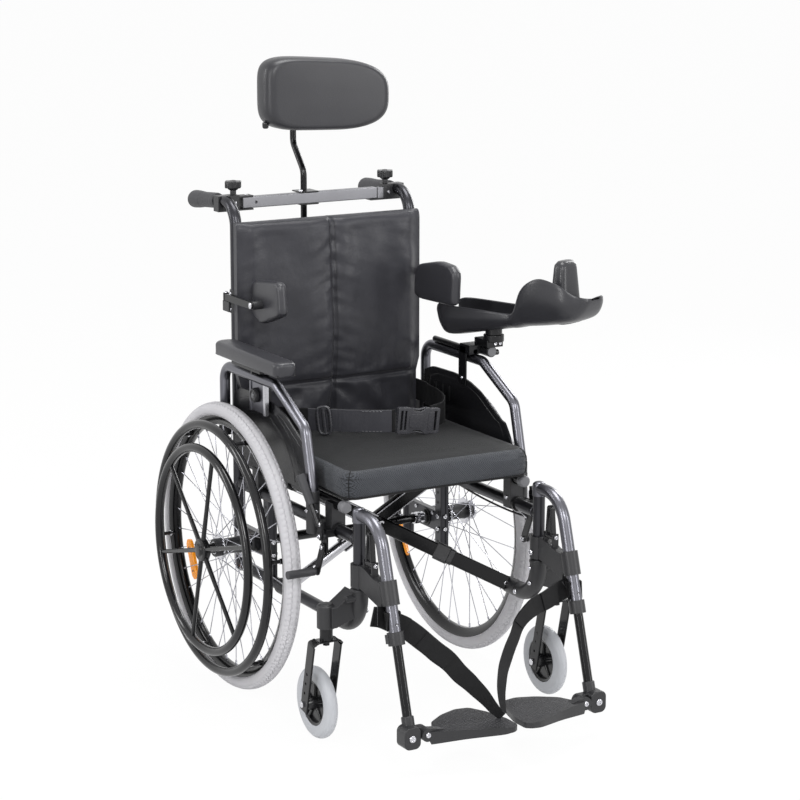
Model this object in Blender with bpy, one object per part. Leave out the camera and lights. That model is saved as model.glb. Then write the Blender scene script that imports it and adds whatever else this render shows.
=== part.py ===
import math

import bpy
from mathutils import Matrix, Vector

# Folding wheelchair with a double handrim, head support, side supports and a forearm trough.
# Lengths are in metres. x runs across the chair to the user's left, y from the front (-) to the
# rear (+), z up. Places are measured from the middle of the chair, the rear axle and the floor.

# Clearances
gap = 0.0003
running_gap = 0.0005

# Rear wheels, handrims and axle
wheel_radius = 0.305
wheel_x = 0.276
tyre_half_width = 0.0175
tyre_depth = 0.029
rim_depth = 0.019
rim_half_width = 0.0125
rim_outer_radius = wheel_radius - tyre_depth - gap
hub_half_width = 0.038
hub_radius = 0.019
flange_radius = 0.028
flange_offset = 0.024
spoke_width = 0.0024
spoke_count = 18
axle_radius = 0.0135
axle_bore = 0.0115
handrim_inset = 0.0137
handrim_radius = rim_outer_radius - handrim_inset
handrim_tube = 0.0095
handrim_offset = 0.042
standoff_count = 6
standoff_turn = -0.12
drive_rim_radius = 0.2155
drive_rim_offset = 0.064
drive_spoke_count = 6
drive_spoke_turn = -0.25
drive_spoke_radius = 0.004
drive_disc_radius = 0.025
drive_tube_radius = 0.0105
drive_tube_bore = 0.0075
drive_tube_end = 0.066
drive_rod_radius = 0.007
drive_rod_reach = 0.098
yoke_radius = 0.015
yoke_width = 0.026

# Side frames
frame_x = 0.209
tube_radius = 0.0125
front_y = -0.444
front_top = 0.452
lower_z = 0.235
front_bend = 0.065
upper_tube_z = 0.416
middle_post_y = -0.057
middle_post_depth = 0.024
post_y = 0.088
handle_z = 1.018
handle_bend = 0.05
handle_end_y = 0.284
handle_drop = 0.017
grip_start_y = 0.170
grip_radius = 0.0165
grip_flare = 0.019

# Casters
caster_radius = 0.0735
caster_x = 0.271
caster_stem_y = -0.42
caster_trail = 0.04
caster_half_width = 0.012
fork_half_width = 0.030
fork_bar = 0.022
fork_thickness = 0.004
crown_z = 0.214
stem_radius = 0.0075
housing_bottom = 0.240
housing_top = 0.288
housing_radius = 0.0185

# Cross brace and seat
brace_y = -0.128
brace_width = 0.030
brace_depth = 0.018
sleeve_wall = 0.0035
sleeve_length = 0.046
front_foot_y = -0.352
rail_z = 0.469
rail_radius = 0.0115
rail_front = -0.389
rail_rear = 0.034
saddle_places = (-0.345, -0.02)
cushion_half_width = 0.215
cushion_front = -0.405
cushion_rear = 0.0355
cushion_thickness = 0.0615
sling_thickness = 0.0025

# Hangers and footplates
hanger_top = 0.468
hanger_elbow_y = -0.524
hanger_bend = 0.07
hanger_end_y = -0.5925
hanger_end_z = 0.242
collar_length = 0.026
collar_radius = 0.0165
latch_z = 0.345
latch_height = 0.046
leg_radius = 0.0095
leg_insert = 0.07
leg_travel = 0.08
foot_hinge_x = 0.182
foot_hinge_z = 0.078
foot_block_y = -0.648
plate_thickness = 0.011
strap_width = 0.042
strap_thickness = 0.003

# Brakes
brake_bar_radius = 0.0085
brake_bar_y = -(wheel_radius + brake_bar_radius + 0.020)
brake_bar_low = 0.330
brake_y = -0.358
brake_lever_z = 0.408
brake_bar_z = 0.385
brake_plate_x = 0.238
brake_plate = 0.004

# Armrests
arm_x = 0.245
arm_tube = 0.011
arm_top = 0.6775
arm_rear_y = 0.076
arm_rear_z = 0.548
arm_front_y = -0.318
arm_front_z = 0.442
guard_x = 0.2317
guard_thickness = 0.004
pad_x = 0.256
pad_half_width = 0.025
pad_rear = 0.058
pad_front = -0.234
pad_bottom = 0.707
pad_height = 0.031
knob_y = -0.076
knob_z = 0.641

# Forearm trough
trough_start = (0.2525, -0.0535)
trough_yaw = math.radians(20)
trough_base_z = 0.742
trough_pivot = (0.272, -0.163)
adapter_y = -0.110
trough_wall = 0.004
swivel_z = 0.733
horn_top = 0.908

# Back, side supports and head support
back_half_width = 0.2125
back_bottom = 0.502
back_top = 0.976
back_thickness = 0.025
back_swell = 0.011
lateral_z = {-1: 0.815, 1: 0.838}
lateral_outline = {
    -1: (
        (0.036, 0.861),
        (-0.072, 0.872),
        (-0.086, 0.865),
        (-0.093, 0.808),
        (-0.084, 0.798),
        (0.000, 0.770),
        (0.040, 0.790),
    ),
    1: (
        (0.012, 0.866),
        (-0.085, 0.886),
        (-0.135, 0.883),
        (-0.153, 0.868),
        (-0.148, 0.803),
        (-0.135, 0.796),
        (0.020, 0.792),
    ),
}
lateral_pad_x = 0.178
lateral_thickness = 0.023
lateral_hinge = (0.222, 0.112)
clamp_y = 0.150
head_bar_z = handle_z - 0.012
head_bar_height = 0.024
head_bar_depth = 0.020
head_bar_right = -0.167
head_bar_left = 0.160
head_pin_x = -0.154
star_x = 0.184
star_radius = 0.019
head_post_x = -0.007
head_post_radius = 0.0065
head_pad_y = 0.108
head_pad_z = head_bar_z + 0.227
head_pad_half_width = 0.150
head_pad_half_height = 0.074
head_pad_half_depth = 0.033

# Lap belt
belt_width = 0.048
belt_bottom = 0.5475
belt_thickness = 0.003

# Where the middle of the whole chair's box lies, so that the model stands centred on the origin
box_right = -(wheel_x + drive_rim_offset + 0.012)
box_left = 0.4195
box_front = -0.720
box_rear = wheel_radius
centre_x = (box_right + box_left) / 2
centre_y = (box_front + box_rear) / 2

# How finely round pieces are cut into flats
tube_sides = 10
wheel_sides = 32
bend_steps = 4


# Shapes are pairs of points and faces, in the chair's own coordinates.
def circle(radius, sides=tube_sides):
    return [
        (radius * math.cos(math.tau * i / sides), radius * math.sin(math.tau * i / sides))
        for i in range(sides)
    ]


def flat_of(radius, sides=tube_sides):
    """How far the flats of a many-sided tube lie from its axis."""
    return radius * math.cos(math.pi / sides)


def rectangle(width, height):
    a, b = width / 2, height / 2
    return [(a, -b), (a, b), (-a, b), (-a, -b)]


def rounded(width, height, radius, steps=3):
    """A rectangle with round corners."""
    points = []
    for corner, (sx, sy) in enumerate(((1, -1), (1, 1), (-1, 1), (-1, -1))):
        for i in range(steps + 1):
            angle = math.pi / 2 * (corner - 1 + i / steps)
            x = sx * (width / 2 - radius) + radius * math.cos(angle)
            y = sy * (height / 2 - radius) + radius * math.sin(angle)
            points.append((x, y))
    return points


def bent(points, radius, steps=bend_steps):
    """The path with each inner corner turned into an arc."""
    points = [Vector(p) for p in points]
    path = [points[0]]
    for before, corner, after in zip(points, points[1:], points[2:]):
        back = (before - corner).normalized()
        ahead = (after - corner).normalized()
        half = back.angle(ahead) / 2
        reach = min(radius / math.tan(half), 0.95 * (after - corner).length)
        turn = reach * math.tan(half)
        middle = corner + (back + ahead).normalized() * turn / math.sin(half)
        start, end = corner + back * reach - middle, corner + ahead * reach - middle
        for i in range(steps + 1):
            path.append(middle + start.slerp(end, i / steps).normalized() * turn)
    path.append(points[-1])
    return path


def sweep(path, section, side=(1, 0, 0)):
    """A closed solid that carries the section along the path; side is the section's first axis."""
    path = [Vector(p) for p in path]
    side = Vector(side)
    points, count = [], len(section)
    for i, place in enumerate(path):
        ahead = (path[min(i + 1, len(path) - 1)] - place).normalized()
        behind = (place - path[max(i - 1, 0)]).normalized()
        tangent = (ahead + behind).normalized()
        across = (side - tangent * side.dot(tangent)).normalized()
        other = tangent.cross(across)
        points += [place + across * a + other * b for a, b in section]
    faces = [tuple(reversed(range(count)))]
    for ring in range(len(path) - 1):
        for i in range(count):
            j = (i + 1) % count
            low, high = ring * count, (ring + 1) * count
            faces.append((low + i, low + j, high + j, high + i))
    last = (len(path) - 1) * count
    faces.append(tuple(range(last, last + count)))
    return points, faces


def tube(path, radius, side=(1, 0, 0), sides=tube_sides):
    return sweep(path, circle(radius, sides), side)


def rod(start, end, radius, sides=tube_sides):
    direction = (Vector(end) - Vector(start)).normalized()
    side = (0, 0, 1) if abs(direction.x) > 0.9 else (1, 0, 0)
    return tube((start, end), radius, side, sides)


def turning_bore(start, end, pin_radius, sides=tube_sides):
    """A hole wide enough for a many-sided pin to turn in."""
    return rod(start, end, (pin_radius + gap) / math.cos(math.pi / sides), sides)


def turned(profile, centre, axis="x", sides=wheel_sides):
    """A ring or disc: the profile's (radius, height) points go round the axis through centre."""
    axes = {"x": ("y", "z", "x"), "y": ("z", "x", "y"), "z": ("x", "y", "z")}[axis]
    first, second, along = (Vector([float(c == a) for c in "xyz"]) for a in axes)
    centre = Vector(centre)
    closed = all(radius > 0 for radius, _ in profile)
    points, faces, rings = [], [], []
    for radius, height in profile:
        if radius == 0:
            rings.append([len(points)] * sides)
            points.append(centre + along * height)
            continue
        rings.append(list(range(len(points), len(points) + sides)))
        for i in range(sides):
            angle = math.tau * i / sides
            ray = first * math.cos(angle) + second * math.sin(angle)
            points.append(centre + ray * radius + along * height)
    pairs = list(zip(rings, rings[1:]))
    if closed:
        pairs.append((rings[-1], rings[0]))
    for low, high in pairs:
        for i in range(sides):
            j = (i + 1) % sides
            corners = list(dict.fromkeys((low[i], low[j], high[j], high[i])))
            if len(corners) > 2:
                faces.append(tuple(corners))
    return points, faces


def slab(outline, low, high, plane="yz"):
    """The outline, drawn in a plane, as a plate between two heights along the third axis."""
    order = {"yz": (2, 0, 1), "xz": (0, 2, 1), "xy": (0, 1, 2)}[plane]
    points = []
    for height in (low, high):
        for a, b in outline:
            values = (a, b, height)
            points.append(Vector([values[i] for i in order]))
    count = len(outline)
    faces = [tuple(reversed(range(count))), tuple(range(count, 2 * count))]
    for i in range(count):
        j = (i + 1) % count
        faces.append((i, j, count + j, count + i))
    return points, faces


def box(x, y, z):
    return slab([(x[0], y[0]), (x[1], y[0]), (x[1], y[1]), (x[0], y[1])], z[0], z[1], "xy")


def stadium(start, end, radius, steps=5):
    """An outline of a bar with round ends."""
    start, end = Vector(start), Vector(end)
    heading = math.atan2(end.y - start.y, end.x - start.x)
    points = []
    for place, base in ((end, heading - math.pi / 2), (start, heading + math.pi / 2)):
        for i in range(steps + 1):
            angle = base + math.pi * i / steps
            points.append((place.x + radius * math.cos(angle), place.y + radius * math.sin(angle)))
    return points


def layered(rings):
    """A closed solid through rings of equal length, one above the other, with filled ends."""
    count = len(rings[0])
    points = [Vector(p) for ring in rings for p in ring]
    faces = [tuple(reversed(range(count)))]
    for level in range(len(rings) - 1):
        for i in range(count):
            j = (i + 1) % count
            low, high = level * count, (level + 1) * count
            faces.append((low + i, low + j, high + j, high + i))
    last = (len(rings) - 1) * count
    faces.append(tuple(range(last, last + count)))
    return points, faces


def joined(*shapes):
    points, faces = [], []
    for more_points, more_faces in shapes:
        faces += [tuple(i + len(points) for i in face) for face in more_faces]
        points += list(more_points)
    return points, faces


# Building in the scene: bodies are empties on their joints, and pieces hang on them.
def clear_scene():
    for obj in list(bpy.data.objects):
        bpy.data.objects.remove(obj, do_unlink=True)


bodies = {}


def body(name, pivot, parent=None):
    empty = bpy.data.objects.new("body_" + name, None)
    bpy.context.scene.collection.objects.link(empty)
    empty.empty_display_size = 0.03
    pivot = Vector(pivot)
    if parent is None:
        empty.location = (-centre_x, -centre_y, 0)
    else:
        empty.parent = bodies[parent][0]
        empty.location = pivot - bodies[parent][1]
    bodies[name] = (empty, pivot)


def finish(name, colour, metallic, roughness):
    """A plain Principled material from an sRGB hex colour."""
    material = bpy.data.materials.new(name)
    material.use_nodes = True
    channels = [int(colour[i : i + 2], 16) / 255 for i in (0, 2, 4)]
    linear = [c / 12.92 if c < 0.04045 else ((c + 0.055) / 1.055) ** 2.4 for c in channels]
    shader = material.node_tree.nodes["Principled BSDF"]
    shader.inputs["Base Color"].default_value = (*linear, 1)
    shader.inputs["Metallic"].default_value = metallic
    shader.inputs["Roughness"].default_value = roughness
    material.diffuse_color = (*linear, 1)
    return material


def mesh_object(name, shape, body_name, side):
    points, faces = shape
    empty, pivot = bodies[body_name]
    points = [Vector((p[0] * side, p[1], p[2])) - pivot for p in points]
    if side < 0:
        faces = [tuple(reversed(face)) for face in faces]
    mesh = bpy.data.meshes.new(name)
    mesh.from_pydata(points, [], faces)
    mesh.validate()
    if signed_volume(mesh) < 0:
        mesh.flip_normals()
    obj = bpy.data.objects.new(name, mesh)
    bpy.context.scene.collection.objects.link(obj)
    obj.parent = empty
    return obj


def signed_volume(mesh):
    mesh.calc_loop_triangles()
    total = 0.0
    for triangle in mesh.loop_triangles:
        a, b, c = (mesh.vertices[i].co for i in triangle.vertices)
        total += a.dot(b.cross(c))
    return total


def piece(name, body_name, look, shape, add=(), cut=(), side=1):
    """One solid: the shape, with others fused to it and then others cut from it."""
    obj = mesh_object(name, shape, body_name, side)
    obj.data.materials.append(looks[look])
    for operation, shapes in (("UNION", add), ("DIFFERENCE", cut)):
        for number, helper_shape in enumerate(shapes):
            helper_name = f"{name}_{operation.lower()}_{number}"
            helper = mesh_object(helper_name, helper_shape, body_name, side)
            helper.hide_render = True
            helper.display_type = "WIRE"
            modifier = obj.modifiers.new(helper_name, "BOOLEAN")
            modifier.operation = operation
            modifier.object = helper
    obj.data.shade_smooth()
    obj.data.set_sharp_from_angle(angle=math.radians(35))
    return obj


side_name = {-1: "right", 1: "left"}
looks = {}


def make_looks():
    looks["frame"] = finish("gunmetal_coated_tube", "5d5d60", 0.8, 0.35)
    looks["plastic"] = finish("black_moulded_plastic", "2b2b2d", 0.0, 0.45)
    looks["steel"] = finish("bright_steel", "c8c8cc", 1.0, 0.25)
    looks["black_tube"] = finish("black_coated_tube", "232325", 0.6, 0.3)
    looks["rubber"] = finish("dark_grey_rubber", "3a3a3d", 0.0, 0.6)
    looks["tyre"] = finish("pale_grey_tyre", "a9a9ad", 0.0, 0.65)
    looks["caster_tyre"] = finish("pale_blue_grey_tyre", "b9c3c8", 0.0, 0.5)
    looks["fabric"] = finish("black_nylon", "2a2a2c", 0.0, 0.8)
    looks["cushion"] = finish("charcoal_cover", "35393d", 0.0, 0.85)
    looks["webbing"] = finish("black_webbing", "1c1b1e", 0.0, 0.85)
    looks["pad"] = finish("soft_black_pad", "37373a", 0.0, 0.55)


# Geometry that several pieces share
def front_path():
    corner = (frame_x, front_y, lower_z)
    return bent(((frame_x, front_y, front_top), corner, (frame_x, post_y, lower_z)), front_bend)


def handle_path():
    end_z = handle_z - handle_drop
    points = (
        (frame_x, post_y, lower_z),
        (frame_x, post_y, handle_z),
        (frame_x, handle_end_y, end_z),
    )
    return bent(points, handle_bend)


def handle_point(y):
    """A point on the straight part of the push handle."""
    share = (y - post_y) / (handle_end_y - post_y)
    return Vector((frame_x, y, handle_z - handle_drop * share))


hanger_end = Vector((frame_x, hanger_end_y, hanger_end_z))
hanger_elbow = Vector((frame_x, hanger_elbow_y, hanger_top))
leg_down = (hanger_end - hanger_elbow).normalized()


def hanger_path():
    end = hanger_end - leg_down * 0.001
    return bent(((frame_x, front_y - 0.004, hanger_top), hanger_elbow, end), hanger_bend)


def arm_path():
    shoulder = (arm_x, -0.163, arm_top)
    knee = (arm_x, -0.289, 0.612)
    foot_top = (arm_x, arm_front_y, 0.500)
    points = (
        (arm_x, arm_rear_y, arm_rear_z),
        (arm_x, arm_rear_y, arm_top),
        shoulder,
        knee,
        foot_top,
        (arm_x, arm_front_y, arm_front_z),
    )
    return bent(points, 0.032, 3)


brace_span = 2 * frame_x
brace_rise = rail_z - lower_z
pivot_z = (rail_z + lower_z) / 2
brace_gap_y = brace_depth + gap


def make_bodies():
    right, left = -1, 1
    axle = (0, 0, wheel_radius)
    body("right_frame", (0, 0, 0))
    body("cross_brace_rear", (-frame_x, brace_y, lower_z), "right_frame")
    body("cross_brace_front", (0, brace_y, pivot_z), "cross_brace_rear")
    body("left_frame", (frame_x, front_foot_y, lower_z), "cross_brace_front")
    body("seat", (-frame_x, brace_y, rail_z), "cross_brace_front")
    body("left_rail", (frame_x, brace_y, rail_z), "cross_brace_rear")
    body("drive_rim", (-wheel_x, *axle[1:]), "right_frame")
    body("head_bar", (head_pin_x, clamp_y, head_bar_z), "right_frame")
    body("head_post", (head_post_x, head_post_y, head_bar_z), "head_bar")
    body("head_pad", (head_post_x, head_tilt_y, head_pad_z), "head_post")
    for side in (right, left):
        name, frame = side_name[side], side_name[side] + "_frame"
        body(name + "_wheel", (side * wheel_x, *axle[1:]), frame)
        body(name + "_caster", (side * caster_x, caster_stem_y, crown_z), frame)
        hub = (side * caster_x, caster_stem_y + caster_trail, caster_radius)
        body(name + "_caster_wheel", hub, name + "_caster")
        body(name + "_hanger", (side * frame_x, front_y, front_top), frame)
        latch = (side * frame_x, -0.489, latch_z + 0.033)
        body(name + "_latch", latch, name + "_hanger")
        body(name + "_leg", (side * frame_x, hanger_end_y, hanger_end_z), name + "_hanger")
        hinge = (side * foot_hinge_x, foot_block_y, foot_hinge_z)
        body(name + "_foot", hinge, name + "_leg")
        body(name + "_brake_lever", (side * brake_plate_x, brake_y, brake_lever_z), frame)
        body(name + "_brake_bar", (side * brake_plate_x, brake_y, brake_bar_z), frame)
        body(name + "_armrest", (side * arm_x, arm_rear_y, arm_rear_z), frame)
        lateral = (side * lateral_hinge[0], lateral_hinge[1], lateral_z[side])
        body(name + "_lateral", lateral, frame)
        body(name + "_star_knob", (side * star_x, clamp_y, head_bar_z + 0.018), frame)
    body("arm_pad", (-pad_x, knob_y, pad_bottom), "right_armrest")
    body("height_knob", (-arm_x, knob_y, knob_z), "right_armrest")
    body("trough_mount", (arm_x, knob_y, arm_top), "left_armrest")
    body("trough", (*trough_pivot, swivel_z), "trough_mount")


def axle_ring(outer, inner, low, high, sides=tube_sides):
    centre = (0, 0, wheel_radius)
    return turned([(inner, low), (outer, low), (outer, high), (inner, high)], centre, "x", sides)


def make_side_frame(side):
    name = side_name[side]
    post_half = middle_post_depth / 2
    upper = rod((frame_x, front_y, upper_tube_z), (frame_x, post_y, upper_tube_z), tube_radius)
    middle_post = box(
        (frame_x - 0.010, frame_x + 0.010),
        (middle_post_y - post_half, middle_post_y + post_half),
        (lower_z, upper_tube_z),
    )
    axle_plate = box(
        (frame_x - 0.007, frame_x + 0.007),
        (middle_post_y, post_y),
        (wheel_radius - 0.022, wheel_radius + 0.022),
    )
    axle_end = wheel_x + hub_half_width
    axle_boss = rod((frame_x - 0.009, 0, wheel_radius), (frame_x + 0.0185, 0, wheel_radius), 0.02, 14)
    axle = rod((frame_x, 0, wheel_radius), (axle_end, 0, wheel_radius), axle_radius)
    hanger_pin = rod((frame_x, front_y, front_top - 0.01), (frame_x, front_y, front_top + 0.012), 0.006, 8)
    add = [upper, middle_post, tube(handle_path(), tube_radius), axle_plate, axle_boss, axle, hanger_pin]
    cut = [rod((frame_x - 0.02, 0, wheel_radius), (axle_end + 0.01, 0, wheel_radius), axle_bore)]
    # Open-topped saddles that the seat rails rest in
    for y in saddle_places:
        saddle_x = (frame_x - 0.0155, frame_x + 0.0155)
        add.append(box(saddle_x, (y - 0.014, y + 0.014), (upper_tube_z, rail_z + 0.002)))
        outline = stadium((frame_x, rail_z), (frame_x, rail_z + 0.04), rail_radius + gap)
        cut.append(slab(outline, y - 0.02, y + 0.02, "xz"))
    # Sockets for the two feet of the armrest
    front_socket = (arm_front_y, upper_tube_z - 0.010, 0.468, 0)
    rear_socket = (arm_rear_y, 0.528, 0.575, 0.010)
    for y, low, top, shift in (front_socket, rear_socket):
        add.append(box((frame_x, arm_x), (y + shift - 0.010, y + shift + 0.010), (low, low + 0.022)))
        add.append(rod((arm_x, y, low), (arm_x, y, top), arm_tube + 0.003))
    for y, z in ((arm_front_y, arm_front_z), (arm_rear_y, arm_rear_z)):
        cut.append(rod((arm_x, y, z - gap), (arm_x, y, z + 0.05), arm_tube + gap))
    # Brake bracket with the pins of the lever and of the bar
    outer = brake_plate_x + brake_plate
    plate = [
        (brake_y - 0.012, brake_bar_z - 0.012),
        (brake_y + 0.012, brake_bar_z - 0.012),
        (brake_y + 0.014, upper_tube_z + 0.006),
        (brake_y - 0.012, upper_tube_z + 0.006),
    ]
    lever_pin = (brake_y, brake_lever_z)
    bar_pin = (brake_y, brake_bar_z)
    arm_y = (brake_y - 0.010, brake_y + 0.012)
    add += [
        box((frame_x, brake_plate_x), arm_y, (upper_tube_z - 0.010, upper_tube_z + 0.005)),
        slab(plate, brake_plate_x, outer, "yz"),
        rod((outer - 0.001, *lever_pin), (outer + 2 * brake_plate + 0.0035, *lever_pin), 0.004, 8),
        rod((outer - 0.001, *bar_pin), (outer + brake_plate + 0.002, *bar_pin), 0.004, 8),
    ]
    # Lug and pin of the side support, behind the back tube
    hinge_x, hinge_y = lateral_hinge
    low = lateral_z[side] - 0.008
    add += [
        box((frame_x - 0.004, hinge_x + 0.006), (post_y, hinge_y + 0.006), (low - 0.022, low)),
        rod((hinge_x, hinge_y, low - 0.002), (hinge_x, hinge_y, low + 0.018), 0.003, 8),
    ]
    if side > 0:
        # Stay of the brake cable
        start = (frame_x, middle_post_y - 0.045, upper_tube_z - 0.008)
        add.append(rod(start, (brake_plate_x + 0.0015, brake_y + 0.004, brake_bar_z - 0.004), 0.0025, 6))
    piece(name + "_side_frame", name + "_frame", "frame", tube(front_path(), tube_radius), add, cut, side)


def make_push_grip(side):
    name = side_name[side]
    # The grip is a sleeve over the end of the handle, closed by its own end
    rings = []
    shape = ((0, 0.0150), (0.06, grip_radius), (0.55, grip_radius), (0.93, grip_flare), (1.0, 0.0165))
    for share, radius in shape:
        y = grip_start_y + (handle_end_y + 0.005 - grip_start_y) * share
        centre = handle_point(y)
        rings.append([centre + Vector((a, 0, b)) for a, b in circle(radius, 12)])
    bore = tube((handle_point(grip_start_y - 0.01), handle_point(handle_end_y + gap)), tube_radius + gap)
    piece(name + "_push_grip", name + "_frame", "rubber", layered(rings), cut=[bore], side=side)


def make_caster(side):
    name = side_name[side]
    stem_top = housing_top - 0.012
    bend_top = (frame_x, front_y, 0.318)
    elbow = bent((bend_top, (frame_x, front_y, lower_z), (frame_x, -0.377, lower_z)), front_bend)
    arm = slab(
        [
            (frame_x + tube_radius + gap, 0.262),
            (caster_x, housing_bottom + 0.010),
            (caster_x, housing_top - 0.004),
            (frame_x + tube_radius + gap, 0.312),
        ],
        caster_stem_y - 0.026,
        caster_stem_y + 0.014,
        "xz",
    )
    head_low = (caster_x, caster_stem_y, housing_bottom)
    head = rod(head_low, (caster_x, caster_stem_y, housing_top), housing_radius, 14)
    stem_bore = turning_bore(
        (caster_x, caster_stem_y, housing_bottom - 0.01),
        (caster_x, caster_stem_y, stem_top + gap),
        stem_radius,
    )
    piece(
        name + "_caster_housing",
        name + "_frame",
        "plastic",
        tube(elbow, tube_radius + 0.005),
        [head, arm],
        [tube(front_path(), tube_radius + gap), stem_bore],
        side,
    )
    # Fork: a flat bar bent over the wheel, with a stem above and the axle below
    axle = Vector((caster_x, caster_stem_y + caster_trail, caster_radius))
    half, shoulder = fork_half_width, 0.024
    bar_path = [
        axle + Vector((-half, 0.0, -0.012)),
        (caster_x - half, caster_stem_y + 0.005, crown_z - 0.012),
        (caster_x - shoulder, caster_stem_y, crown_z),
        (caster_x + shoulder, caster_stem_y, crown_z),
        (caster_x + half, caster_stem_y + 0.005, crown_z - 0.012),
        axle + Vector((half, 0.0, -0.012)),
    ]
    bar = sweep(bar_path, rectangle(fork_bar, fork_thickness), (0, 1, 0))
    stem = rod((caster_x, caster_stem_y, crown_z), (caster_x, caster_stem_y, stem_top), stem_radius)
    collar = rod((caster_x, caster_stem_y, crown_z), (caster_x, caster_stem_y, housing_bottom - gap), 0.013)
    pin = rod(axle - Vector((half + 0.005, 0, 0)), axle + Vector((half + 0.005, 0, 0)), 0.0045, 8)
    holes = []
    for share in (0.17, 0.33):
        place = axle.lerp(Vector((caster_x, caster_stem_y + 0.005, crown_z - 0.012)), share)
        holes.append(rod(place - Vector((half + 0.01, 0, 0)), place + Vector((half + 0.01, 0, 0)), 0.003, 6))
    piece(name + "_caster_fork", name + "_caster", "black_tube", bar, [stem, collar, pin], holes, side)
    inner = fork_half_width - fork_thickness / 2 - 0.001
    tread = caster_half_width
    profile = [
        (0.0051, -inner),
        (0.011, -inner),
        (0.013, -0.006),
        (0.043, -0.004),
        (0.046, -tread),
        (0.063, -tread),
        (caster_radius - 0.0015, -tread * 0.55),
        (caster_radius, 0.0),
        (caster_radius - 0.0015, tread * 0.55),
        (0.063, tread),
        (0.046, tread),
        (0.043, 0.004),
        (0.013, 0.006),
        (0.011, inner),
        (0.0051, inner),
    ]
    piece(
        name + "_caster_wheel",
        name + "_caster_wheel",
        "caster_tyre",
        turned(profile, axle, "x", 20),
        side=side,
    )


def make_rear_wheel(side):
    name = side_name[side]
    centre = (wheel_x, 0, wheel_radius)
    inner = wheel_radius - tyre_depth
    width = tyre_half_width
    tyre = [
        (inner, -width * 0.62),
        (inner + 0.010, -width),
        (wheel_radius - 0.008, -width * 0.86),
        (wheel_radius, -width * 0.28),
        (wheel_radius, width * 0.28),
        (wheel_radius - 0.008, width * 0.86),
        (inner + 0.010, width),
        (inner, width * 0.62),
    ]
    piece(name + "_rear_tyre", name + "_wheel", "tyre", turned(tyre, centre), side=side)
    # Rim, spokes and hub are one laced wheel
    rim_outer = rim_outer_radius
    rim_inner = rim_outer - rim_depth
    rim = [
        (rim_inner, -rim_half_width * 0.5),
        (rim_outer, -rim_half_width),
        (rim_outer, rim_half_width),
        (rim_inner, rim_half_width * 0.5),
    ]
    bore = axle_radius + running_gap
    hub = [
        (bore, -hub_half_width),
        (hub_radius, -hub_half_width),
        (hub_radius, -flange_offset - 0.002),
        (flange_radius, -flange_offset - 0.002),
        (flange_radius, -flange_offset + 0.002),
        (hub_radius * 0.9, -flange_offset + 0.006),
        (hub_radius * 0.9, flange_offset - 0.006),
        (flange_radius, flange_offset - 0.002),
        (flange_radius, flange_offset + 0.002),
        (hub_radius, flange_offset + 0.002),
        (hub_radius, hub_half_width),
        (bore, hub_half_width),
    ]
    spokes = []
    for i in range(spoke_count):
        angle = math.tau * (i + 0.5) / spoke_count
        ray = Vector((0, math.cos(angle), math.sin(angle)))
        offset = flange_offset if i % 2 else -flange_offset
        start = Vector(centre) + ray * (flange_radius - 0.004) + Vector((offset, 0, 0))
        end = Vector(centre) + ray * (rim_inner + 0.004)
        spokes.append(sweep((start, end), rectangle(spoke_width, spoke_width), (1, 0, 0)))
    piece(
        name + "_wire_wheel",
        name + "_wheel",
        "black_tube",
        turned(rim, centre),
        [joined(*spokes), turned(hub, centre, "x", 14)],
        side=side,
    )


def hoop(radius, thickness, x):
    section = [(radius + a, b) for a, b in circle(thickness, 7)]
    return turned(section, (x, 0, wheel_radius))


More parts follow.
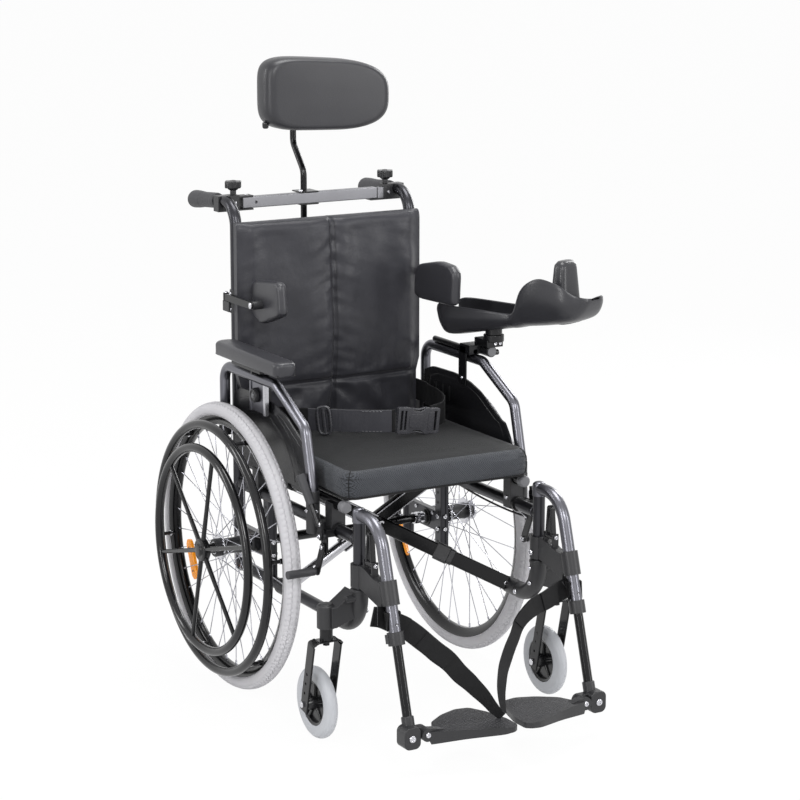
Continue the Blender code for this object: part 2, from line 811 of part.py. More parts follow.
def make_handrims():
    side = -1
    centre = Vector((0, 0, wheel_radius))
    rim_x = wheel_x + handrim_offset
    standoffs = []
    # The standoffs end on the slanted side of the wheel's rim
    standoff_radius = 0.004
    standoff_place = handrim_radius + 0.002
    share = (standoff_place + standoff_radius - (rim_outer_radius - rim_depth)) / rim_depth
    rim_side = wheel_x + rim_half_width * (0.5 + 0.5 * share) + 2 * gap
    for i in range(standoff_count):
        angle = math.tau * (i + standoff_turn) / standoff_count
        ray = Vector((0, math.cos(angle), math.sin(angle))) * standoff_place
        low = Vector((rim_side, 0, 0))
        high = Vector((rim_x - handrim_tube * 0.3, 0, 0))
        standoffs.append(rod(centre + ray + low, centre + ray + high, standoff_radius, 6))
    rim = hoop(handrim_radius, handrim_tube, rim_x)
    piece("right_handrim", "right_wheel", "plastic", rim, [joined(*standoffs)], side=side)
    # The second rim turns the other wheel through a shaft inside the axle
    drive_x = wheel_x + drive_rim_offset
    disc = [(0, -0.008), (drive_disc_radius, -0.008), (drive_disc_radius, 0.008), (0.018, 0.012), (0, 0.012)]
    spokes = []
    for i in range(drive_spoke_count):
        angle = math.tau * (i + drive_spoke_turn) / drive_spoke_count
        ray = Vector((0, math.cos(angle), math.sin(angle)))
        place = centre + Vector((drive_x, 0, 0))
        spokes.append(rod(place + ray * 0.015, place + ray * drive_rim_radius, drive_spoke_radius, 6))
    shaft = rod((drive_tube_end, 0, wheel_radius), (drive_x, 0, wheel_radius), drive_tube_radius)
    bore = rod((drive_tube_end - 0.01, 0, wheel_radius), (drive_x + 0.005, 0, wheel_radius), drive_tube_bore)
    piece(
        "drive_handrim",
        "drive_rim",
        "plastic",
        hoop(drive_rim_radius, handrim_tube, drive_x),
        [joined(*spokes), turned(disc, (drive_x, 0, wheel_radius), "x", 18), shaft],
        [bore],
        side,
    )
    # Shaft of the left wheel: end flange, journal in the axle, universal joint and sliding rod
    outer = wheel_x + hub_half_width + 0.0008
    joint_x = frame_x - 0.0095
    journal_radius = axle_bore * math.cos(math.pi / tube_sides) - gap
    journal_start = (joint_x - 0.002, 0, wheel_radius)
    journal = rod(journal_start, (outer + 0.001, 0, wheel_radius), journal_radius)
    yoke = rod((joint_x - yoke_width, 0, wheel_radius), (joint_x, 0, wheel_radius), yoke_radius, 12)
    slot = box(
        (joint_x - yoke_width + 0.006, joint_x - 0.006),
        (-0.005, 0.005),
        (wheel_radius + 0.009, wheel_radius + 0.03),
    )
    flange = [(0, 0), (0.021, 0), (0.021, 0.006), (0.015, 0.011), (0, 0.011)]
    rod_start = (-drive_rod_reach, 0, wheel_radius)
    slide_rod = rod(rod_start, (joint_x - 0.01, 0, wheel_radius), drive_rod_radius)
    piece(
        "drive_shaft",
        "left_wheel",
        "black_tube",
        yoke,
        [journal, slide_rod, turned(flange, (outer, 0, wheel_radius), "x", 16)],
        [slot],
    )


def brace_bar(start, end):
    return sweep((start, end), rectangle(brace_depth, brace_width), (0, 1, 0))


def sleeve(x, y, z, radius):
    half = sleeve_length / 2
    outer = (radius + gap) / math.cos(math.pi / tube_sides) + sleeve_wall
    return rod((x, y - half, z), (x, y + half, z), outer, 12)


def sleeve_bore(x, y, z, radius):
    half = sleeve_length / 2 + 0.03
    return turning_bore((x, y - half, z), (x, y + half, z), radius)


def make_cross_brace():
    rear_y = brace_y
    front_plane = brace_y - brace_gap_y
    bolt = 0.006
    # Rear bar: from the right frame's lower tube up to the left seat rail
    low, high = Vector((-frame_x, rear_y, lower_z)), Vector((frame_x, rear_y, rail_z))
    along = (high - low).normalized()
    bar = brace_bar(low + along * 0.15, high - along * (rail_radius + 0.003))
    lower_tube = rod(low + along * (tube_radius + 0.002), low + along * 0.17, 0.0115)
    hole = turning_bore((0, rear_y - 0.03, pivot_z), (0, rear_y + 0.03, pivot_z), bolt)
    piece(
        "cross_bar_rear",
        "cross_brace_rear",
        "frame",
        bar,
        [
            lower_tube,
            sleeve(-frame_x, rear_y, lower_z, tube_radius),
            sleeve(frame_x, rear_y, rail_z, rail_radius),
        ],
        [
            hole,
            sleeve_bore(-frame_x, rear_y, lower_z, tube_radius),
            sleeve_bore(frame_x, rear_y, rail_z, rail_radius),
        ],
    )
    # Front bar: its lower leg runs forward to the bend of the left frame
    top = Vector((-frame_x, front_plane, rail_z))
    middle = Vector((0, front_plane, pivot_z))
    foot = Vector((frame_x, front_foot_y, lower_z))
    up = (top - middle).normalized()
    down = (foot - middle).normalized()
    upper_leg = brace_bar(middle - up * 0.012, top - up * (rail_radius + 0.003))
    lower_leg = brace_bar(middle + down * 0.004, foot - down * (tube_radius + 0.003))
    clamp_start = middle + down * 0.135
    clamp_section = rectangle(brace_depth + 0.006, brace_width + 0.008)
    clamp = sweep((clamp_start, clamp_start + down * 0.030), clamp_section, (0, 1, 0))
    pin = rod((0, front_plane, pivot_z), (0, rear_y + 0.0115, pivot_z), bolt, 10)
    bolt_head = rod((0, front_plane - 0.015, pivot_z), (0, front_plane, pivot_z), 0.009, 12)
    piece(
        "cross_bar_front",
        "cross_brace_front",
        "frame",
        lower_leg,
        [
            upper_leg,
            clamp,
            pin,
            bolt_head,
            sleeve(frame_x, front_foot_y, lower_z, tube_radius),
            sleeve(-frame_x, front_plane, rail_z, rail_radius),
        ],
        [
            sleeve_bore(frame_x, front_foot_y, lower_z, tube_radius),
            sleeve_bore(-frame_x, front_plane, rail_z, rail_radius),
        ],
    )


def make_seat_rail(side, body_name):
    cap_radius = rail_radius + 0.0005
    cap = [(0, -0.004), (0.009, -0.004), (cap_radius, 0.0), (cap_radius, 0.012), (0, 0.012)]
    rail = rod((frame_x, rail_front + 0.006, rail_z), (frame_x, rail_rear, rail_z), rail_radius)
    end = turned(cap, (frame_x, rail_front, rail_z), "y", 12)
    piece(side_name[side] + "_seat_rail", body_name, "black_tube", rail, [end], side=side)


def cushion_ring(half_width, front, rear, corner, z, pull):
    """A rounded rectangle whose sides are drawn in between the corners."""
    depth = rear - front
    middle = (front + rear) / 2
    ring = []
    sides = 6
    for a, b in rounded(2 * half_width, depth, corner, 3):
        ring.append((a, b))
    full = []
    for (a, b), (c, d) in zip(ring, ring[1:] + ring[:1]):
        full.append((a, b))
        if math.hypot(c - a, d - b) > 0.1:
            for i in range(1, sides):
                share = i / sides
                bulge = pull * math.sin(math.pi * share)
                x, y = a + (c - a) * share, b + (d - b) * share
                length = math.hypot(c - a, d - b)
                x -= (d - b) / length * bulge
                y += (c - a) / length * bulge
                full.append((x, y))
    return [Vector((x, y + middle, z)) for x, y in full]


def scaled_ring(ring, share, z):
    middle = sum(ring, Vector()) / len(ring)
    moved = [middle + (p - middle) * share for p in ring]
    return [Vector((p.x, p.y, z)) for p in moved]


def make_seat():
    sling_low = rail_z + rail_radius + gap
    sling_high = sling_low + sling_thickness
    sling = box((-frame_x + 0.002, frame_x - 0.002), (rail_front + 0.004, rail_rear), (sling_low, sling_high))
    notches = []
    for x, y in ((frame_x, brace_y), (-frame_x, brace_y - brace_gap_y)):
        half = sleeve_length / 2 + 0.003
        notches.append(box((x - 0.021, x + 0.021), (y - half, y + half), (rail_z, rail_z + 0.03)))
    piece("seat_sling", "seat", "fabric", sling, cut=notches)
    low = sling_high + gap
    top = low + cushion_thickness

    def ring(inset, z, pull=0.004):
        half, front, rear = cushion_half_width - inset, cushion_front + inset, cushion_rear - inset
        return cushion_ring(half, front, rear, 0.03, z, pull)

    rings = [
        ring(0.016, low, 0.0),
        ring(0.004, low + 0.006),
        ring(0.0, low + 0.022),
        ring(0.0, low + 0.038),
        ring(0.005, top - 0.012),
        ring(0.016, top - 0.005),
    ]
    rings.append(scaled_ring(rings[-1], 0.84, top - 0.002))
    rings.append(scaled_ring(rings[-1], 0.55, top))
    piece("seat_cushion", "seat", "cushion", layered(rings))


def make_back():
    """Two upright padded panels that meet in a seam, bulging to the front."""
    columns, rows = 16, 12
    back_rear = post_y - flat_of(tube_radius) - gap
    front, rear = [], []
    for row in range(rows + 1):
        up = row / rows
        z = back_bottom + (back_top - back_bottom) * up
        edge = min(up, 1 - up)
        for column in range(columns + 1):
            share = column / columns * 2 - 1
            panel = abs(share)
            swell = math.sin(math.pi * min(1.0, panel * 1.02)) ** 0.7 if 0 < panel < 1 else 0.0
            swell = max(swell, 0.0) * min(1.0, 0.25 + 5 * edge)
            x = share * (back_half_width - 0.004 * math.sin(math.pi * up))
            depth = back_thickness * (0.55 if panel in (0.0, 1.0) or edge == 0 else 1.0)
            front.append(Vector((x, back_rear - depth - back_swell * swell, z)))
            rear.append(Vector((x, back_rear, z)))
    points = front + rear
    count = columns + 1
    shift = len(front)
    faces = []
    for row in range(rows):
        for column in range(columns):
            a = row * count + column
            b, c, d = a + 1, a + count + 1, a + count
            faces.append((a, b, c, d))
    outline = [i for i in range(count)]
    outline += [r * count + columns for r in range(1, rows + 1)]
    outline += [rows * count + c for c in range(columns - 1, -1, -1)]
    outline += [r * count for r in range(rows - 1, 0, -1)]
    for i, a in enumerate(outline):
        b = outline[(i + 1) % len(outline)]
        faces.append((b, a, a + shift, b + shift))
    faces.append(tuple(reversed([i + shift for i in outline])))
    used = sorted({i for face in faces for i in face})
    renumber = {old: new for new, old in enumerate(used)}
    shape = ([points[i] for i in used], [tuple(renumber[i] for i in face) for face in faces])
    piece("back_upholstery", "right_frame", "fabric", shape)


def make_hanger(side):
    name = side_name[side]
    cap_profile = [
        (0, front_top + gap),
        (0.0145, front_top + gap),
        (0.0145, hanger_top + 0.006),
        (0.010, hanger_top + 0.013),
        (0, hanger_top + 0.014),
    ]
    cap = turned(cap_profile, (frame_x, front_y, 0), "z", 14)
    collar = rod(hanger_end - leg_down * collar_length, hanger_end, collar_radius, 14)
    bore_depth = leg_insert + leg_travel + 0.006
    bore = rod(hanger_end - leg_down * bore_depth, hanger_end + leg_down * 0.01, leg_radius + gap)
    pin_low = (frame_x, front_y, front_top - 0.01)
    pin_hole = turning_bore(pin_low, (frame_x, front_y, front_top + 0.0125), 0.006, 8)
    piece(
        name + "_hanger",
        name + "_hanger",
        "frame",
        tube(hanger_path(), tube_radius),
        [cap, collar],
        [bore, pin_hole],
        side,
    )
    # Latch block: a clasp on the front tube, an arm, and a sleeve on the hanger tube
    low, high = latch_z - latch_height / 2, latch_z + latch_height / 2
    clasp = rod((frame_x, front_y, low), (frame_x, front_y, high), tube_radius + 0.0055, 14)
    sleeve_mid = hanger_end - leg_down * ((latch_z - 0.006 - hanger_end_z) / -leg_down.z)
    sleeve_shape = rod(sleeve_mid - leg_down * 0.024, sleeve_mid + leg_down * 0.024, tube_radius + 0.005, 14)
    arm = [
        (front_y - 0.008, low + 0.002),
        (front_y - 0.050, low - 0.006),
        (front_y - 0.100, low - 0.018),
        (front_y - 0.112, high - 0.012),
        (front_y - 0.075, high - 0.012),
        (front_y - 0.040, high - 0.004),
        (front_y - 0.008, high),
    ]
    ear_low, ear_high = high - 0.014, latch_z + 0.040
    ear_x = (frame_x - 0.007, frame_x + 0.007)
    ears = [box(ear_x, (y, y + 0.0035), (ear_low, ear_high)) for y in (-0.5075, -0.4745)]
    pin = rod((frame_x, -0.506, latch_z + 0.033), (frame_x, -0.472, latch_z + 0.033), 0.003, 8)
    piece(
        name + "_latch_block",
        name + "_hanger",
        "plastic",
        clasp,
        [slab(arm, frame_x - 0.010, frame_x + 0.010, "yz"), sleeve_shape, *ears, pin],
        [
            turning_bore((frame_x, front_y, low - 0.02), (frame_x, front_y, high + 0.04), tube_radius),
            tube(hanger_path(), tube_radius + gap),
        ],
        side,
    )
    # Latch lever: a tall open loop on a pin
    knuckle_z = latch_z + 0.033
    outer = [
        (-0.5032, knuckle_z),
        (-0.4752, knuckle_z),
        (-0.4820, 0.4380),
        (-0.4885, 0.4430),
        (-0.4950, 0.4380),
    ]
    inner = [
        (-0.4960, knuckle_z + 0.010),
        (-0.4820, knuckle_z + 0.010),
        (-0.4870, 0.4330),
        (-0.4905, 0.4330),
    ]
    knuckle = rod((frame_x, -0.5032, knuckle_z), (frame_x, -0.4752, knuckle_z), 0.006)
    piece(
        name + "_latch_lever",
        name + "_latch",
        "plastic",
        slab(outer, frame_x - 0.005, frame_x + 0.005, "yz"),
        [knuckle],
        [
            slab(inner, frame_x - 0.01, frame_x + 0.01, "yz"),
            turning_bore((frame_x, -0.52, knuckle_z), (frame_x, -0.46, knuckle_z), 0.003, 8),
        ],
        side,
    )


def make_footrest(side):
    name = side_name[side]
    foot = hanger_end + leg_down * ((hanger_end_z - foot_hinge_z - 0.004) / -leg_down.z)
    leg = rod(hanger_end - leg_down * leg_insert, foot, leg_radius)
    corners = rounded(0.036, 0.044, 0.011, 3)
    outline = [(frame_x + 0.005 + a, foot_hinge_z - 0.003 + b) for a, b in corners]
    block = slab(outline, foot_block_y - 0.016, foot_block_y + 0.017, "xz")
    ear = slab(
        stadium((foot_hinge_x, foot_hinge_z), (frame_x, foot_hinge_z), 0.0125),
        foot_block_y - 0.001,
        foot_block_y + 0.017,
        "xz",
    )
    pin_front = (foot_hinge_x, foot_block_y - 0.019, foot_hinge_z)
    pin = rod(pin_front, (foot_hinge_x, foot_block_y + 0.010, foot_hinge_z), 0.0045, 8)
    piece(name + "_leg_tube", name + "_leg", "black_tube", leg, [block, ear, pin], side=side)
    # Footplate: narrow at the hinge, broad at its inner end
    top = foot_hinge_z + 0.006
    front, rear = foot_block_y - 0.019, foot_block_y - 0.001 - gap
    outline = [
        (0.184, front),
        (0.110, front - 0.024),
        (0.042, front - 0.054),
        (0.026, front - 0.053),
        (0.017, front - 0.042),
        (0.016, front - 0.006),
        (0.027, front + 0.045),
        (0.043, front + 0.084),
        (0.070, front + 0.0895),
        (0.110, front + 0.075),
        (0.148, front + 0.048),
        (0.160, rear + 0.006),
        (0.1665, rear),
        (0.184, rear),
    ]
    knuckle = rod((foot_hinge_x, front, foot_hinge_z), (foot_hinge_x, rear, foot_hinge_z), 0.0132, 14)
    bore_front = (foot_hinge_x, front - 0.01, foot_hinge_z)
    bore = turning_bore(bore_front, (foot_hinge_x, rear + 0.01, foot_hinge_z), 0.0045, 8)
    # A shallow groove parts the tread from the knuckle
    groove_x = (foot_hinge_x - 0.0133, foot_hinge_x - 0.0115)
    groove = box(groove_x, (front - 0.02, rear + 0.01), (top - 0.0005, top + 0.02))
    # The front edge has a lip that deepens towards the hinge
    bottom = []
    for x, y in outline:
        lip = 0.09 * (x - 0.02) if y < front + 0.001 else 0
        bottom.append((x, y, top - plate_thickness - lip))
    piece(
        name + "_footplate",
        name + "_foot",
        "plastic",
        layered([bottom, [(x, y, top) for x, y in outline]]),
        [knuckle],
        [bore, groove],
        side,
    )
    # Heel strap, from behind the hanger tube down to the plate
    if side > 0:
        path = [
            (0.212, -0.5540, 0.287),
            (0.150, -0.570, 0.266),
            (0.090, -0.586, 0.236),
            (0.050, -0.604, 0.188),
            (0.026, -0.630, 0.140),
            (0.0195, -0.652, 0.1005),
        ]
        across = (-0.6, 0, 0.8)
    else:
        path = [
            (0.212, -0.5540, 0.287),
            (0.165, -0.582, 0.243),
            (0.118, -0.612, 0.196),
            (0.072, -0.640, 0.146),
            (0.030, -0.668, 0.1015),
        ]
        across = (0, 0, 1)
    strap = sweep(path, rectangle(strap_width, strap_thickness), across)
    # A loop of the strap goes round the tube
    middle = hanger_end - leg_down * 0.047
    loop = rod(middle - leg_down * 0.011, middle + leg_down * 0.011, tube_radius + 0.004, 14)
    tie_z = (middle.z - 0.008, middle.z + 0.008)
    tie = box((frame_x - 0.006, frame_x + 0.003), (middle.y + 0.010, -0.5535), tie_z)
    bore = tube(hanger_path(), tube_radius + gap)
    piece(name + "_heel_strap", name + "_leg", "webbing", strap, [loop, tie], [bore], side)


def make_brake(side):
    name = side_name[side]
    inner = brake_plate_x + brake_plate + running_gap
    arm_outer = inner + brake_plate
    low = (brake_bar_y, brake_bar_low)
    arm = slab(stadium((brake_y, brake_bar_z), low, 0.009), inner, arm_outer, "yz")
    bar = rod((arm_outer - 0.001, *low), (wheel_x + 0.036, *low), brake_bar_radius)
    hole_start = (inner - 0.01, brake_y, brake_bar_z)
    hole = turning_bore(hole_start, (arm_outer + 0.01, brake_y, brake_bar_z), 0.004, 8)
    piece(name + "_brake_bar", name + "_brake_bar", "plastic", arm, [bar], [hole], side)
    lever_inner = arm_outer + running_gap
    lever_outer = lever_inner + brake_plate
    root = (brake_y, brake_lever_z)
    shoulder = (brake_y + 0.004, brake_lever_z + 0.024)
    plate = slab(stadium(root, shoulder, 0.0085), lever_inner, lever_outer, "yz")
    handle_low = Vector((lever_inner + 0.004, shoulder[0], shoulder[1] - 0.004))
    # The left brake is worked by a cable from the right lever, and has only a short crank
    handle_high = Vector((wheel_x - 0.008, brake_y + 0.050, 0.526))
    if side > 0:
        handle_high = handle_low.lerp(handle_high, 0.16)
    handle = rod(handle_low, handle_high, 0.0055)
    grip = rod(handle_low.lerp(handle_high, 0.45), handle_high, 0.0075)
    add = [handle, grip] if side < 0 else [handle]
    hole = turning_bore((lever_inner - 0.01, *root), (lever_outer + 0.01, *root), 0.004, 8)
    piece(name + "_brake_lever", name + "_brake_lever", "black_tube", plate, add, [hole], side)


def make_armrest(side):
    name = side_name[side]
    add, cut = [], []
    if side < 0:
        # Welded plate that carries the height knob
        add.append(box((arm_x - 0.004, arm_x + 0.002), (-0.112, -0.050), (0.606, arm_top)))
        cut.append(turning_bore((arm_x - 0.03, knob_y, knob_z), (arm_x + 0.03, knob_y, knob_z), 0.003, 8))
    piece(name + "_armrest_tube", name + "_armrest", "frame", tube(arm_path(), arm_tube), add, cut, side)
    outline = [
        (0.058, 0.478),
        (0.058, 0.622),
        (0.020, 0.640),
        (-0.105, 0.643),
        (-0.168, 0.622),
        (-0.236, 0.585),
        (-0.262, 0.552),
        (-0.279, 0.505),
        (-0.279, 0.478),
    ]
    half = guard_thickness / 2
    holes = []
    if side < 0:
        start = (guard_x - 0.03, knob_y, knob_z)
        holes.append(turning_bore(start, (guard_x + 0.03, knob_y, knob_z), 0.003, 8))
    guard_plate = slab(outline, guard_x - half, guard_x + half, "yz")
    piece(name + "_side_guard", name + "_armrest", "plastic", guard_plate, cut=holes, side=side)


def make_arm_pad():
    side = -1
    top = pad_bottom + pad_height
    half = pad_half_width
    middle_y = (pad_front + pad_rear) / 2
    outline = rounded(2 * half, pad_rear - pad_front, 0.018, 3)
    rings = []
    layers = (
        (0.004, pad_bottom),
        (0.0, pad_bottom + 0.008),
        (0.0, top - 0.010),
        (0.005, top - 0.002),
        (0.010, top),
    )
    for inset, z in layers:
        share = inset / half
        rings.append([(pad_x + a * (1 - share), middle_y + b * (1 - 0.3 * share), z) for a, b in outline])
    piece("right_arm_pad", "arm_pad", "pad", layered(rings), side=side)
    post_x = (0.2225, 0.2285)
    post = box(post_x, (knob_y - 0.020, knob_y + 0.020), (0.598, pad_bottom - gap))
    plate = box((post_x[0], pad_x + 0.020), (-0.150, -0.020), (pad_bottom - 0.007, pad_bottom - gap))
    piece("right_pad_bracket", "arm_pad", "black_tube", post, [plate], side=side)
    knob_inner = arm_x + 0.002 + gap
    head = [(0, 0), (0.012, 0), (0.0125, 0.006), (0.009, 0.011), (0, 0.011)]
    stud = rod((post_x[1] + gap, knob_y, knob_z), (knob_inner + 0.002, knob_y, knob_z), 0.003, 8)
    knob = turned(head, (knob_inner, knob_y, knob_z), "x", 14)
    piece("arm_height_knob", "height_knob", "plastic", knob, [stud], side=side)


def trough_point(u, v, w):
    """A place in the trough: u forward along it, v to its outer side, w above its base."""
    ahead = Vector((math.sin(trough_yaw), -math.cos(trough_yaw), 0))
    outward = Vector((math.cos(trough_yaw), math.sin(trough_yaw), 0))
    start = Vector((*trough_start, trough_base_z))
    return start + ahead * u + outward * v + Vector((0, 0, w))


# Trough stations: distance along, half width, floor height, near rim height, far rim height
trough_stations = (
    (-0.030, 0.038, 0.014, 0.041, 0.041),
    (-0.018, 0.0455, -0.012, 0.0455, 0.0455),
    (0.010, 0.054, -0.020, 0.0455, 0.0455),
    (0.100, 0.054, -0.002, 0.0455, 0.0455),
    (0.165, 0.054, 0.012, 0.0455, 0.0455),
    (0.188, 0.058, 0.016, 0.052, 0.0455),
    (0.210, 0.063, 0.022, 0.100, 0.048),
    (0.240, 0.067, 0.027, 0.124, 0.054),
    (0.270, 0.067, 0.032, 0.131, 0.062),
    (0.310, 0.063, 0.040, 0.126, 0.074),
    (0.336, 0.051, 0.050, 0.110, 0.086),
    (0.354, 0.034, 0.068, 0.100, 0.094),
    (0.361, 0.020, 0.084, 0.097, 0.096),
)


def make_trough():
    rings = []
    for u, half, floor, near, far in trough_stations:
        wall = trough_wall
        outer, inner = [], []
        near_rise, far_rise = near - floor, far - floor
        for v, w in (
            (-half, near),
            (-half * 1.04, floor + near_rise * 0.55),
            (-half * 0.82, floor + near_rise * 0.12),
            (-half * 0.45, floor),
            (half * 0.45, floor),
            (half * 0.82, floor + far_rise * 0.12),
            (half * 1.02, floor + far_rise * 0.55),
            (half, far),
        ):
            outer.append(trough_point(u, v, w))
            shrink = 1 - wall / half
            inner.append(trough_point(u, v * shrink, w if w in (near, far) else w + wall))
        rings.append(outer + inner[::-1])
    base = (*trough_pivot, swivel_z + gap)
    swivel = rod(base, (*trough_pivot, trough_base_z + 0.006), 0.018, 12)
    pivot_bore = turning_bore((*trough_pivot, swivel_z - 0.01), (*trough_pivot, swivel_z + 0.0065), 0.005, 8)
    horn_base = trough_point(0.280, 0.004, 0.036)
    profile = [
        (0, horn_base.z),
        (0.035, horn_base.z),
        (0.031, horn_base.z + 0.075),
        (0.0235, horn_top - 0.012),
        (0.019, horn_top - 0.002),
        (0, horn_top),
    ]
    horn = turned(profile, (horn_base.x, horn_base.y, 0), "z", 14)
    piece("arm_trough", "trough", "pad", layered(rings), [swivel, horn], [pivot_bore])


def make_trough_adapter():
    above = arm_top + flat_of(arm_tube) + gap
    bar_radius = 0.0065
    # The strip beside the guard is thin, because the seat rail rises past it as the chair folds
    outer = guard_x - guard_thickness / 2 - gap
    inner = outer - 0.0037
    post = box((inner, outer), (adapter_y - 0.015, adapter_y + 0.015), (0.620, above + 0.016))
    rail_axis = (arm_x - 0.004, above + flat_of(bar_radius))
    rail = rod((rail_axis[0], 0.030, rail_axis[1]), (rail_axis[0], -0.140, rail_axis[1]), bar_radius)
    cross = box((inner, 0.262), (-0.140, -0.100), (above, above + 0.020))
    cylinder = rod((0.262, -0.158, above + 0.010), (0.262, -0.095, above + 0.010), 0.0105)
    carrier = box((0.250, 0.290), (-0.172, -0.120), (above + 0.018, above + 0.034))
    disc = rod((*trough_pivot, above + 0.030), (*trough_pivot, swivel_z), 0.022, 16)
    pin = rod((*trough_pivot, swivel_z - 0.002), (*trough_pivot, swivel_z + 0.006), 0.005, 8)
    piece("trough_adapter", "trough_mount", "black_tube", post, [rail, cross, cylinder, carrier, disc, pin])


def make_lateral(side):
    name = side_name[side]
    z = lateral_z[side]
    outline = [Vector(p) for p in lateral_outline[side]]
    middle = sum(outline, Vector((0, 0))) / len(outline)
    rings = []
    inner, outer = lateral_pad_x, lateral_pad_x + lateral_thickness
    for share, x in ((0.92, inner), (1.0, inner + 0.006), (1.0, outer - 0.008), (0.94, outer)):
        rings.append([(x, *(middle + (p - middle) * share)) for p in outline])
    arm_x_range = (0.2232, 0.2275)
    hinge_x, hinge_y = lateral_hinge
    low = z - 0.008 + gap
    high = low + 0.016
    arm = slab(stadium((0.014, z), (hinge_y - 0.004, z), 0.0075), *arm_x_range, "yz")
    spacer = rod((outer - 0.003, 0.014, z), (arm_x_range[0] + 0.001, 0.014, z), 0.009)
    button = rod((arm_x_range[0] + 0.001, 0.014, z), (0.2295, 0.014, z), 0.0065)
    knuckle = rod((hinge_x, hinge_y, low), (hinge_x, hinge_y, high), 0.0065, 12)
    bore = turning_bore((hinge_x, hinge_y, low - 0.01), (hinge_x, hinge_y, high + 0.01), 0.003, 8)
    piece(
        name + "_side_support",
        name + "_lateral",
        "pad",
        layered(rings),
        [spacer, arm, button, knuckle],
        [bore],
        side,
    )


def make_head_clamp(side):
    name = side_name[side]
    centre = handle_point(clamp_y)
    half_bar, half_height = head_bar_depth / 2, head_bar_height / 2
    plate_low = head_bar_z - half_height - 0.0035
    plate_high = head_bar_z + half_height + 0.0035
    block_y = (clamp_y - 0.012, clamp_y + 0.012)
    block = box((0.175, 0.2245), block_y, (head_bar_z - 0.0155, head_bar_z + 0.018))
    # A clamp's inner face stays clear of the end of the bar
    lower = box((0.142, 0.180), block_y, (plate_low, head_bar_z - half_height - gap))
    add = [lower]
    if side < 0:
        upper_z = (head_bar_z + half_height + gap, plate_high)
        add.append(box((0.142, 0.180), block_y, upper_z))
        add.append(rod((-head_pin_x, clamp_y, plate_low), (-head_pin_x, clamp_y, plate_high), 0.004, 8))
    else:
        cheek_y = clamp_y - half_bar - gap
        add.append(box((0.142, 0.180), (cheek_y - 0.003, cheek_y), (plate_low, head_bar_z + 0.010)))
    stud_low = (star_x, clamp_y, head_bar_z - 0.008)
    stud_hole = turning_bore(stud_low, (star_x, clamp_y, head_bar_z + 0.03), 0.004, 8)
    cut = [tube(handle_path(), tube_radius + gap), stud_hole]
    piece(name + "_head_clamp", name + "_frame", "plastic", block, add, cut, side)
    # Star knob, with its stud down into the clamp
    foot = head_bar_z + 0.018 + gap
    lobes = []
    for i in range(24):
        angle = math.tau * i / 24
        radius = star_radius * (0.90 + 0.10 * math.cos(6 * angle))
        lobes.append((star_x + radius * math.cos(angle), clamp_y + radius * math.sin(angle)))
    head = slab(lobes, foot + 0.014, foot + 0.029, "xy")
    neck = rod((star_x, clamp_y, foot), (star_x, clamp_y, foot + 0.015), 0.0065)
    stud = rod((star_x, clamp_y, head_bar_z - 0.006), (star_x, clamp_y, foot + 0.002), 0.004, 8)
    piece(name + "_star_knob", name + "_star_knob", "plastic", head, [neck, stud], side=side)


head_post_y = clamp_y + head_bar_depth / 2 + head_post_radius + gap
head_tilt_y = head_pad_y + head_pad_half_depth + 0.018
head_post_top_y = 0.215


def head_post_path():
    points = (
        (head_post_x, head_post_y, head_bar_z - 0.106),
        (head_post_x, head_post_y, head_bar_z + 0.056),
        (head_post_x, head_post_top_y, head_bar_z + 0.112),
        (head_post_x, head_post_top_y, head_pad_z),
    )
    return bent(points, 0.03, 3)


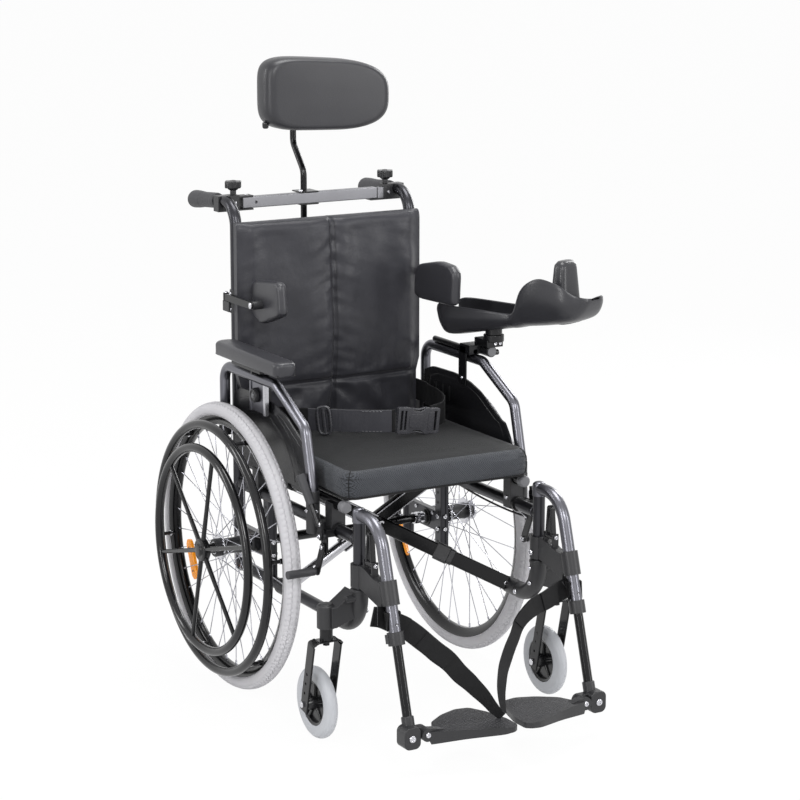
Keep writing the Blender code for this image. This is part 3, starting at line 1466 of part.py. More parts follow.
def make_head_support():
    half_bar, half_height = head_bar_depth / 2, head_bar_height / 2
    bar_z = (head_bar_z - half_height, head_bar_z + half_height)
    bar = box((head_bar_right, head_bar_left), (clamp_y - half_bar, clamp_y + half_bar), bar_z)
    plates = []
    plate_y = (clamp_y - half_bar - 0.006, head_post_y + 0.013)
    for low in (head_bar_z - half_height - 0.003, head_bar_z + half_height - 0.0005):
        plates.append(box((-0.037, 0.023), plate_y, (low, low + 0.0035)))
    low, high = head_bar_z - half_height - 0.05, head_bar_z + half_height + 0.05
    pin_hole = turning_bore((head_pin_x, clamp_y, low), (head_pin_x, clamp_y, high), 0.004, 8)
    hole_low, hole_high = (head_post_x, head_post_y, low), (head_post_x, head_post_y, high)
    post_hole = rod(hole_low, hole_high, head_post_radius + gap)
    piece("head_support_bar", "head_bar", "steel", bar, plates, [pin_hole, post_hole])
    # Post with its double bend, and a short link forward to the pad's pivot
    tilt = Vector((head_post_x, head_tilt_y, head_pad_z))
    link = rod((head_post_x, head_post_top_y, head_pad_z), tilt, 0.007)
    pivot = rod(tilt - Vector((0.016, 0, 0)), tilt + Vector((0.016, 0, 0)), 0.008)
    pin = rod(tilt - Vector((0.0225, 0, 0)), tilt + Vector((0.0225, 0, 0)), 0.004, 8)
    post = tube(head_post_path(), head_post_radius)
    piece("head_post", "head_post", "black_tube", post, [link, pivot, pin])
    # Pad: a broad rounded shape, taller at the right than at the left
    rings = []
    back = head_pad_y + head_pad_half_depth
    layers = (
        (0.80, 1.0),
        (0.95, 0.86),
        (1.0, 0.5),
        (1.0, -0.1),
        (0.96, -0.72),
        (0.86, -0.94),
        (0.6, -1.0),
    )
    for share, depth in layers:
        ring = []
        for i in range(28):
            angle = math.tau * i / 28
            c, s = math.cos(angle), math.sin(angle)
            power = 0.5 if c < 0 else 0.72
            a = math.copysign(abs(c) ** power, c) * head_pad_half_width
            b = math.copysign(abs(s) ** 0.62, s) * head_pad_half_height
            b *= 1.0 - 0.06 * (a / head_pad_half_width)
            y = head_pad_y + head_pad_half_depth * depth
            ring.append((head_post_x + 0.019 + a * share, y, head_pad_z + b * share))
        rings.append(ring)
    yokes = []
    for x in (-0.0225, 0.0165):
        plate = stadium((head_tilt_y, head_pad_z), (back, head_pad_z), 0.010)
        yokes.append(slab(plate, head_post_x + x, head_post_x + x + 0.006, "yz"))
    hole = turning_bore(tilt - Vector((0.04, 0, 0)), tilt + Vector((0.04, 0, 0)), 0.004, 8)
    piece("head_pad", "head_pad", "pad", layered(rings), yokes, [hole])


def strip(path, low, width, thickness):
    middle = low + width / 2
    return sweep([(x, y, middle) for x, y in path], rectangle(width, thickness), (0, 0, 1))


def make_belt():
    webbing_low = belt_bottom + 0.006
    # Each half starts on the front of a back tube, outside the upholstery
    tube_front = post_y - flat_of(tube_radius) + 0.001
    right = [
        (-0.216, tube_front - gap),
        (-0.215, 0.030),
        (-0.195, -0.010),
        (-0.160, -0.055),
        (-0.097, -0.105),
        (-0.040, -0.150),
        (0.0196, -0.1839),
    ]
    glide = strip([(-0.113, -0.093), (-0.083, -0.118)], belt_bottom, belt_width + 0.012, 0.009)
    right_strip = strip(right, webbing_low, belt_width, belt_thickness)
    piece("lap_belt_right", "right_frame", "webbing", right_strip, [glide])
    left = [
        (0.100, -0.190),
        (0.150, -0.160),
        (0.190, -0.090),
        (0.206, -0.010),
        (0.215, 0.035),
        (0.216, tube_front - gap),
    ]
    buckle_path = [(0.0205, -0.1840), (0.062, -0.190), (0.112, -0.188)]
    buckle = strip(buckle_path, belt_bottom, belt_width + 0.012, 0.014)
    left_strip = strip(left, webbing_low, belt_width, belt_thickness)
    piece("lap_belt_left", "left_frame", "webbing", left_strip, [buckle])


def main():
    clear_scene()
    make_looks()
    make_bodies()
    for side in (-1, 1):
        make_side_frame(side)
        make_push_grip(side)
        make_caster(side)
        make_rear_wheel(side)
        make_hanger(side)
        make_footrest(side)
        make_brake(side)
        make_armrest(side)
        make_lateral(side)
        make_head_clamp(side)
    make_handrims()
    make_cross_brace()
    make_seat_rail(-1, "seat")
    make_seat_rail(1, "left_rail")
    make_seat()
    make_back()
    make_arm_pad()
    make_trough()
    make_trough_adapter()
    make_head_support()
    make_belt()
    bpy.context.view_layer.update()


main()
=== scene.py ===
# A folding wheelchair with wire wheels, a second handrim on its right side, a forearm trough on its left,
# side supports and a head support. Sizes are metres in the chair's own frame: x = 0 in the middle plane,
# y = 0 at the rear axle, -y forward, z = 0 on the floor. The user's left is +x.
import math
import bmesh
import bpy
from mathutils import Matrix, Vector, noise


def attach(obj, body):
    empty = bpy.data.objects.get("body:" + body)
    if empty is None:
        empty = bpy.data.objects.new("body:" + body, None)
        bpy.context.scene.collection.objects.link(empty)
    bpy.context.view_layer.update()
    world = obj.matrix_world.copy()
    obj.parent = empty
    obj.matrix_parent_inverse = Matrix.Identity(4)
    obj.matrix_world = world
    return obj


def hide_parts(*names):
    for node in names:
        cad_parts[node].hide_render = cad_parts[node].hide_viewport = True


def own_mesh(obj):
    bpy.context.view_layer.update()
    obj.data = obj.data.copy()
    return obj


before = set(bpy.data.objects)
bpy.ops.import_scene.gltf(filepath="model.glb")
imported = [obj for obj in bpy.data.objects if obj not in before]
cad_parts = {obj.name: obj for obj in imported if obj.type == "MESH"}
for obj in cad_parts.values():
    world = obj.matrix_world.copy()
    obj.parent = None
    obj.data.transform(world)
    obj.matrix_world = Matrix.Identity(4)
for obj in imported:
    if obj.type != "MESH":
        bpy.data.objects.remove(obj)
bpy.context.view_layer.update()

# Main sizes, the same as the solids'
chair = {"centreX": 0.03375, "centreY": -0.2075, "gap": 0.0003, "wheelRadius": 0.305, "wheelX": 0.276,
         "frameX": 0.209, "tubeRadius": 0.0125, "frontY": -0.444, "frontTop": 0.452, "lowerZ": 0.235,
         "frontBend": 0.065, "upperZ": 0.416, "middleY": -0.057, "postY": 0.088, "braceY": -0.128,
         "railZ": 0.469, "railRadius": 0.0115, "railFront": -0.389, "railRear": 0.034, "tubeSides": 28,
         "wheelSides": 144, "bendSteps": 14}
gap, wheelX, wheelZ = chair["gap"], chair["wheelX"], chair["wheelRadius"]
frameX, frontY, postY, middleY = chair["frameX"], chair["frontY"], chair["postY"], chair["middleY"]
lowerZ, upperZ, railZ, tubeRadius = chair["lowerZ"], chair["upperZ"], chair["railZ"], chair["tubeRadius"]
sideName = {-1: "right", 1: "left"}
noise.seed_set(7)  # the straps crease the same way at every run


# Shapes are pairs of points and faces
def spread(count, turn=0.0):
    # evenly spaced angles round a full turn
    return [math.tau * (i + turn) / count for i in range(count)]


def ray(angle):
    # a direction in the wheels' plane
    return Vector((0, math.cos(angle), math.sin(angle)))


def circle(radius, sides=chair["tubeSides"]):
    return [(radius * math.cos(angle), radius * math.sin(angle)) for angle in spread(sides)]


def rounded(width, height, radius, steps=5):
    points = []
    for corner, (sx, sy) in enumerate(((1, -1), (1, 1), (-1, 1), (-1, -1))):
        for i in range(steps + 1):
            angle = math.pi / 2 * (corner - 1 + i / steps)
            points.append((sx * (width / 2 - radius) + radius * math.cos(angle),
                           sy * (height / 2 - radius) + radius * math.sin(angle)))
    return points


def power(value, share):
    # a power that keeps the sign
    return math.copysign(abs(value) ** share, value)


def bent(points, radius, steps=chair["bendSteps"]):
    # each inner corner becomes an arc
    points = [Vector(p) for p in points]
    path = [points[0]]
    for before, corner, after in zip(points, points[1:], points[2:]):
        back = (before - corner).normalized()
        ahead = (after - corner).normalized()
        half = back.angle(ahead) / 2
        reach = min(radius / math.tan(half), 0.95 * (after - corner).length)
        turn = reach * math.tan(half)
        middle = corner + (back + ahead).normalized() * turn / math.sin(half)
        start, end = corner + back * reach - middle, corner + ahead * reach - middle
        path += [middle + start.slerp(end, i / steps).normalized() * turn for i in range(steps + 1)]
    return path + [points[-1]]


def smoothPath(points, perSpan=8):
    # a Catmull-Rom curve through given points
    points = [Vector(p) for p in points]
    ends = [points[0] * 2 - points[1]] + points + [points[-1] * 2 - points[-2]]
    path = []
    for a, b, c, d in zip(ends, ends[1:], ends[2:], ends[3:]):
        for i in range(perSpan):
            t = i / perSpan
            path.append(0.5 * (2 * b + (c - a) * t + (2 * a - 5 * b + 4 * c - d) * t * t
                               + (3 * b - a - 3 * c + d) * t ** 3))
    return path + [points[-1]]


def smoothOutline(points, share=0.18):
    # rounds an outline's corners by cutting them twice
    for _ in range(2):
        cut = []
        for (ax, ay), (bx, by) in zip(points, points[1:] + points[:1]):
            cut.append((ax + (bx - ax) * share, ay + (by - ay) * share))
            cut.append((bx + (ax - bx) * share, by + (ay - by) * share))
        points = cut
    return points


def layered(rings, closed=False):
    # a body through rings of equal length, capped at both ends or joined into a loop
    count, total = len(rings[0]), len(rings)
    faces = [] if closed else [tuple(reversed(range(count)))]
    for level in range(total if closed else total - 1):
        low, high = level * count, (level + 1) % total * count
        for i in range(count):
            j = (i + 1) % count
            faces.append((low + i, low + j, high + j, high + i))
    if not closed:
        faces.append(tuple(range((total - 1) * count, total * count)))
    return [Vector(p) for ring in rings for p in ring], faces


def sweep(path, section, side=(1, 0, 0), sizes=None):
    # carries a section along a path; sizes, if given, scales the section at each place
    path, side, rings = [Vector(p) for p in path], Vector(side), []
    for i, place in enumerate(path):
        ahead = (path[min(i + 1, len(path) - 1)] - place).normalized()
        behind = (place - path[max(i - 1, 0)]).normalized()
        tangent = (ahead + behind).normalized()
        across = (side - tangent * side.dot(tangent)).normalized()
        other = tangent.cross(across)
        size = sizes[i] if sizes else 1.0
        rings.append([place + (across * a + other * b) * size for a, b in section])
    return layered(rings)


def tube(path, radius, side=(1, 0, 0), sides=chair["tubeSides"]):
    return sweep(path, circle(radius, sides), side)


def rod(start, end, radius, sides=chair["tubeSides"]):
    direction = (Vector(end) - Vector(start)).normalized()
    return tube((start, end), radius, (0, 0, 1) if abs(direction.x) > 0.9 else (1, 0, 0), sides)


def reached(start, dx=0.0, dy=0.0, dz=0.0, radius=0.01, sides=chair["tubeSides"]):
    # a rod from a place by a step
    return rod(start, Vector(start) + Vector((dx, dy, dz)), radius, sides)


def turned(profile, centre, axis="x", sides=48):
    # the profile's (radius, height) points go round the axis through centre
    first, second, along = (Vector([float(c == a) for c in "xyz"])
                            for a in {"x": "yzx", "y": "zxy", "z": "xyz"}[axis])
    centre, points, faces, rings = Vector(centre), [], [], []
    for radius, height in profile:
        if radius == 0:
            rings.append([len(points)] * sides)
            points.append(centre + along * height)
            continue
        rings.append(list(range(len(points), len(points) + sides)))
        for a, b in circle(radius, sides):
            points.append(centre + first * a + second * b + along * height)
    pairs = list(zip(rings, rings[1:]))
    if all(radius > 0 for radius, _ in profile):
        pairs.append((rings[-1], rings[0]))
    for low, high in pairs:
        for i in range(sides):
            j = (i + 1) % sides
            corners = list(dict.fromkeys((low[i], low[j], high[j], high[i])))
            if len(corners) > 2:
                faces.append(tuple(corners))
    return points, faces


def slab(outline, low, high, plane="yz"):
    # an outline drawn in a plane, as a plate between two heights along the third axis
    order = {"yz": (2, 0, 1), "xz": (0, 2, 1), "xy": (0, 1, 2)}[plane]
    return layered([[[(a, b, height)[i] for i in order] for a, b in outline] for height in (low, high)])


def box(x, y, z):
    return slab([(x[0], y[0]), (x[1], y[0]), (x[1], y[1]), (x[0], y[1])], z[0], z[1], "xy")


def stadium(start, end, radius, steps=10):
    heading = math.atan2(end[1] - start[1], end[0] - start[0])
    points = []
    for (a, b), base in ((end, heading - math.pi / 2), (start, heading + math.pi / 2)):
        for i in range(steps + 1):
            angle = base + math.pi * i / steps
            points.append((a + radius * math.cos(angle), b + radius * math.sin(angle)))
    return points


def cordLoop(ring, radius, sides, normal):
    # a round cord along a closed path that lies in one plane
    rings, normal = [], Vector(normal)
    for before, place, after in zip(ring[-1:] + ring[:-1], ring, ring[1:] + ring[:1]):
        out = (after - before).normalized().cross(normal)
        rings.append([place + out * a + normal * b for a, b in circle(radius, sides)])
    return layered(rings, closed=True)


def quilt(columns, rows, face, rear):
    # two grids of points joined round their rims; face and rear give the place at a column and a row
    points = [Vector(place(i, j)) for place in (face, rear) for j in range(rows + 1)
              for i in range(columns + 1)]
    wide, layer, faces = columns + 1, (rows + 1) * (columns + 1), []
    for j in range(rows):
        for a in range(j * wide, j * wide + columns):
            faces.append((a, a + 1, a + wide + 1, a + wide))
            faces.append((a + layer, a + layer + wide, a + layer + wide + 1, a + layer + 1))
    rim = list(range(wide)) + [j * wide + columns for j in range(1, rows + 1)]
    rim += [rows * wide + i for i in range(columns - 1, -1, -1)] + [j * wide for j in range(rows - 1, 0, -1)]
    return points, faces + [(b, a, a + layer, b + layer) for a, b in zip(rim, rim[1:] + rim[:1])]


def dome(centre, radius, height, axis, sides=20):
    # a low dome on both sides, for rivets and stitches
    profile = [(radius * math.sin(math.pi * i / 10), height * math.cos(math.pi * i / 10)) for i in range(6)]
    return turned(profile + [(r, -h) for r, h in reversed(profile[:-1])], centre, axis, sides)


def boltHead(centre, radius, height, facing):
    # a pan head with a socket; facing is its axis, with a minus sign when it looks the other way
    h = -height if facing[0] == "-" else height
    profile = [(0, 0), (radius, 0), (radius, h * 0.55), (radius * 0.82, h), (radius * 0.46, h),
               (radius * 0.42, h * 0.35), (0, h * 0.35)]
    return turned(profile, centre, facing[-1], 18)


def bolts(*rows):
    return [boltHead(*row) for row in rows]


# Pieces
def makeMesh(name, shapes, side=1):
    points, faces = [], []
    for morePoints, moreFaces in shapes:
        faces += [tuple(i + len(points) for i in face) for face in moreFaces]
        points += [(p[0] * side - chair["centreX"], p[1] - chair["centreY"], p[2]) for p in morePoints]
    mesh = bpy.data.meshes.new(name)
    mesh.from_pydata(points, [], faces)
    mesh.validate()
    bm = bmesh.new()
    bm.from_mesh(mesh)
    bmesh.ops.recalc_face_normals(bm, faces=bm.faces)
    bm.to_mesh(mesh)
    bm.free()
    obj = bpy.data.objects.new(name, mesh)
    bpy.context.scene.collection.objects.link(obj)
    return obj


def modify(obj, kind, **settings):
    # adds a modifier and applies it
    modifier = obj.modifiers.new(kind, kind)
    for key, value in settings.items():
        setattr(modifier, key, value)
    mesh = bpy.data.meshes.new_from_object(obj.evaluated_get(bpy.context.evaluated_depsgraph_get()))
    obj.modifiers.clear()
    old, obj.data = obj.data, mesh
    bpy.data.meshes.remove(old)


def makePiece(name, look, body, shapes, side=1, cut=(), edge=0.0, steps=2, angle=38, stands=None):
    # a name with a capital, and a body or node with an underscore first, take the side's name before them
    own = sideName[side]
    name = own + name if name[0].isupper() else name
    obj = makeMesh(name, shapes, side)
    for shape in cut:
        cutter = makeMesh(name + "Cutter", [shape], side)
        modify(obj, "BOOLEAN", operation="DIFFERENCE", object=cutter, use_self=len(shapes) > 1)
        bpy.data.objects.remove(cutter, do_unlink=True)
    if edge:
        modify(obj, "BEVEL", width=edge, segments=steps, limit_method="ANGLE", use_clamp_overlap=True,
               angle_limit=math.radians(angle))
    obj.data.materials.clear()
    obj.data.materials.append(looks[look])
    obj.data.shade_smooth()
    obj.data.set_sharp_from_angle(angle=math.radians(angle))
    if angle < 60:
        # large flat faces stay flat-looking beside their rounded edges
        modify(obj, "WEIGHTED_NORMAL", keep_sharp=True, weight=80)
    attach(obj, own + body if body[0] == "_" else body)
    if stands:
        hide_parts(own + stands if stands[0] == "_" else stands)
    return obj


# Materials
def linear(hexColour):
    channels = [int(hexColour[i : i + 2], 16) / 255 for i in (0, 2, 4)]
    return (*[c / 12.92 if c < 0.04045 else ((c + 0.055) / 1.055) ** 2.4 for c in channels], 1)


def perMetre(millimetres):
    # texture scale for a feature of this real size
    return 1000 / millimetres


def setInputs(tree, node, inputs):
    for key, value in inputs.items():
        if isinstance(value, bpy.types.NodeSocket):
            tree.links.new(value, node.inputs[key])
        else:
            node.inputs[key].default_value = value


def addNode(tree, kind, settings, inputs):
    node = tree.nodes.new("ShaderNode" + kind)
    for key, value in settings.items():
        setattr(node, key, value)
    setInputs(tree, node, inputs)
    return node


def startMaterial(name, settings):
    # a Principled shader whose fixed values sit on its own sockets
    material = bpy.data.materials.new(name)
    material.use_nodes = True
    tree = material.node_tree
    shader = tree.nodes["Principled BSDF"]
    setInputs(tree, shader, settings)
    return material, tree, shader, addNode(tree, "TexCoord", {}, {}).outputs["Object"]


# Metals: light and dark tone, metallic share, the two ends of the roughness, clear coat
metalTable = {
    "gunmetalTube": ("74747a", "64646a", 1.0, 0.27, 0.34, 0.0),  # drawn aluminium, dark anodised, satin
    "frameCoat": ("38383c", "2e2e32", 0.85, 0.26, 0.34, 0.2),  # graphite powder coat, slight orange peel
    "blackTube": ("121214", "0e0e10", 0.6, 0.15, 0.21, 0.15),  # black anodised tube, glossy
    "blackPlate": ("141416", "101012", 0.4, 0.26, 0.36, 0.1),  # black painted steel plate
    "polishedMetalAndEdgeHighlight": ("c9c9cd", "b9b9be", 1.0, 0.16, 0.26, 0.0),  # milled aluminium: real on the brace rings and pad hardware, painted highlight on the brace bars' edge strips
    "zincTube": ("c6c6ca", "adadb2", 1.0, 0.20, 0.32, 0.0),  # bright aluminium tube
    "chrome": ("d6d6da", "c4c4c9", 1.0, 0.08, 0.18, 0.0),  # plated screws and flanges
    "satinBar": ("8c8c90", "828286", 0.75, 0.40, 0.50, 0.0),  # satin anodised bar of the head support
    "spokeSteel": ("c9c9d0", "b5b5bd", 1.0, 0.18, 0.28, 0.0),  # stainless spokes
}
metalGrain = {"patch": (45.0, 5.0), "streak": (22.0, 4.0), "peel": (1.6, 1.0), "peelDepth": 0.00006}


def makeMetal(name, light, dark, metallic, smooth, rough, coat):
    fixed = {"Metallic": metallic, "Coat Weight": coat, "Coat Roughness": 0.15}
    material, tree, shader, place = startMaterial(name, fixed)
    patch, streak, peel = ({"Vector": place, "Scale": perMetre(size), "Detail": detail}
                           for size, detail in (metalGrain[key] for key in ("patch", "streak", "peel")))
    patches = addNode(tree, "TexNoise", {}, patch).outputs["Fac"]
    tone = addNode(tree, "Mix", {"data_type": "RGBA"}, {0: patches, 6: linear(light), 7: linear(dark)})
    streaks = addNode(tree, "TexNoise", {}, streak).outputs["Fac"]
    gloss = addNode(tree, "MapRange", {}, {"Value": streaks, "To Min": smooth, "To Max": rough})
    setInputs(tree, shader, {"Base Color": tone.outputs[2], "Roughness": gloss.outputs["Result"]})
    if coat:
        height = addNode(tree, "TexNoise", {}, peel).outputs["Fac"]
        bump = addNode(tree, "Bump", {},
                       {"Height": height, "Distance": metalGrain["peelDepth"], "Strength": 1.0})
        setInputs(tree, shader, {"Normal": bump.outputs["Normal"]})
    return material


# Plastics and rubbers: light and dark tone, the two ends of the roughness, the grain's size and its depth
plasticTable = {
    "mouldedPlastic": ("29292b", "202022", 0.34, 0.46, 0.9, 0.00010),  # glass-filled nylon, eroded grain
    "smoothPlastic": ("1b1b1d", "151517", 0.20, 0.29, 3.0, 0.00003),  # satin polypropylene
    "handrimCoat": ("131315", "0f0f11", 0.14, 0.20, 4.0, 0.00002),  # plastic-coated hoop
    "gripRubber": ("363639", "2c2c2f", 0.46, 0.60, 1.2, 0.00014),  # soft PVC grip
    "padSkin": ("333337", "2a2a2e", 0.28, 0.40, 1.9, 0.00020),  # polyurethane foam, leather grain
    "shadedPadSkin": ("2b2b2f", "252528", 0.30, 0.42, 1.9, 0.00024),  # the same foam as padSkin, duller, and drawn darker as painted shade
    "troughSkin": ("2f2f33", "28282b", 0.27, 0.36, 2.0, 0.00005),  # the same foam, glossier
    "tyreRubber": ("bfbec1", "b3b2b6", 0.58, 0.72, 1.2, 0.00012),  # non-marking grey rubber
    "casterRubber": ("afb1b5", "a5a7ac", 0.34, 0.46, 2.0, 0.00005),  # solid polyurethane, pale grey
    "paintedHoleShade": ("121214", "0e0e10", 0.6, 0.7, 2.0, 0.00002),  # painted shade: near-black for the shade inside drilled holes and slots
    "buckleResin": ("3d3d41", "343438", 0.22, 0.32, 3.0, 0.00003),  # acetal, glossier than the webbing
    "greyCap": ("6b6b6e", "5f5f62", 0.40, 0.50, 1.0, 0.00008),  # grey nylon end caps
}


def makePlastic(name, light, dark, smooth, rough, grain, depth):
    material, tree, shader, place = startMaterial(name, {"IOR": 1.5, "Specular IOR Level": 0.42})
    drift, fine = (addNode(tree, "TexNoise", {}, {"Vector": place, "Scale": perMetre(size), "Detail": detail})
                   for size, detail in ((60.0, 4.0), (grain, 2.0)))
    tone = addNode(tree, "Mix", {"data_type": "RGBA"},
                   {0: drift.outputs["Fac"], 6: linear(light), 7: linear(dark)})
    gloss = addNode(tree, "MapRange", {}, {"Value": fine.outputs["Fac"], "To Min": smooth, "To Max": rough})
    bump = addNode(tree, "Bump", {}, {"Height": fine.outputs["Fac"], "Distance": depth, "Strength": 1.0})
    setInputs(tree, shader, {"Base Color": tone.outputs[2], "Roughness": gloss.outputs["Result"],
                             "Normal": bump.outputs["Normal"]})
    return material


# Woven goods: the same, with the thread's spacing drawn as coarse as it needs to show, and the sheen last
clothTable = {
    "backNylon": ("35353a", "2c2c30", 0.29, 0.39, 1.6, 0.00010, 0.10),  # coated oxford nylon, shiny when new
    "cushionTop": ("131416", "0e0f10", 0.60, 0.72, 1.6, 0.00018, 0.05),  # stretch knit
    "webbing": ("0d0d0f", "09090b", 0.50, 0.66, 2.2, 0.00030, 0.03),
    "webbingWithPaintedSheen": ("3e3e43", "333338", 0.26, 0.36, 2.2, 0.00018, 0.1),  # a smoother weave, drawn lighter grey as painted sheen
    "slingCloth": ("2b2b2d", "212123", 0.6, 0.74, 2.0, 0.00022, 0.15),  # polyester sling
}


def makeCloth(name, light, dark, smooth, rough, thread, depth, sheen):
    fixed = {"Sheen Weight": sheen, "Sheen Roughness": 0.4, "IOR": 1.45, "Specular IOR Level": 0.3}
    material, tree, shader, place = startMaterial(name, fixed)
    drift, crumple = (addNode(tree, "TexNoise", {}, {"Vector": place, "Scale": perMetre(size),
                                                     "Detail": detail})
                      for size, detail in ((35.0, 5.0), (14.0, 4.0)))
    tone = addNode(tree, "Mix", {"data_type": "RGBA"},
                   {0: drift.outputs["Fac"], 6: linear(light), 7: linear(dark)})
    warp, weft = (addNode(tree, "TexWave", {"bands_direction": direction},
                          {"Vector": place, "Scale": perMetre(thread) / math.tau * 2, "Distortion": 0.4})
                  for direction in ("X", "Z"))
    weave = addNode(tree, "Math", {"operation": "MULTIPLY"},
                    {0: warp.outputs["Fac"], 1: weft.outputs["Fac"]}).outputs[0]
    gloss = addNode(tree, "MapRange", {}, {"Value": weave, "To Min": smooth, "To Max": rough})
    under = addNode(tree, "Bump", {},
                    {"Height": crumple.outputs["Fac"], "Distance": 0.0010, "Strength": 0.5}).outputs["Normal"]
    bump = addNode(tree, "Bump", {}, {"Height": weave, "Distance": depth, "Strength": 1.0, "Normal": under})
    setInputs(tree, shader, {"Base Color": tone.outputs[2], "Roughness": gloss.outputs["Result"],
                             "Normal": bump.outputs["Normal"]})
    return material


def makeSpacerMesh():
    # warp-knitted spacer fabric: a diagonal net of small pits, near-black as painted shade in the openings
    fixed = {"Sheen Weight": 0.18, "Sheen Roughness": 0.35, "IOR": 1.45, "Specular IOR Level": 0.3}
    material, tree, shader, place = startMaterial("cushionMesh", fixed)
    pitch, bands = 4.8, []
    for lean in (1, -1):
        # bands that rise one way and the other on the front and on the sides
        leaning = addNode(tree, "Mapping", {}, {"Vector": place, "Scale": (1, 1, lean)}).outputs[0]
        bands.append(addNode(tree, "TexWave", {"bands_direction": "DIAGONAL"},
                             {"Vector": leaning, "Scale": perMetre(pitch) * math.tau / 10}).outputs["Fac"])
    net = addNode(tree, "Math", {"operation": "MAXIMUM"}, {0: bands[0], 1: bands[1]}).outputs[0]
    pitDepthAndShade = addNode(tree, "MapRange", {}, {"Value": net, "From Min": 0.20, "From Max": 0.72}).outputs["Result"]
    drift = addNode(tree, "TexNoise", {},
                    {"Vector": place, "Scale": perMetre(30.0), "Detail": 4.0}).outputs["Fac"]
    thread = addNode(tree, "Mix", {"data_type": "RGBA"}, {0: drift, 6: linear("45484d"), 7: linear("3a3c41")})
    # the pits' near-black is painted shade inside the mesh's openings
    tone = addNode(tree, "Mix", {"data_type": "RGBA"}, {0: pitDepthAndShade, 6: linear("070708"), 7: thread.outputs[2]})
    gloss = addNode(tree, "MapRange", {}, {"Value": drift, "To Min": 0.62, "To Max": 0.78})
    bump = addNode(tree, "Bump", {}, {"Height": pitDepthAndShade, "Distance": 0.0007, "Strength": 1.0})
    setInputs(tree, shader, {"Base Color": tone.outputs[2], "Roughness": gloss.outputs["Result"],
                             "Normal": bump.outputs["Normal"]})
    return material


def makeReflector():
    # acrylic reflector: orange, glossy, with small prisms
    fixed = {"IOR": 1.49, "Coat Weight": 0.3, "Coat Roughness": 0.05}
    material, tree, shader, place = startMaterial("orangeReflector", fixed)
    prisms = addNode(tree, "TexVoronoi", {},
                     {"Vector": place, "Scale": perMetre(2.4), "Randomness": 0.0}).outputs["Distance"]
    tone = addNode(tree, "Mix", {"data_type": "RGBA"}, {0: prisms, 6: linear("ffa620"), 7: linear("f98e06")})
    gloss = addNode(tree, "MapRange", {}, {"Value": prisms, "To Min": 0.12, "To Max": 0.3})
    bump = addNode(tree, "Bump", {}, {"Height": prisms, "Distance": 0.0005, "Strength": 1.0})
    setInputs(tree, shader, {"Base Color": tone.outputs[2], "Roughness": gloss.outputs["Result"],
                             "Normal": bump.outputs["Normal"]})
    return material


looks = {name: makeMetal(name, *row) for name, row in metalTable.items()}
looks.update({name: makePlastic(name, *row) for name, row in plasticTable.items()})
looks.update({name: makeCloth(name, *row) for name, row in clothTable.items()})
looks["cushionMesh"] = makeSpacerMesh()
looks["orangeReflector"] = makeReflector()
print("materials ready:", len(looks))


def mirrored(profile):
    # a profile and its mirror image in the second value
    return profile + [(a, -b) for a, b in reversed(profile)]


# Side frames
frameSizes = {"handleZ": 1.018, "handleBend": 0.05, "handleEndY": 0.284, "handleDrop": 0.017,
              "postHalf": 0.010, "postDepth": 0.012, "groove": 0.0014, "firstHole": 0.262,
              "holePitch": 0.022, "holes": 7, "saddleY": (-0.345, -0.02), "saddleHalf": 0.0155,
              "socketX": 0.245}


def handlePoint(y):
    share = (y - postY) / (frameSizes["handleEndY"] - postY)
    return Vector((frameX, y, frameSizes["handleZ"] - frameSizes["handleDrop"] * share))


def handlePath():
    top, end = frameSizes["handleZ"], handlePoint(frameSizes["handleEndY"])
    return bent(((frameX, postY, lowerZ), (frameX, postY, top), end), frameSizes["handleBend"])


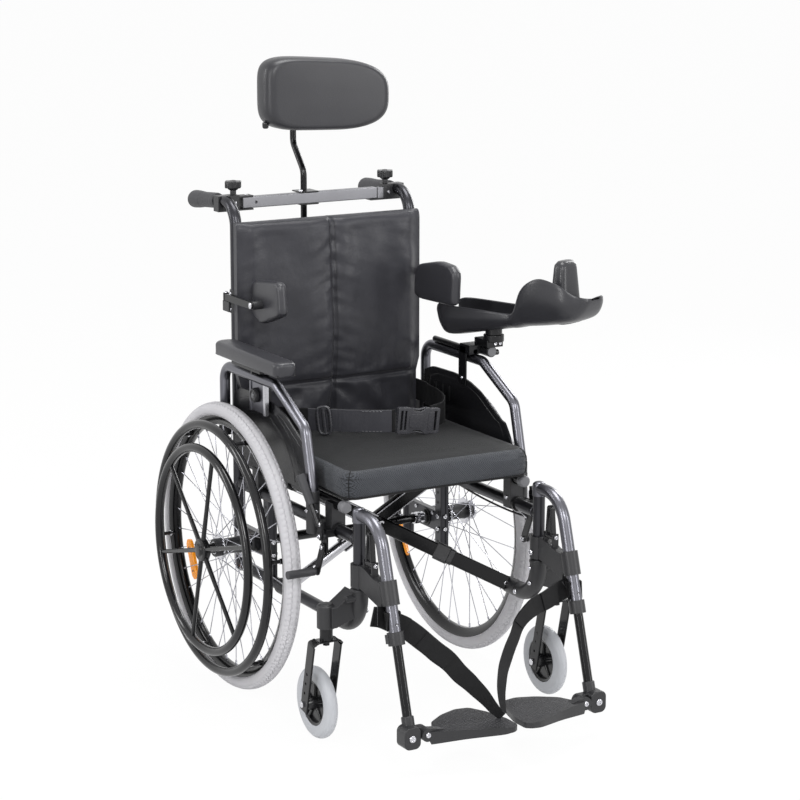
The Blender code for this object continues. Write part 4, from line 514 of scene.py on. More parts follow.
def makeSideFrame(side):
    x, r, pin = frameX, tubeRadius, chair["frontTop"]
    front = bent(((x, frontY, pin), (x, frontY, lowerZ), (x, postY, lowerZ)), chair["frontBend"])
    bead = mirrored([(r - 0.001, -0.003), (r + 0.0016, -0.001)])
    tubes = [tube(front, r), tube(handlePath(), r), rod((x, frontY, upperZ), (x, postY, upperZ), r),
             rod((x, frontY, pin - 0.01), (x, frontY, pin + 0.012), 0.006)]
    # weld beads where tubes meet
    for y, z in ((frontY + r, upperZ), (postY - r, upperZ), (postY - r, lowerZ)):
        tubes.append(turned(bead, (x, y, z), "y", 28))
    makePiece("FrameTubes", "frameCoat", "_frame", tubes, side, edge=0.0008, stands="_side_frame")
    # middle post: a grooved extrusion with a row of holes for other axle heights
    half, depth, groove = frameSizes["postHalf"], frameSizes["postDepth"], frameSizes["groove"]
    outline = mirrored([(-half, -depth), (-0.003, -depth), (-0.003, -depth + groove),
                        (0.003, -depth + groove), (0.003, -depth), (half, -depth)])
    post = slab([(x + a, middleY + b) for a, b in outline], lowerZ, upperZ, "xy")
    plate = box((x - 0.007, x + 0.007), (middleY, postY), (wheelZ - 0.022, wheelZ + 0.022))
    rows = [frameSizes["firstHole"] + number * frameSizes["holePitch"]
            for number in range(frameSizes["holes"])]
    # the holes are near-black rods that poke just through the post's faces, not cut: painted shade
    holes = [rod((x - 0.0104, middleY, z), (x + 0.0104, middleY, z), 0.0032, 14)
             for z in rows if abs(z - wheelZ) > 0.02]
    makePiece("MiddlePost", "frameCoat", "_frame", [post, plate], side, edge=0.0008)
    makePiece("PostHoles", "paintedHoleShade", "_frame", holes, side)
    screws = []
    for z in (wheelZ - 0.014, wheelZ + 0.014):
        screws += bolts(((x - 0.010, middleY - 0.002, z), 0.0055, 0.004, "-x"),
                        ((x, middleY - 0.012, z), 0.0050, 0.004, "-y"))
    screws += [boltHead((x - 0.007, y, wheelZ + 0.015), 0.0045, 0.003, "-x") for y in (-0.03, 0.04)]
    makePiece("PostBolts", "chrome", "_frame", screws, side, edge=0.0004)
    # axle carrier with a nut on the inside, and the axle tube through the hub
    boss = [rod((x - 0.009, 0, wheelZ), (x + 0.0185, 0, wheelZ), 0.020),
            rod((x - 0.014, 0, wheelZ), (x - 0.008, 0, wheelZ), 0.0165, 6)]
    makePiece("AxleBoss", "mouldedPlastic", "_frame", boss, side, edge=0.0010)
    axle = rod((x, 0, wheelZ), (wheelX + 0.038, 0, wheelZ), 0.0135)
    bore = rod((x - 0.02, 0, wheelZ), (wheelX + 0.05, 0, wheelZ), 0.0115)
    makePiece("AxleTube", "chrome", "_frame", [axle], side, cut=[bore], edge=0.0006)
    # open-topped plastic saddles for the seat rail, and the sockets of the armrest
    half, inner, rim = frameSizes["saddleHalf"], chair["railRadius"] + gap, railZ + 0.002
    angles = [math.pi * i / 16 for i in range(17)]
    outline = [(x + half, upperZ - 0.010), (x + half, rim), (x + inner, rim)]
    outline += [(x + inner * math.cos(angle), railZ - inner * math.sin(angle)) for angle in angles]
    outline += [(x - inner, rim), (x - half, rim), (x - half, upperZ - 0.010)]
    rest = [slab(outline, y - 0.014, y + 0.014, "xz") for y in frameSizes["saddleY"]]
    socketX, frontSocket, rearSocket = frameSizes["socketX"], -0.318, 0.076
    for y, middle, low, top in ((frontSocket, frontSocket, upperZ - 0.010, 0.468),
                                (rearSocket, rearSocket + 0.010, 0.528, 0.575)):
        rest.append(box((x, socketX), (middle - 0.010, middle + 0.010), (low, low + 0.022)))
        rest.append(rod((socketX, y, low), (socketX, y, top), 0.014))
    sockets = [rod((socketX, y, z - gap), (socketX, y, z + 0.05), 0.0113)
               for y, z in ((frontSocket, 0.442), (rearSocket, 0.548))]
    makePiece("SeatSaddles", "mouldedPlastic", "_frame", rest, side, cut=sockets, edge=0.0009)
    small = [boltHead((x - half, y, upperZ + 0.012), 0.0045, 0.003, "-x") for y in frameSizes["saddleY"]]
    small += bolts(((0.259, frontSocket, 0.452), 0.0042, 0.0025, "x"),
                   ((socketX, -0.332, 0.452), 0.0040, 0.0025, "-y"))
    makePiece("SaddleScrews", "chrome", "_frame", small, side, edge=0.0004)
    makeBrakeBracket(side)
    makeSupportLug(side)


def makeBrakeBracket(side):
    x, y, inner, leverZ, barZ = frameX, *(brakeSizes[key]
                                          for key in ("y", "plateX", "leverPivotZ", "barPivotZ"))
    outer, low = inner + brakeSizes["plate"], barZ - 0.012
    outline = [(y - 0.012, low), (y + 0.012, low), (y + 0.014, upperZ + 0.006), (y - 0.012, upperZ + 0.006)]
    arm = box((x, inner + 0.001), (y - 0.010, y + 0.012), (upperZ - 0.010, upperZ + 0.005))
    clampRing = rod((x, y - 0.010, upperZ), (x, y + 0.012, upperZ), 0.0155)
    makePiece("BrakeBracket", "blackPlate", "_frame", [slab(outline, inner, outer), arm, clampRing], side,
              edge=0.0010)
    pins = []
    for z, reach in ((leverZ, 0.0115), (barZ, 0.006)):
        pins.append(rod((outer - 0.001, y, z), (outer + reach, y, z), 0.004))
        pins.append(boltHead((outer + reach - 0.0007, y, z), 0.0052, 0.0028, "x"))
    makePiece("BrakeRivets", "chrome", "_frame", pins, side, edge=0.0003)
    if side > 0:
        # the cable runs from under the seat to the left brake's stay
        end = Vector((inner + 0.0015, y + 0.004, barZ - 0.004))
        route = smoothPath(((x, middleY - 0.045, upperZ - 0.008), (x + 0.004, -0.20, upperZ - 0.020),
                            (x + 0.016, -0.29, upperZ - 0.030), end), 10)
        makePiece("BrakeCable", "smoothPlastic", "_frame", [tube(route, 0.0022, sides=14)])
        barrel = rod(end - Vector((0, 0.002, 0)), end + Vector((0, 0.020, 0.004)), 0.0042)
        makePiece("CableBarrel", "chrome", "_frame", [barrel], edge=0.0005)


def makeSupportLug(side):
    x, (hingeX, hingeY), low = frameX, supportSizes["hinge"], supportSizes["z"][side] - 0.008
    lug = [box((x - 0.004, hingeX + 0.006), (postY, hingeY + 0.006), (low - 0.022, low)),
           rod((x, postY, low - 0.024), (x, postY, low + 0.026), 0.0148)]
    makePiece("SupportLug", "mouldedPlastic", "_frame", lug, side, edge=0.0012)
    pin = [rod((hingeX, hingeY, low - 0.002), (hingeX, hingeY, low + 0.018), 0.003)]
    pin += bolts(((hingeX, hingeY, low + 0.0165), 0.0045, 0.003, "z"),
                 ((x + 0.0140, postY, low - 0.016), 0.0035, 0.0022, "x"),
                 ((x + 0.0140, postY, low + 0.018), 0.0035, 0.0022, "x"))
    makePiece("SupportPin", "chrome", "_frame", pin, side, edge=0.0003)


gripSizes = {"startY": 0.170, "radius": 0.0165, "flare": 0.019, "grooves": 7, "stations": 70}


def makePushGrip(side):
    # a soft sleeve with a flared end and shallow finger grooves
    rings, start, flare = [], gripSizes["startY"], gripSizes["flare"]
    for i in range(gripSizes["stations"] + 1):
        share = i / gripSizes["stations"]
        radius = gripSizes["radius"] - 0.0015 + 0.0015 * min(1.0, share * 14)
        if share > 0.55:
            radius += (flare - gripSizes["radius"]) * math.sin(math.pi / 2 * min(1, (share - 0.55) / 0.36))
        if 0.12 < share < 0.60:
            wave = math.cos(math.tau * (share - 0.12) / 0.48 * gripSizes["grooves"])
            radius -= 0.0006 * (0.5 - 0.5 * wave)
        if share > 0.93:
            radius = radius * 0.65 + flare * 0.35 * math.sqrt(max(0.0, 1 - ((share - 0.93) / 0.0725) ** 2))
        centre = handlePoint(start + (frameSizes["handleEndY"] + 0.005 - start) * share)
        rings.append([centre + Vector((a, 0, b)) for a, b in circle(radius, 32)])
    makePiece("PushGrip", "gripRubber", "_frame", [layered(rings)], side, stands="_push_grip")


# Casters
casterSizes = {"radius": 0.0735, "x": 0.271, "stemY": -0.42, "trail": 0.04, "halfWidth": 0.012,
               "forkHalf": 0.030, "forkBar": 0.027, "forkPlate": 0.004, "crownZ": 0.214, "headLow": 0.240,
               "headTop": 0.288, "headRadius": 0.0185, "hubSpokes": 5, "seatRadius": 0.0465,
               "holeRises": (0.026, 0.047, 0.068)}


def makeCaster(side):
    x, r, y = frameX, tubeRadius, casterSizes["stemY"]
    cx, low, top, wide = (casterSizes[key] for key in ("x", "headLow", "headTop", "headRadius"))
    elbow = bent(((x, frontY, 0.318), (x, frontY, lowerZ), (x, -0.377, lowerZ)), chair["frontBend"])
    lip = mirrored([(r + 0.003, -0.004), (r + 0.0062, -0.003)])
    arm = [(x + r, 0.258), (cx - 0.010, low + 0.004), (cx, low + 0.004), (cx, top - 0.003),
           (cx - 0.012, top - 0.002), (x + r + 0.010, 0.306), (x + r, 0.314)]
    head = [(0, low), (wide, low), (wide, top - 0.004), (wide - 0.0015, top - 0.001), (0.0135, top),
            (0.0125, top + 0.0015), (0, top + 0.002)]
    shapes = [tube(elbow, r + 0.005), turned(lip, (x, frontY, 0.314), "z", 28),
              slab(arm, y - 0.026, y + 0.014, "xz"), turned(head, (cx, y, 0), "z", 40),
              rod((x + 0.014, frontY - 0.004, 0.300), (x + 0.034, frontY - 0.004, 0.300), 0.0075)]
    makePiece("CasterHousing", "mouldedPlastic", "_frame", shapes, side, edge=0.0016, steps=3,
              stands="_caster_housing")
    screws = bolts(((x - r - 0.005, frontY + 0.004, 0.300), 0.0046, 0.003, "-x"),
                   ((x - r - 0.005, frontY + 0.004, 0.268), 0.0046, 0.003, "-x"),
                   ((x - r - 0.004, frontY + 0.060, lowerZ), 0.0052, 0.0035, "-x"))
    makePiece("HousingScrews", "chrome", "_frame", screws, side, edge=0.0004)
    makeFork(side)
    makeCasterWheel(side)


def makeFork(side):
    cx, y, half, crown = (casterSizes[key] for key in ("x", "stemY", "forkHalf", "crownZ"))
    axle, out = Vector((cx, y + casterSizes["trail"], casterSizes["radius"])), Vector((1, 0, 0))
    legTop = Vector((cx, y + 0.005, crown - 0.006))
    corners = [axle + Vector((-half, 0, -0.014)), legTop - out * half, (cx - half + 0.008, y, crown),
               (cx + half - 0.008, y, crown), legTop + out * half, axle + Vector((half, 0, -0.014))]
    bar = sweep(bent(corners, 0.006, 8), rounded(casterSizes["forkBar"], casterSizes["forkPlate"], 0.0012, 3),
                (0, 1, 0))
    # holes for other axle heights
    places = [axle.lerp(legTop, rise / (legTop.z - axle.z)) for rise in casterSizes["holeRises"]]
    holes = [rod(place - out * (half + 0.01), place + out * (half + 0.01), 0.003, 16) for place in places]
    makePiece("CasterFork", "blackTube", "_caster", [bar], side, cut=holes, edge=0.0006,
              stands="_caster_fork")
    stem = [rod((cx, y, crown), (cx, y, casterSizes["headTop"] - 0.012), 0.0075),
            rod((cx, y, crown), (cx, y, casterSizes["headLow"] - 0.0005), 0.013),
            rod((cx, y, crown - 0.010), (cx, y, crown - 0.001), 0.0075, 6)]
    makePiece("ForkStem", "blackPlate", "_caster", stem, side, edge=0.0008)
    bolt = [rod(axle - out * (half + 0.003), axle + out * (half + 0.003), 0.0045)]
    for sign, sides in ((-1, 20), (1, 6)):
        bolt.append(reached(axle + out * sign * (half + 0.002), sign * 0.004, radius=0.0068, sides=sides))
    makePiece("ForkAxle", "chrome", "_caster", bolt, side, edge=0.0005)


def makeCasterWheel(side):
    outer, half, seat = (casterSizes[key] for key in ("radius", "halfWidth", "seatRadius"))
    axle = Vector((casterSizes["x"], casterSizes["stemY"] + casterSizes["trail"], outer))
    # a round tread between two shoulders
    angles = [math.pi * i / 24 for i in range(25)]
    tread = [(outer - 0.0125 + 0.0125 * math.sin(angle) ** 0.8, -half * math.cos(angle)) for angle in angles]
    profile = [(seat, -half * 0.92), (seat + 0.004, -half)] + tread
    profile += [(seat + 0.004, half), (seat, half * 0.92)]
    makePiece("CasterTyre", "casterRubber", "_caster_wheel", [turned(profile, axle, "x", 72)], side,
              edge=0.0006, stands="_caster_wheel")
    inner = casterSizes["forkHalf"] - casterSizes["forkPlate"] / 2 - 0.001
    rim, web = mirrored([(0.0405, -0.0085), (0.0468, -0.0105)]), mirrored([(0.012, -0.004), (0.041, -0.0028)])
    hub = mirrored([(0.0051, -inner), (0.0095, -inner), (0.0145, -0.0125)])
    shapes = [turned(rim, axle, "x", 72), turned(hub, axle, "x", 40)]
    for angle in spread(casterSizes["hubSpokes"], 0.25):
        path = [axle + ray(angle) * d for d in (0.011, 0.020, 0.030, 0.0415)]
        shapes.append(sweep(path, rounded(0.0085, 0.017, 0.003), ray(angle + math.pi / 2),
                            (1.15, 0.95, 0.85, 0.95)))
    makePiece("CasterHub", "smoothPlastic", "_caster_wheel", shapes, side, edge=0.0008)
    makePiece("CasterDisc", "smoothPlastic", "_caster_wheel", [turned(web, axle, "x", 72)], side)


# Rear wheels; reflector gives the (y, z) of each wheel's reflector
wheelSizes = {"tyreHalf": 0.0175, "tyreDepth": 0.029, "rimDepth": 0.019, "rimHalf": 0.0125, "hubHalf": 0.038,
              "hubBore": 0.0140, "hubRadius": 0.019, "flangeRadius": 0.028, "flangeOffset": 0.024,
              "spokes": 36, "spokeRadius": 0.0010, "laceAngle": 62, "blocks": 150, "grooveDepth": 0.0028,
              "reflector": {-1: (0.188, 0.228), 1: (0.234, 0.188)}, "reflectorSize": (0.088, 0.023, 0.0042)}


def tyreShape(centre):
    # a round-shouldered tyre: fine cross grooves on the shoulders and two grooves along the crown
    half, depth, groove = wheelSizes["tyreHalf"], wheelSizes["tyreDepth"], wheelSizes["grooveDepth"]
    bead, rings, axis = wheelZ - depth, [], Vector((1, 0, 0))
    profile = [(bead, -half * 0.62, 2)]
    for i in range(31):
        angle = math.pi * i / 30
        rise = 0.0045 + (depth - 0.0045) * math.sin(angle) ** 0.72
        profile.append((bead + rise, -half * math.cos(angle), abs(math.cos(angle))))
    profile.append((bead, half * 0.62, 2))
    for i, angle in enumerate(spread(wheelSizes["blocks"] * 4)):
        ring = []
        for radius, x, across in profile:
            cut = 0.0
            if i % 4 == 0 and 0.42 < across < 0.86 or i % 4 == 2 and 0.12 < across < 0.36:
                cut = groove
            if 0.36 <= across <= 0.44:
                cut = groove * 0.9
            ring.append(centre + ray(angle) * (radius - cut) + axis * x)
        rings.append(ring)
    return layered(rings, closed=True)


def makeRearWheel(side):
    centre, out = Vector((wheelX, 0, wheelZ)), Vector((1, 0, 0))
    outer = wheelZ - wheelSizes["tyreDepth"]
    inner, half = outer - wheelSizes["rimDepth"], wheelSizes["rimHalf"]
    offset, flange = wheelSizes["flangeOffset"], wheelSizes["flangeRadius"]
    makePiece("RearTyre", "tyreRubber", "_wheel", [tyreShape(centre)], side, angle=61, stands="_rear_tyre")
    rim = mirrored([(inner, -half * 0.34), (inner + 0.0035, -half * 0.72), (outer - 0.006, -half * 0.98),
                    (outer + 0.0012, -half), (outer + 0.0012, -half * 0.86), (outer - 0.002, -half * 0.80)])
    makePiece("WheelRim", "blackTube", "_wheel", [turned(rim, centre, "x", chair["wheelSides"])], side,
              edge=0.0006, stands="_wire_wheel")
    hubHalf, r = wheelSizes["hubHalf"], wheelSizes["hubRadius"]
    shell = mirrored([(wheelSizes["hubBore"], -hubHalf), (r - 0.001, -hubHalf), (r, -hubHalf + 0.001),
                      (r, -offset - 0.003), (r * 0.93, -offset + 0.004), (r * 0.88, -offset + 0.009)])
    makePiece("HubShell", "mouldedPlastic", "_wheel", [turned(shell, centre, "x", 48)], side, edge=0.0006)
    edges = [(r * 0.9, -0.0018), (flange, -0.0015), (flange + 0.0006, 0), (flange, 0.0015), (r * 0.9, 0.0018)]
    flanges = [turned([(a, x + b) for a, b in edges], centre, "x", 54) for x in (-offset, offset)]
    makePiece("HubFlanges", "chrome", "_wheel", flanges, side, edge=0.0003)
    # tangent-laced spokes, half on each flange, with a nipple each in the rim and a head on the flange
    spokes, nipples, heads = [], [], []
    for i, angle in enumerate(spread(wheelSizes["spokes"], 0.5)):
        lean = math.radians(wheelSizes["laceAngle"]) * (1 if i // 2 % 2 else -1)
        x = offset if i % 2 else -offset
        hubPlace = centre + ray(angle + lean) * (flange - 0.0028)
        start, end = hubPlace + out * x, centre + ray(angle) * (inner + 0.001)
        along = (end - start).normalized()
        spokes.append(rod(start, end, wheelSizes["spokeRadius"], 8))
        nipples.append(rod(end - along * 0.010, end + along * 0.001, 0.0021, 10))
        heads.append(dome(hubPlace + out * (x + math.copysign(0.0018, x)), 0.0016, 0.0012, "x", 8))
    for name, shapes in (("SpokeHeads", heads), ("Spokes", spokes), ("SpokeNipples", nipples)):
        makePiece(name, "spokeSteel", "_wheel", shapes, side)
    # a curved orange reflector clipped across two spokes
    y, z = wheelSizes["reflector"][side]
    long, wide, depth = wheelSizes["reflectorSize"]
    middle, heading, rings = math.hypot(y, z - wheelZ), math.atan2(z - wheelZ, y), []
    for scale, x in ((0.90, -depth), (1.0, -depth * 0.6), (1.0, depth * 0.6), (0.90, depth)):
        rings.append([centre + out * x + ray(heading + a / middle) * (middle + b)
                      for a, b in rounded(long * scale, wide * scale, wide * 0.375 * scale, 6)])
    makePiece("Reflector", "orangeReflector", "_wheel", [layered(rings)], side)
    spots = [centre + ray(heading + a / middle) * middle for a in (-0.026, 0.026)]
    makePiece("ReflectorClips", "mouldedPlastic", "_wheel",
              [rod(spot - out * 0.005, spot + out * 0.005, 0.0022, 14) for spot in spots], side)


# Handrims on the right: the outer, smaller one drives the left wheel
rimSizes = {"handRadius": 0.262, "tube": 0.0095, "handOffset": 0.042, "driveRadius": 0.2155,
            "driveOffset": 0.064, "spokes": 6, "shaftEnd": 0.066, "standoffTurn": -0.12, "spokeTurn": -0.25}


def hoop(radius, x):
    section = [(radius + a, b) for a, b in circle(rimSizes["tube"], 20)]
    return turned(section, (x, 0, wheelZ), "x", chair["wheelSides"])


def makeHandrims():
    handX, driveX = wheelX + rimSizes["handOffset"], wheelX + rimSizes["driveOffset"]
    hand, drive = rimSizes["handRadius"], rimSizes["driveRadius"]
    shapes, washers, hub = [hoop(hand, handX)], [], Vector((driveX, 0, wheelZ))
    for angle in spread(rimSizes["spokes"], rimSizes["standoffTurn"]):
        low = Vector((wheelX + 0.0100, 0, wheelZ)) + ray(angle) * (hand + 0.002)
        shapes.append(reached(low, handX - 0.003 - low.x, radius=0.004, sides=18))
        shapes.append(reached(low, 0.006, radius=0.0058, sides=18))
        washers.append(reached(low + Vector((0.006, 0, 0)), 0.0012, radius=0.0062, sides=18))
    makePiece("rightHandrim", "handrimCoat", "right_wheel", shapes, -1, stands="right_handrim")
    makePiece("rightHandrimWashers", "chrome", "right_wheel", washers, -1)
    shapes = [hoop(drive, driveX)]
    for angle in spread(rimSizes["spokes"], rimSizes["spokeTurn"]):
        path = [hub + ray(angle) * d for d in (0.015, 0.030, 0.10, drive - 0.012, drive)]
        shapes.append(sweep(path, circle(0.0046, 16), (1, 0, 0), (1.5, 1.1, 0.98, 1.0, 1.35)))
    disc = [(0, -0.008), (0.023, -0.008), (0.025, -0.006), (0.025, 0.004), (0.0235, 0.007), (0.019, 0.0085),
            (0.018, 0.0078), (0.0145, 0.0078), (0.0135, 0.0085), (0.012, 0.0115), (0.010, 0.0122),
            (0, 0.0125)]
    shapes += [turned(disc, hub, "x", 54), rod((rimSizes["shaftEnd"], 0, wheelZ), hub, 0.0105)]
    makePiece("driveHandrim", "handrimCoat", "drive_rim", shapes, -1, stands="drive_handrim", edge=0.0004)


def makeDriveShaft():
    # end flange outside the left hub, journal, chrome fork joint and a sliding rod towards the right
    outer, jointX, z = wheelX + wheelSizes["hubHalf"] + 0.0008, frameX - 0.0095, wheelZ
    flange = [(0, 0), (0.019, 0), (0.021, 0.002), (0.021, 0.005), (0.0195, 0.0065), (0.0165, 0.007),
              (0.015, 0.0105), (0.013, 0.011), (0, 0.011)]
    journal = rod((jointX - 0.002, 0, z), (outer + 0.001, 0, z), 0.0105)
    makePiece("driveShaft", "chrome", "left_wheel", [turned(flange, (outer, 0, z), "x", 40), journal],
              edge=0.0004, stands="drive_shaft")
    rods = [rod((-0.098, 0, z), (jointX - 0.034, 0, z), 0.0070),
            rod((jointX - 0.075, 0, z), (jointX - 0.030, 0, z), 0.0098)]
    makePiece("driveRod", "blackTube", "left_wheel", rods, edge=0.0006)
    joint, cross, out = [], jointX - 0.015, Vector((1, 0, 0))
    for start, end, spreadWay, side in ((jointX - 0.030, jointX - 0.014, (0, 0, 1), (0, 1, 0)),
                                        (jointX, jointX - 0.016, (0, 1, 0), (0, 0, 1))):
        place, way = Vector((start, 0, z)), out * math.copysign(1, end - start)
        joint.append(rod(place, place + way * 0.007, 0.0125))
        for sign in (-1, 1):
            shift = Vector(spreadWay) * 0.0095 * sign
            joint.append(sweep((place + way * 0.004 + shift, Vector((end, 0, z)) + shift),
                               rounded(0.012, 0.005, 0.0015, 3), side))
    joint += [rod((cross, -0.0125, z), (cross, 0.0125, z), 0.0035),
              rod((cross, 0, z - 0.0125), (cross, 0, z + 0.0125), 0.0035)]
    makePiece("driveJoint", "chrome", "left_wheel", joint, edge=0.0006)


# Folding brace and seat rails
braceSizes = {"width": 0.030, "depth": 0.018, "sleeve": 0.046, "frontFootY": -0.352}


def makeCrossBrace():
    width, depth, half = braceSizes["width"], braceSizes["depth"], braceSizes["sleeve"] / 2
    rearY = chair["braceY"]
    frontPlane, footY, bar = rearY - depth - gap, braceSizes["frontFootY"], rounded(depth, width, 0.004, 4)
    towards, face = (0, 1, 0), Vector((0, -depth / 2, 0))

    def edgeHighlightStrips(start, end, along):
        # two bright strips on the bar's front face: painted highlights along its edges
        square = Vector((-along.z, 0, along.x)) * (width / 2 - 0.0024)
        return [sweep((start + shift, end + shift), rounded(0.0012, 0.0026, 0.0004, 2), towards)
                for shift in (face - square, face + square)]

    def sleeve(x, y, z, radius):
        return rod((x, y - half, z), (x, y + half, z), radius)

    low, high = Vector((-frameX, rearY, lowerZ)), Vector((frameX, rearY, railZ))
    along = (high - low).normalized()
    upper = sweep((low + along * 0.15, high - along * 0.0145), bar, towards)
    clamps = [sleeve(-frameX, rearY, lowerZ, 0.0170), sleeve(frameX, rearY, railZ, 0.0158)]
    # bright strips along the rear bar's edges: painted highlights
    edges = edgeHighlightStrips(low + along * 0.152, high - along * 0.018, along)
    # the lower leg is a bright round tube with turned rings
    leg = [rod(low + along * 0.0145, low + along * 0.17, 0.0115)]
    places = [low + along * reach for reach in (0.055, 0.060, 0.092, 0.112, 0.116)]
    rings = [rod(place, place + along * 0.0016, 0.0119) for place in places]
    makePiece("rearBraceBar", "blackTube", "cross_brace_rear", [upper], edge=0.0008, stands="cross_bar_rear")
    makePiece("rearBraceClamps", "mouldedPlastic", "cross_brace_rear", clamps, edge=0.0012)
    makePiece("rearBraceTube", "zincTube", "cross_brace_rear", leg, edge=0.0006)
    makePiece("rearBraceRings", "polishedMetalAndEdgeHighlight", "cross_brace_rear", rings, edge=0.0003)
    makePiece("rearBraceEdges", "polishedMetalAndEdgeHighlight", "cross_brace_rear", edges)
    # front bar
    top, middle = Vector((-frameX, frontPlane, railZ)), Vector((0, frontPlane, (railZ + lowerZ) / 2))
    foot = Vector((frameX, footY, lowerZ))
    up, down = (top - middle).normalized(), (foot - middle).normalized()
    upper = sweep((middle - up * 0.012, top - up * 0.0145), bar, towards)
    lower = sweep((middle + down * 0.004, foot - down * 0.0155), bar, towards)
    makePiece("frontBraceUpper", "blackTube", "cross_brace_front", [upper], edge=0.0008,
              stands="cross_bar_front")
    makePiece("frontBraceLower", "blackTube", "cross_brace_front", [lower], edge=0.0008)
    # bright strips along the front bar's edges: painted highlights
    edges = edgeHighlightStrips(middle + up * 0.012, top - up * 0.020, up)
    makePiece("frontBraceEdges", "polishedMetalAndEdgeHighlight", "cross_brace_front", edges)
    grip = [sweep((middle + down * a, middle + down * b), rounded(depth + d, width + w, 0.006, 5), towards)
            for a, b, d, w in ((0.135, 0.165, 0.006, 0.008), (0.165, 0.176, 0.003, 0.004))]
    grip += [sleeve(frameX, footY, lowerZ, 0.0170), sleeve(-frameX, frontPlane, railZ, 0.0158)]
    makePiece("frontBraceClamps", "mouldedPlastic", "cross_brace_front", grip, edge=0.0014)
    screws = [rod((0, frontPlane - 0.010, middle.z), (0, rearY + 0.0115, middle.z), 0.006)]
    screws += bolts((middle + Vector((0, -0.0095, 0)), 0.0095, 0.0055, "-y"),
                    (middle + down * 0.150 + Vector((0, -0.012, -0.008)), 0.0042, 0.003, "-y"),
                    (foot - down * 0.024 + Vector((0, -0.009, 0)), 0.0048, 0.003, "-y"),
                    (middle + up * 0.086 + Vector((0, -0.009, 0)), 0.0055, 0.0035, "-y"))
    makePiece("braceBolts", "chrome", "cross_brace_front", screws, edge=0.0004)
    front, rear = chair["railFront"], chair["railRear"]
    cap = [(0, -0.0045), (0.0095, -0.0040), (0.0118, -0.0015), (0.0122, 0.001), (0.0122, 0.012), (0, 0.012)]
    for side, body in ((-1, "seat"), (1, "left_rail")):
        rail = rod((frameX, front + 0.006, railZ), (frameX, rear, railZ), chair["railRadius"])
        makePiece("SeatRail", "blackTube", body, [rail], side, edge=0.0006, stands="_seat_rail")
        makePiece("RailCap", "greyCap", body, [turned(cap, (frameX, front, railZ), "y", 36)], side,
                  edge=0.0004)


# Swing-away hangers and footrests
hangerSizes = {"top": 0.468, "elbowY": -0.524, "bend": 0.07, "endY": -0.5925, "endZ": 0.242,
               "collarLength": 0.026, "collarRadius": 0.0165, "latchZ": 0.345, "latchHeight": 0.046,
               "legRadius": 0.0095, "legInsert": 0.07}
hangerEnd = Vector((frameX, hangerSizes["endY"], hangerSizes["endZ"]))
hangerElbow = Vector((frameX, hangerSizes["elbowY"], hangerSizes["top"]))
legDown = (hangerEnd - hangerElbow).normalized()


def makeHanger(side):
    x, top, r = frameX, hangerSizes["top"], tubeRadius
    path = bent(((x, frontY - 0.004, top), hangerElbow, hangerEnd - legDown * 0.001), hangerSizes["bend"], 22)
    cap = [(0, chair["frontTop"] + 0.0004), (0.0140, chair["frontTop"] + 0.0004), (0.0140, top + 0.004),
           (0.0128, top + 0.0095), (0.0095, top + 0.0125), (0.005, top + 0.0140), (0, top + 0.0142)]
    bore = rod(hangerEnd - legDown * 0.05, hangerEnd + legDown * 0.01, hangerSizes["legRadius"] + 0.0004)
    makePiece("HangerTube", "gunmetalTube", "_hanger", [tube(path, r)], side, cut=[bore], edge=0.0006,
              stands="_hanger")
    makePiece("HangerCap", "gunmetalTube", "_hanger", [turned(cap, (x, frontY, 0), "z", 40)], side)
    length = hangerSizes["collarLength"]
    collar = rod(hangerEnd - legDown * length, hangerEnd, hangerSizes["collarRadius"], 40)
    low, high = (hangerEnd - legDown * d + Vector((0.016, 0.004, 0)) for d in (length - 0.004, 0.004))
    lug = sweep((low, high), rounded(0.007, 0.010, 0.002, 4))
    makePiece("HangerCollar", "mouldedPlastic", "_hanger", [collar, lug], side, cut=[bore], edge=0.0012)
    # spring button of the length setting, in its hole above the collar
    # the hole is a near-black disc on the tube, not cut: painted shade
    spot = hangerEnd - legDown * (length + 0.018) + Vector((0, -r + 0.0008, -0.0024))
    makePiece("LengthHole", "paintedHoleShade", "_hanger", [rod(spot, spot + Vector((0, -0.0012, -0.0002)), 0.0040)],
              side)
    makePiece("LengthButton", "chrome", "_hanger",
              [dome(spot + Vector((0, -0.0008, 0.0006)), 0.0022, 0.0016, "y")], side)
    makeLatchBlock(side, path)
    makeLatchLever(side)


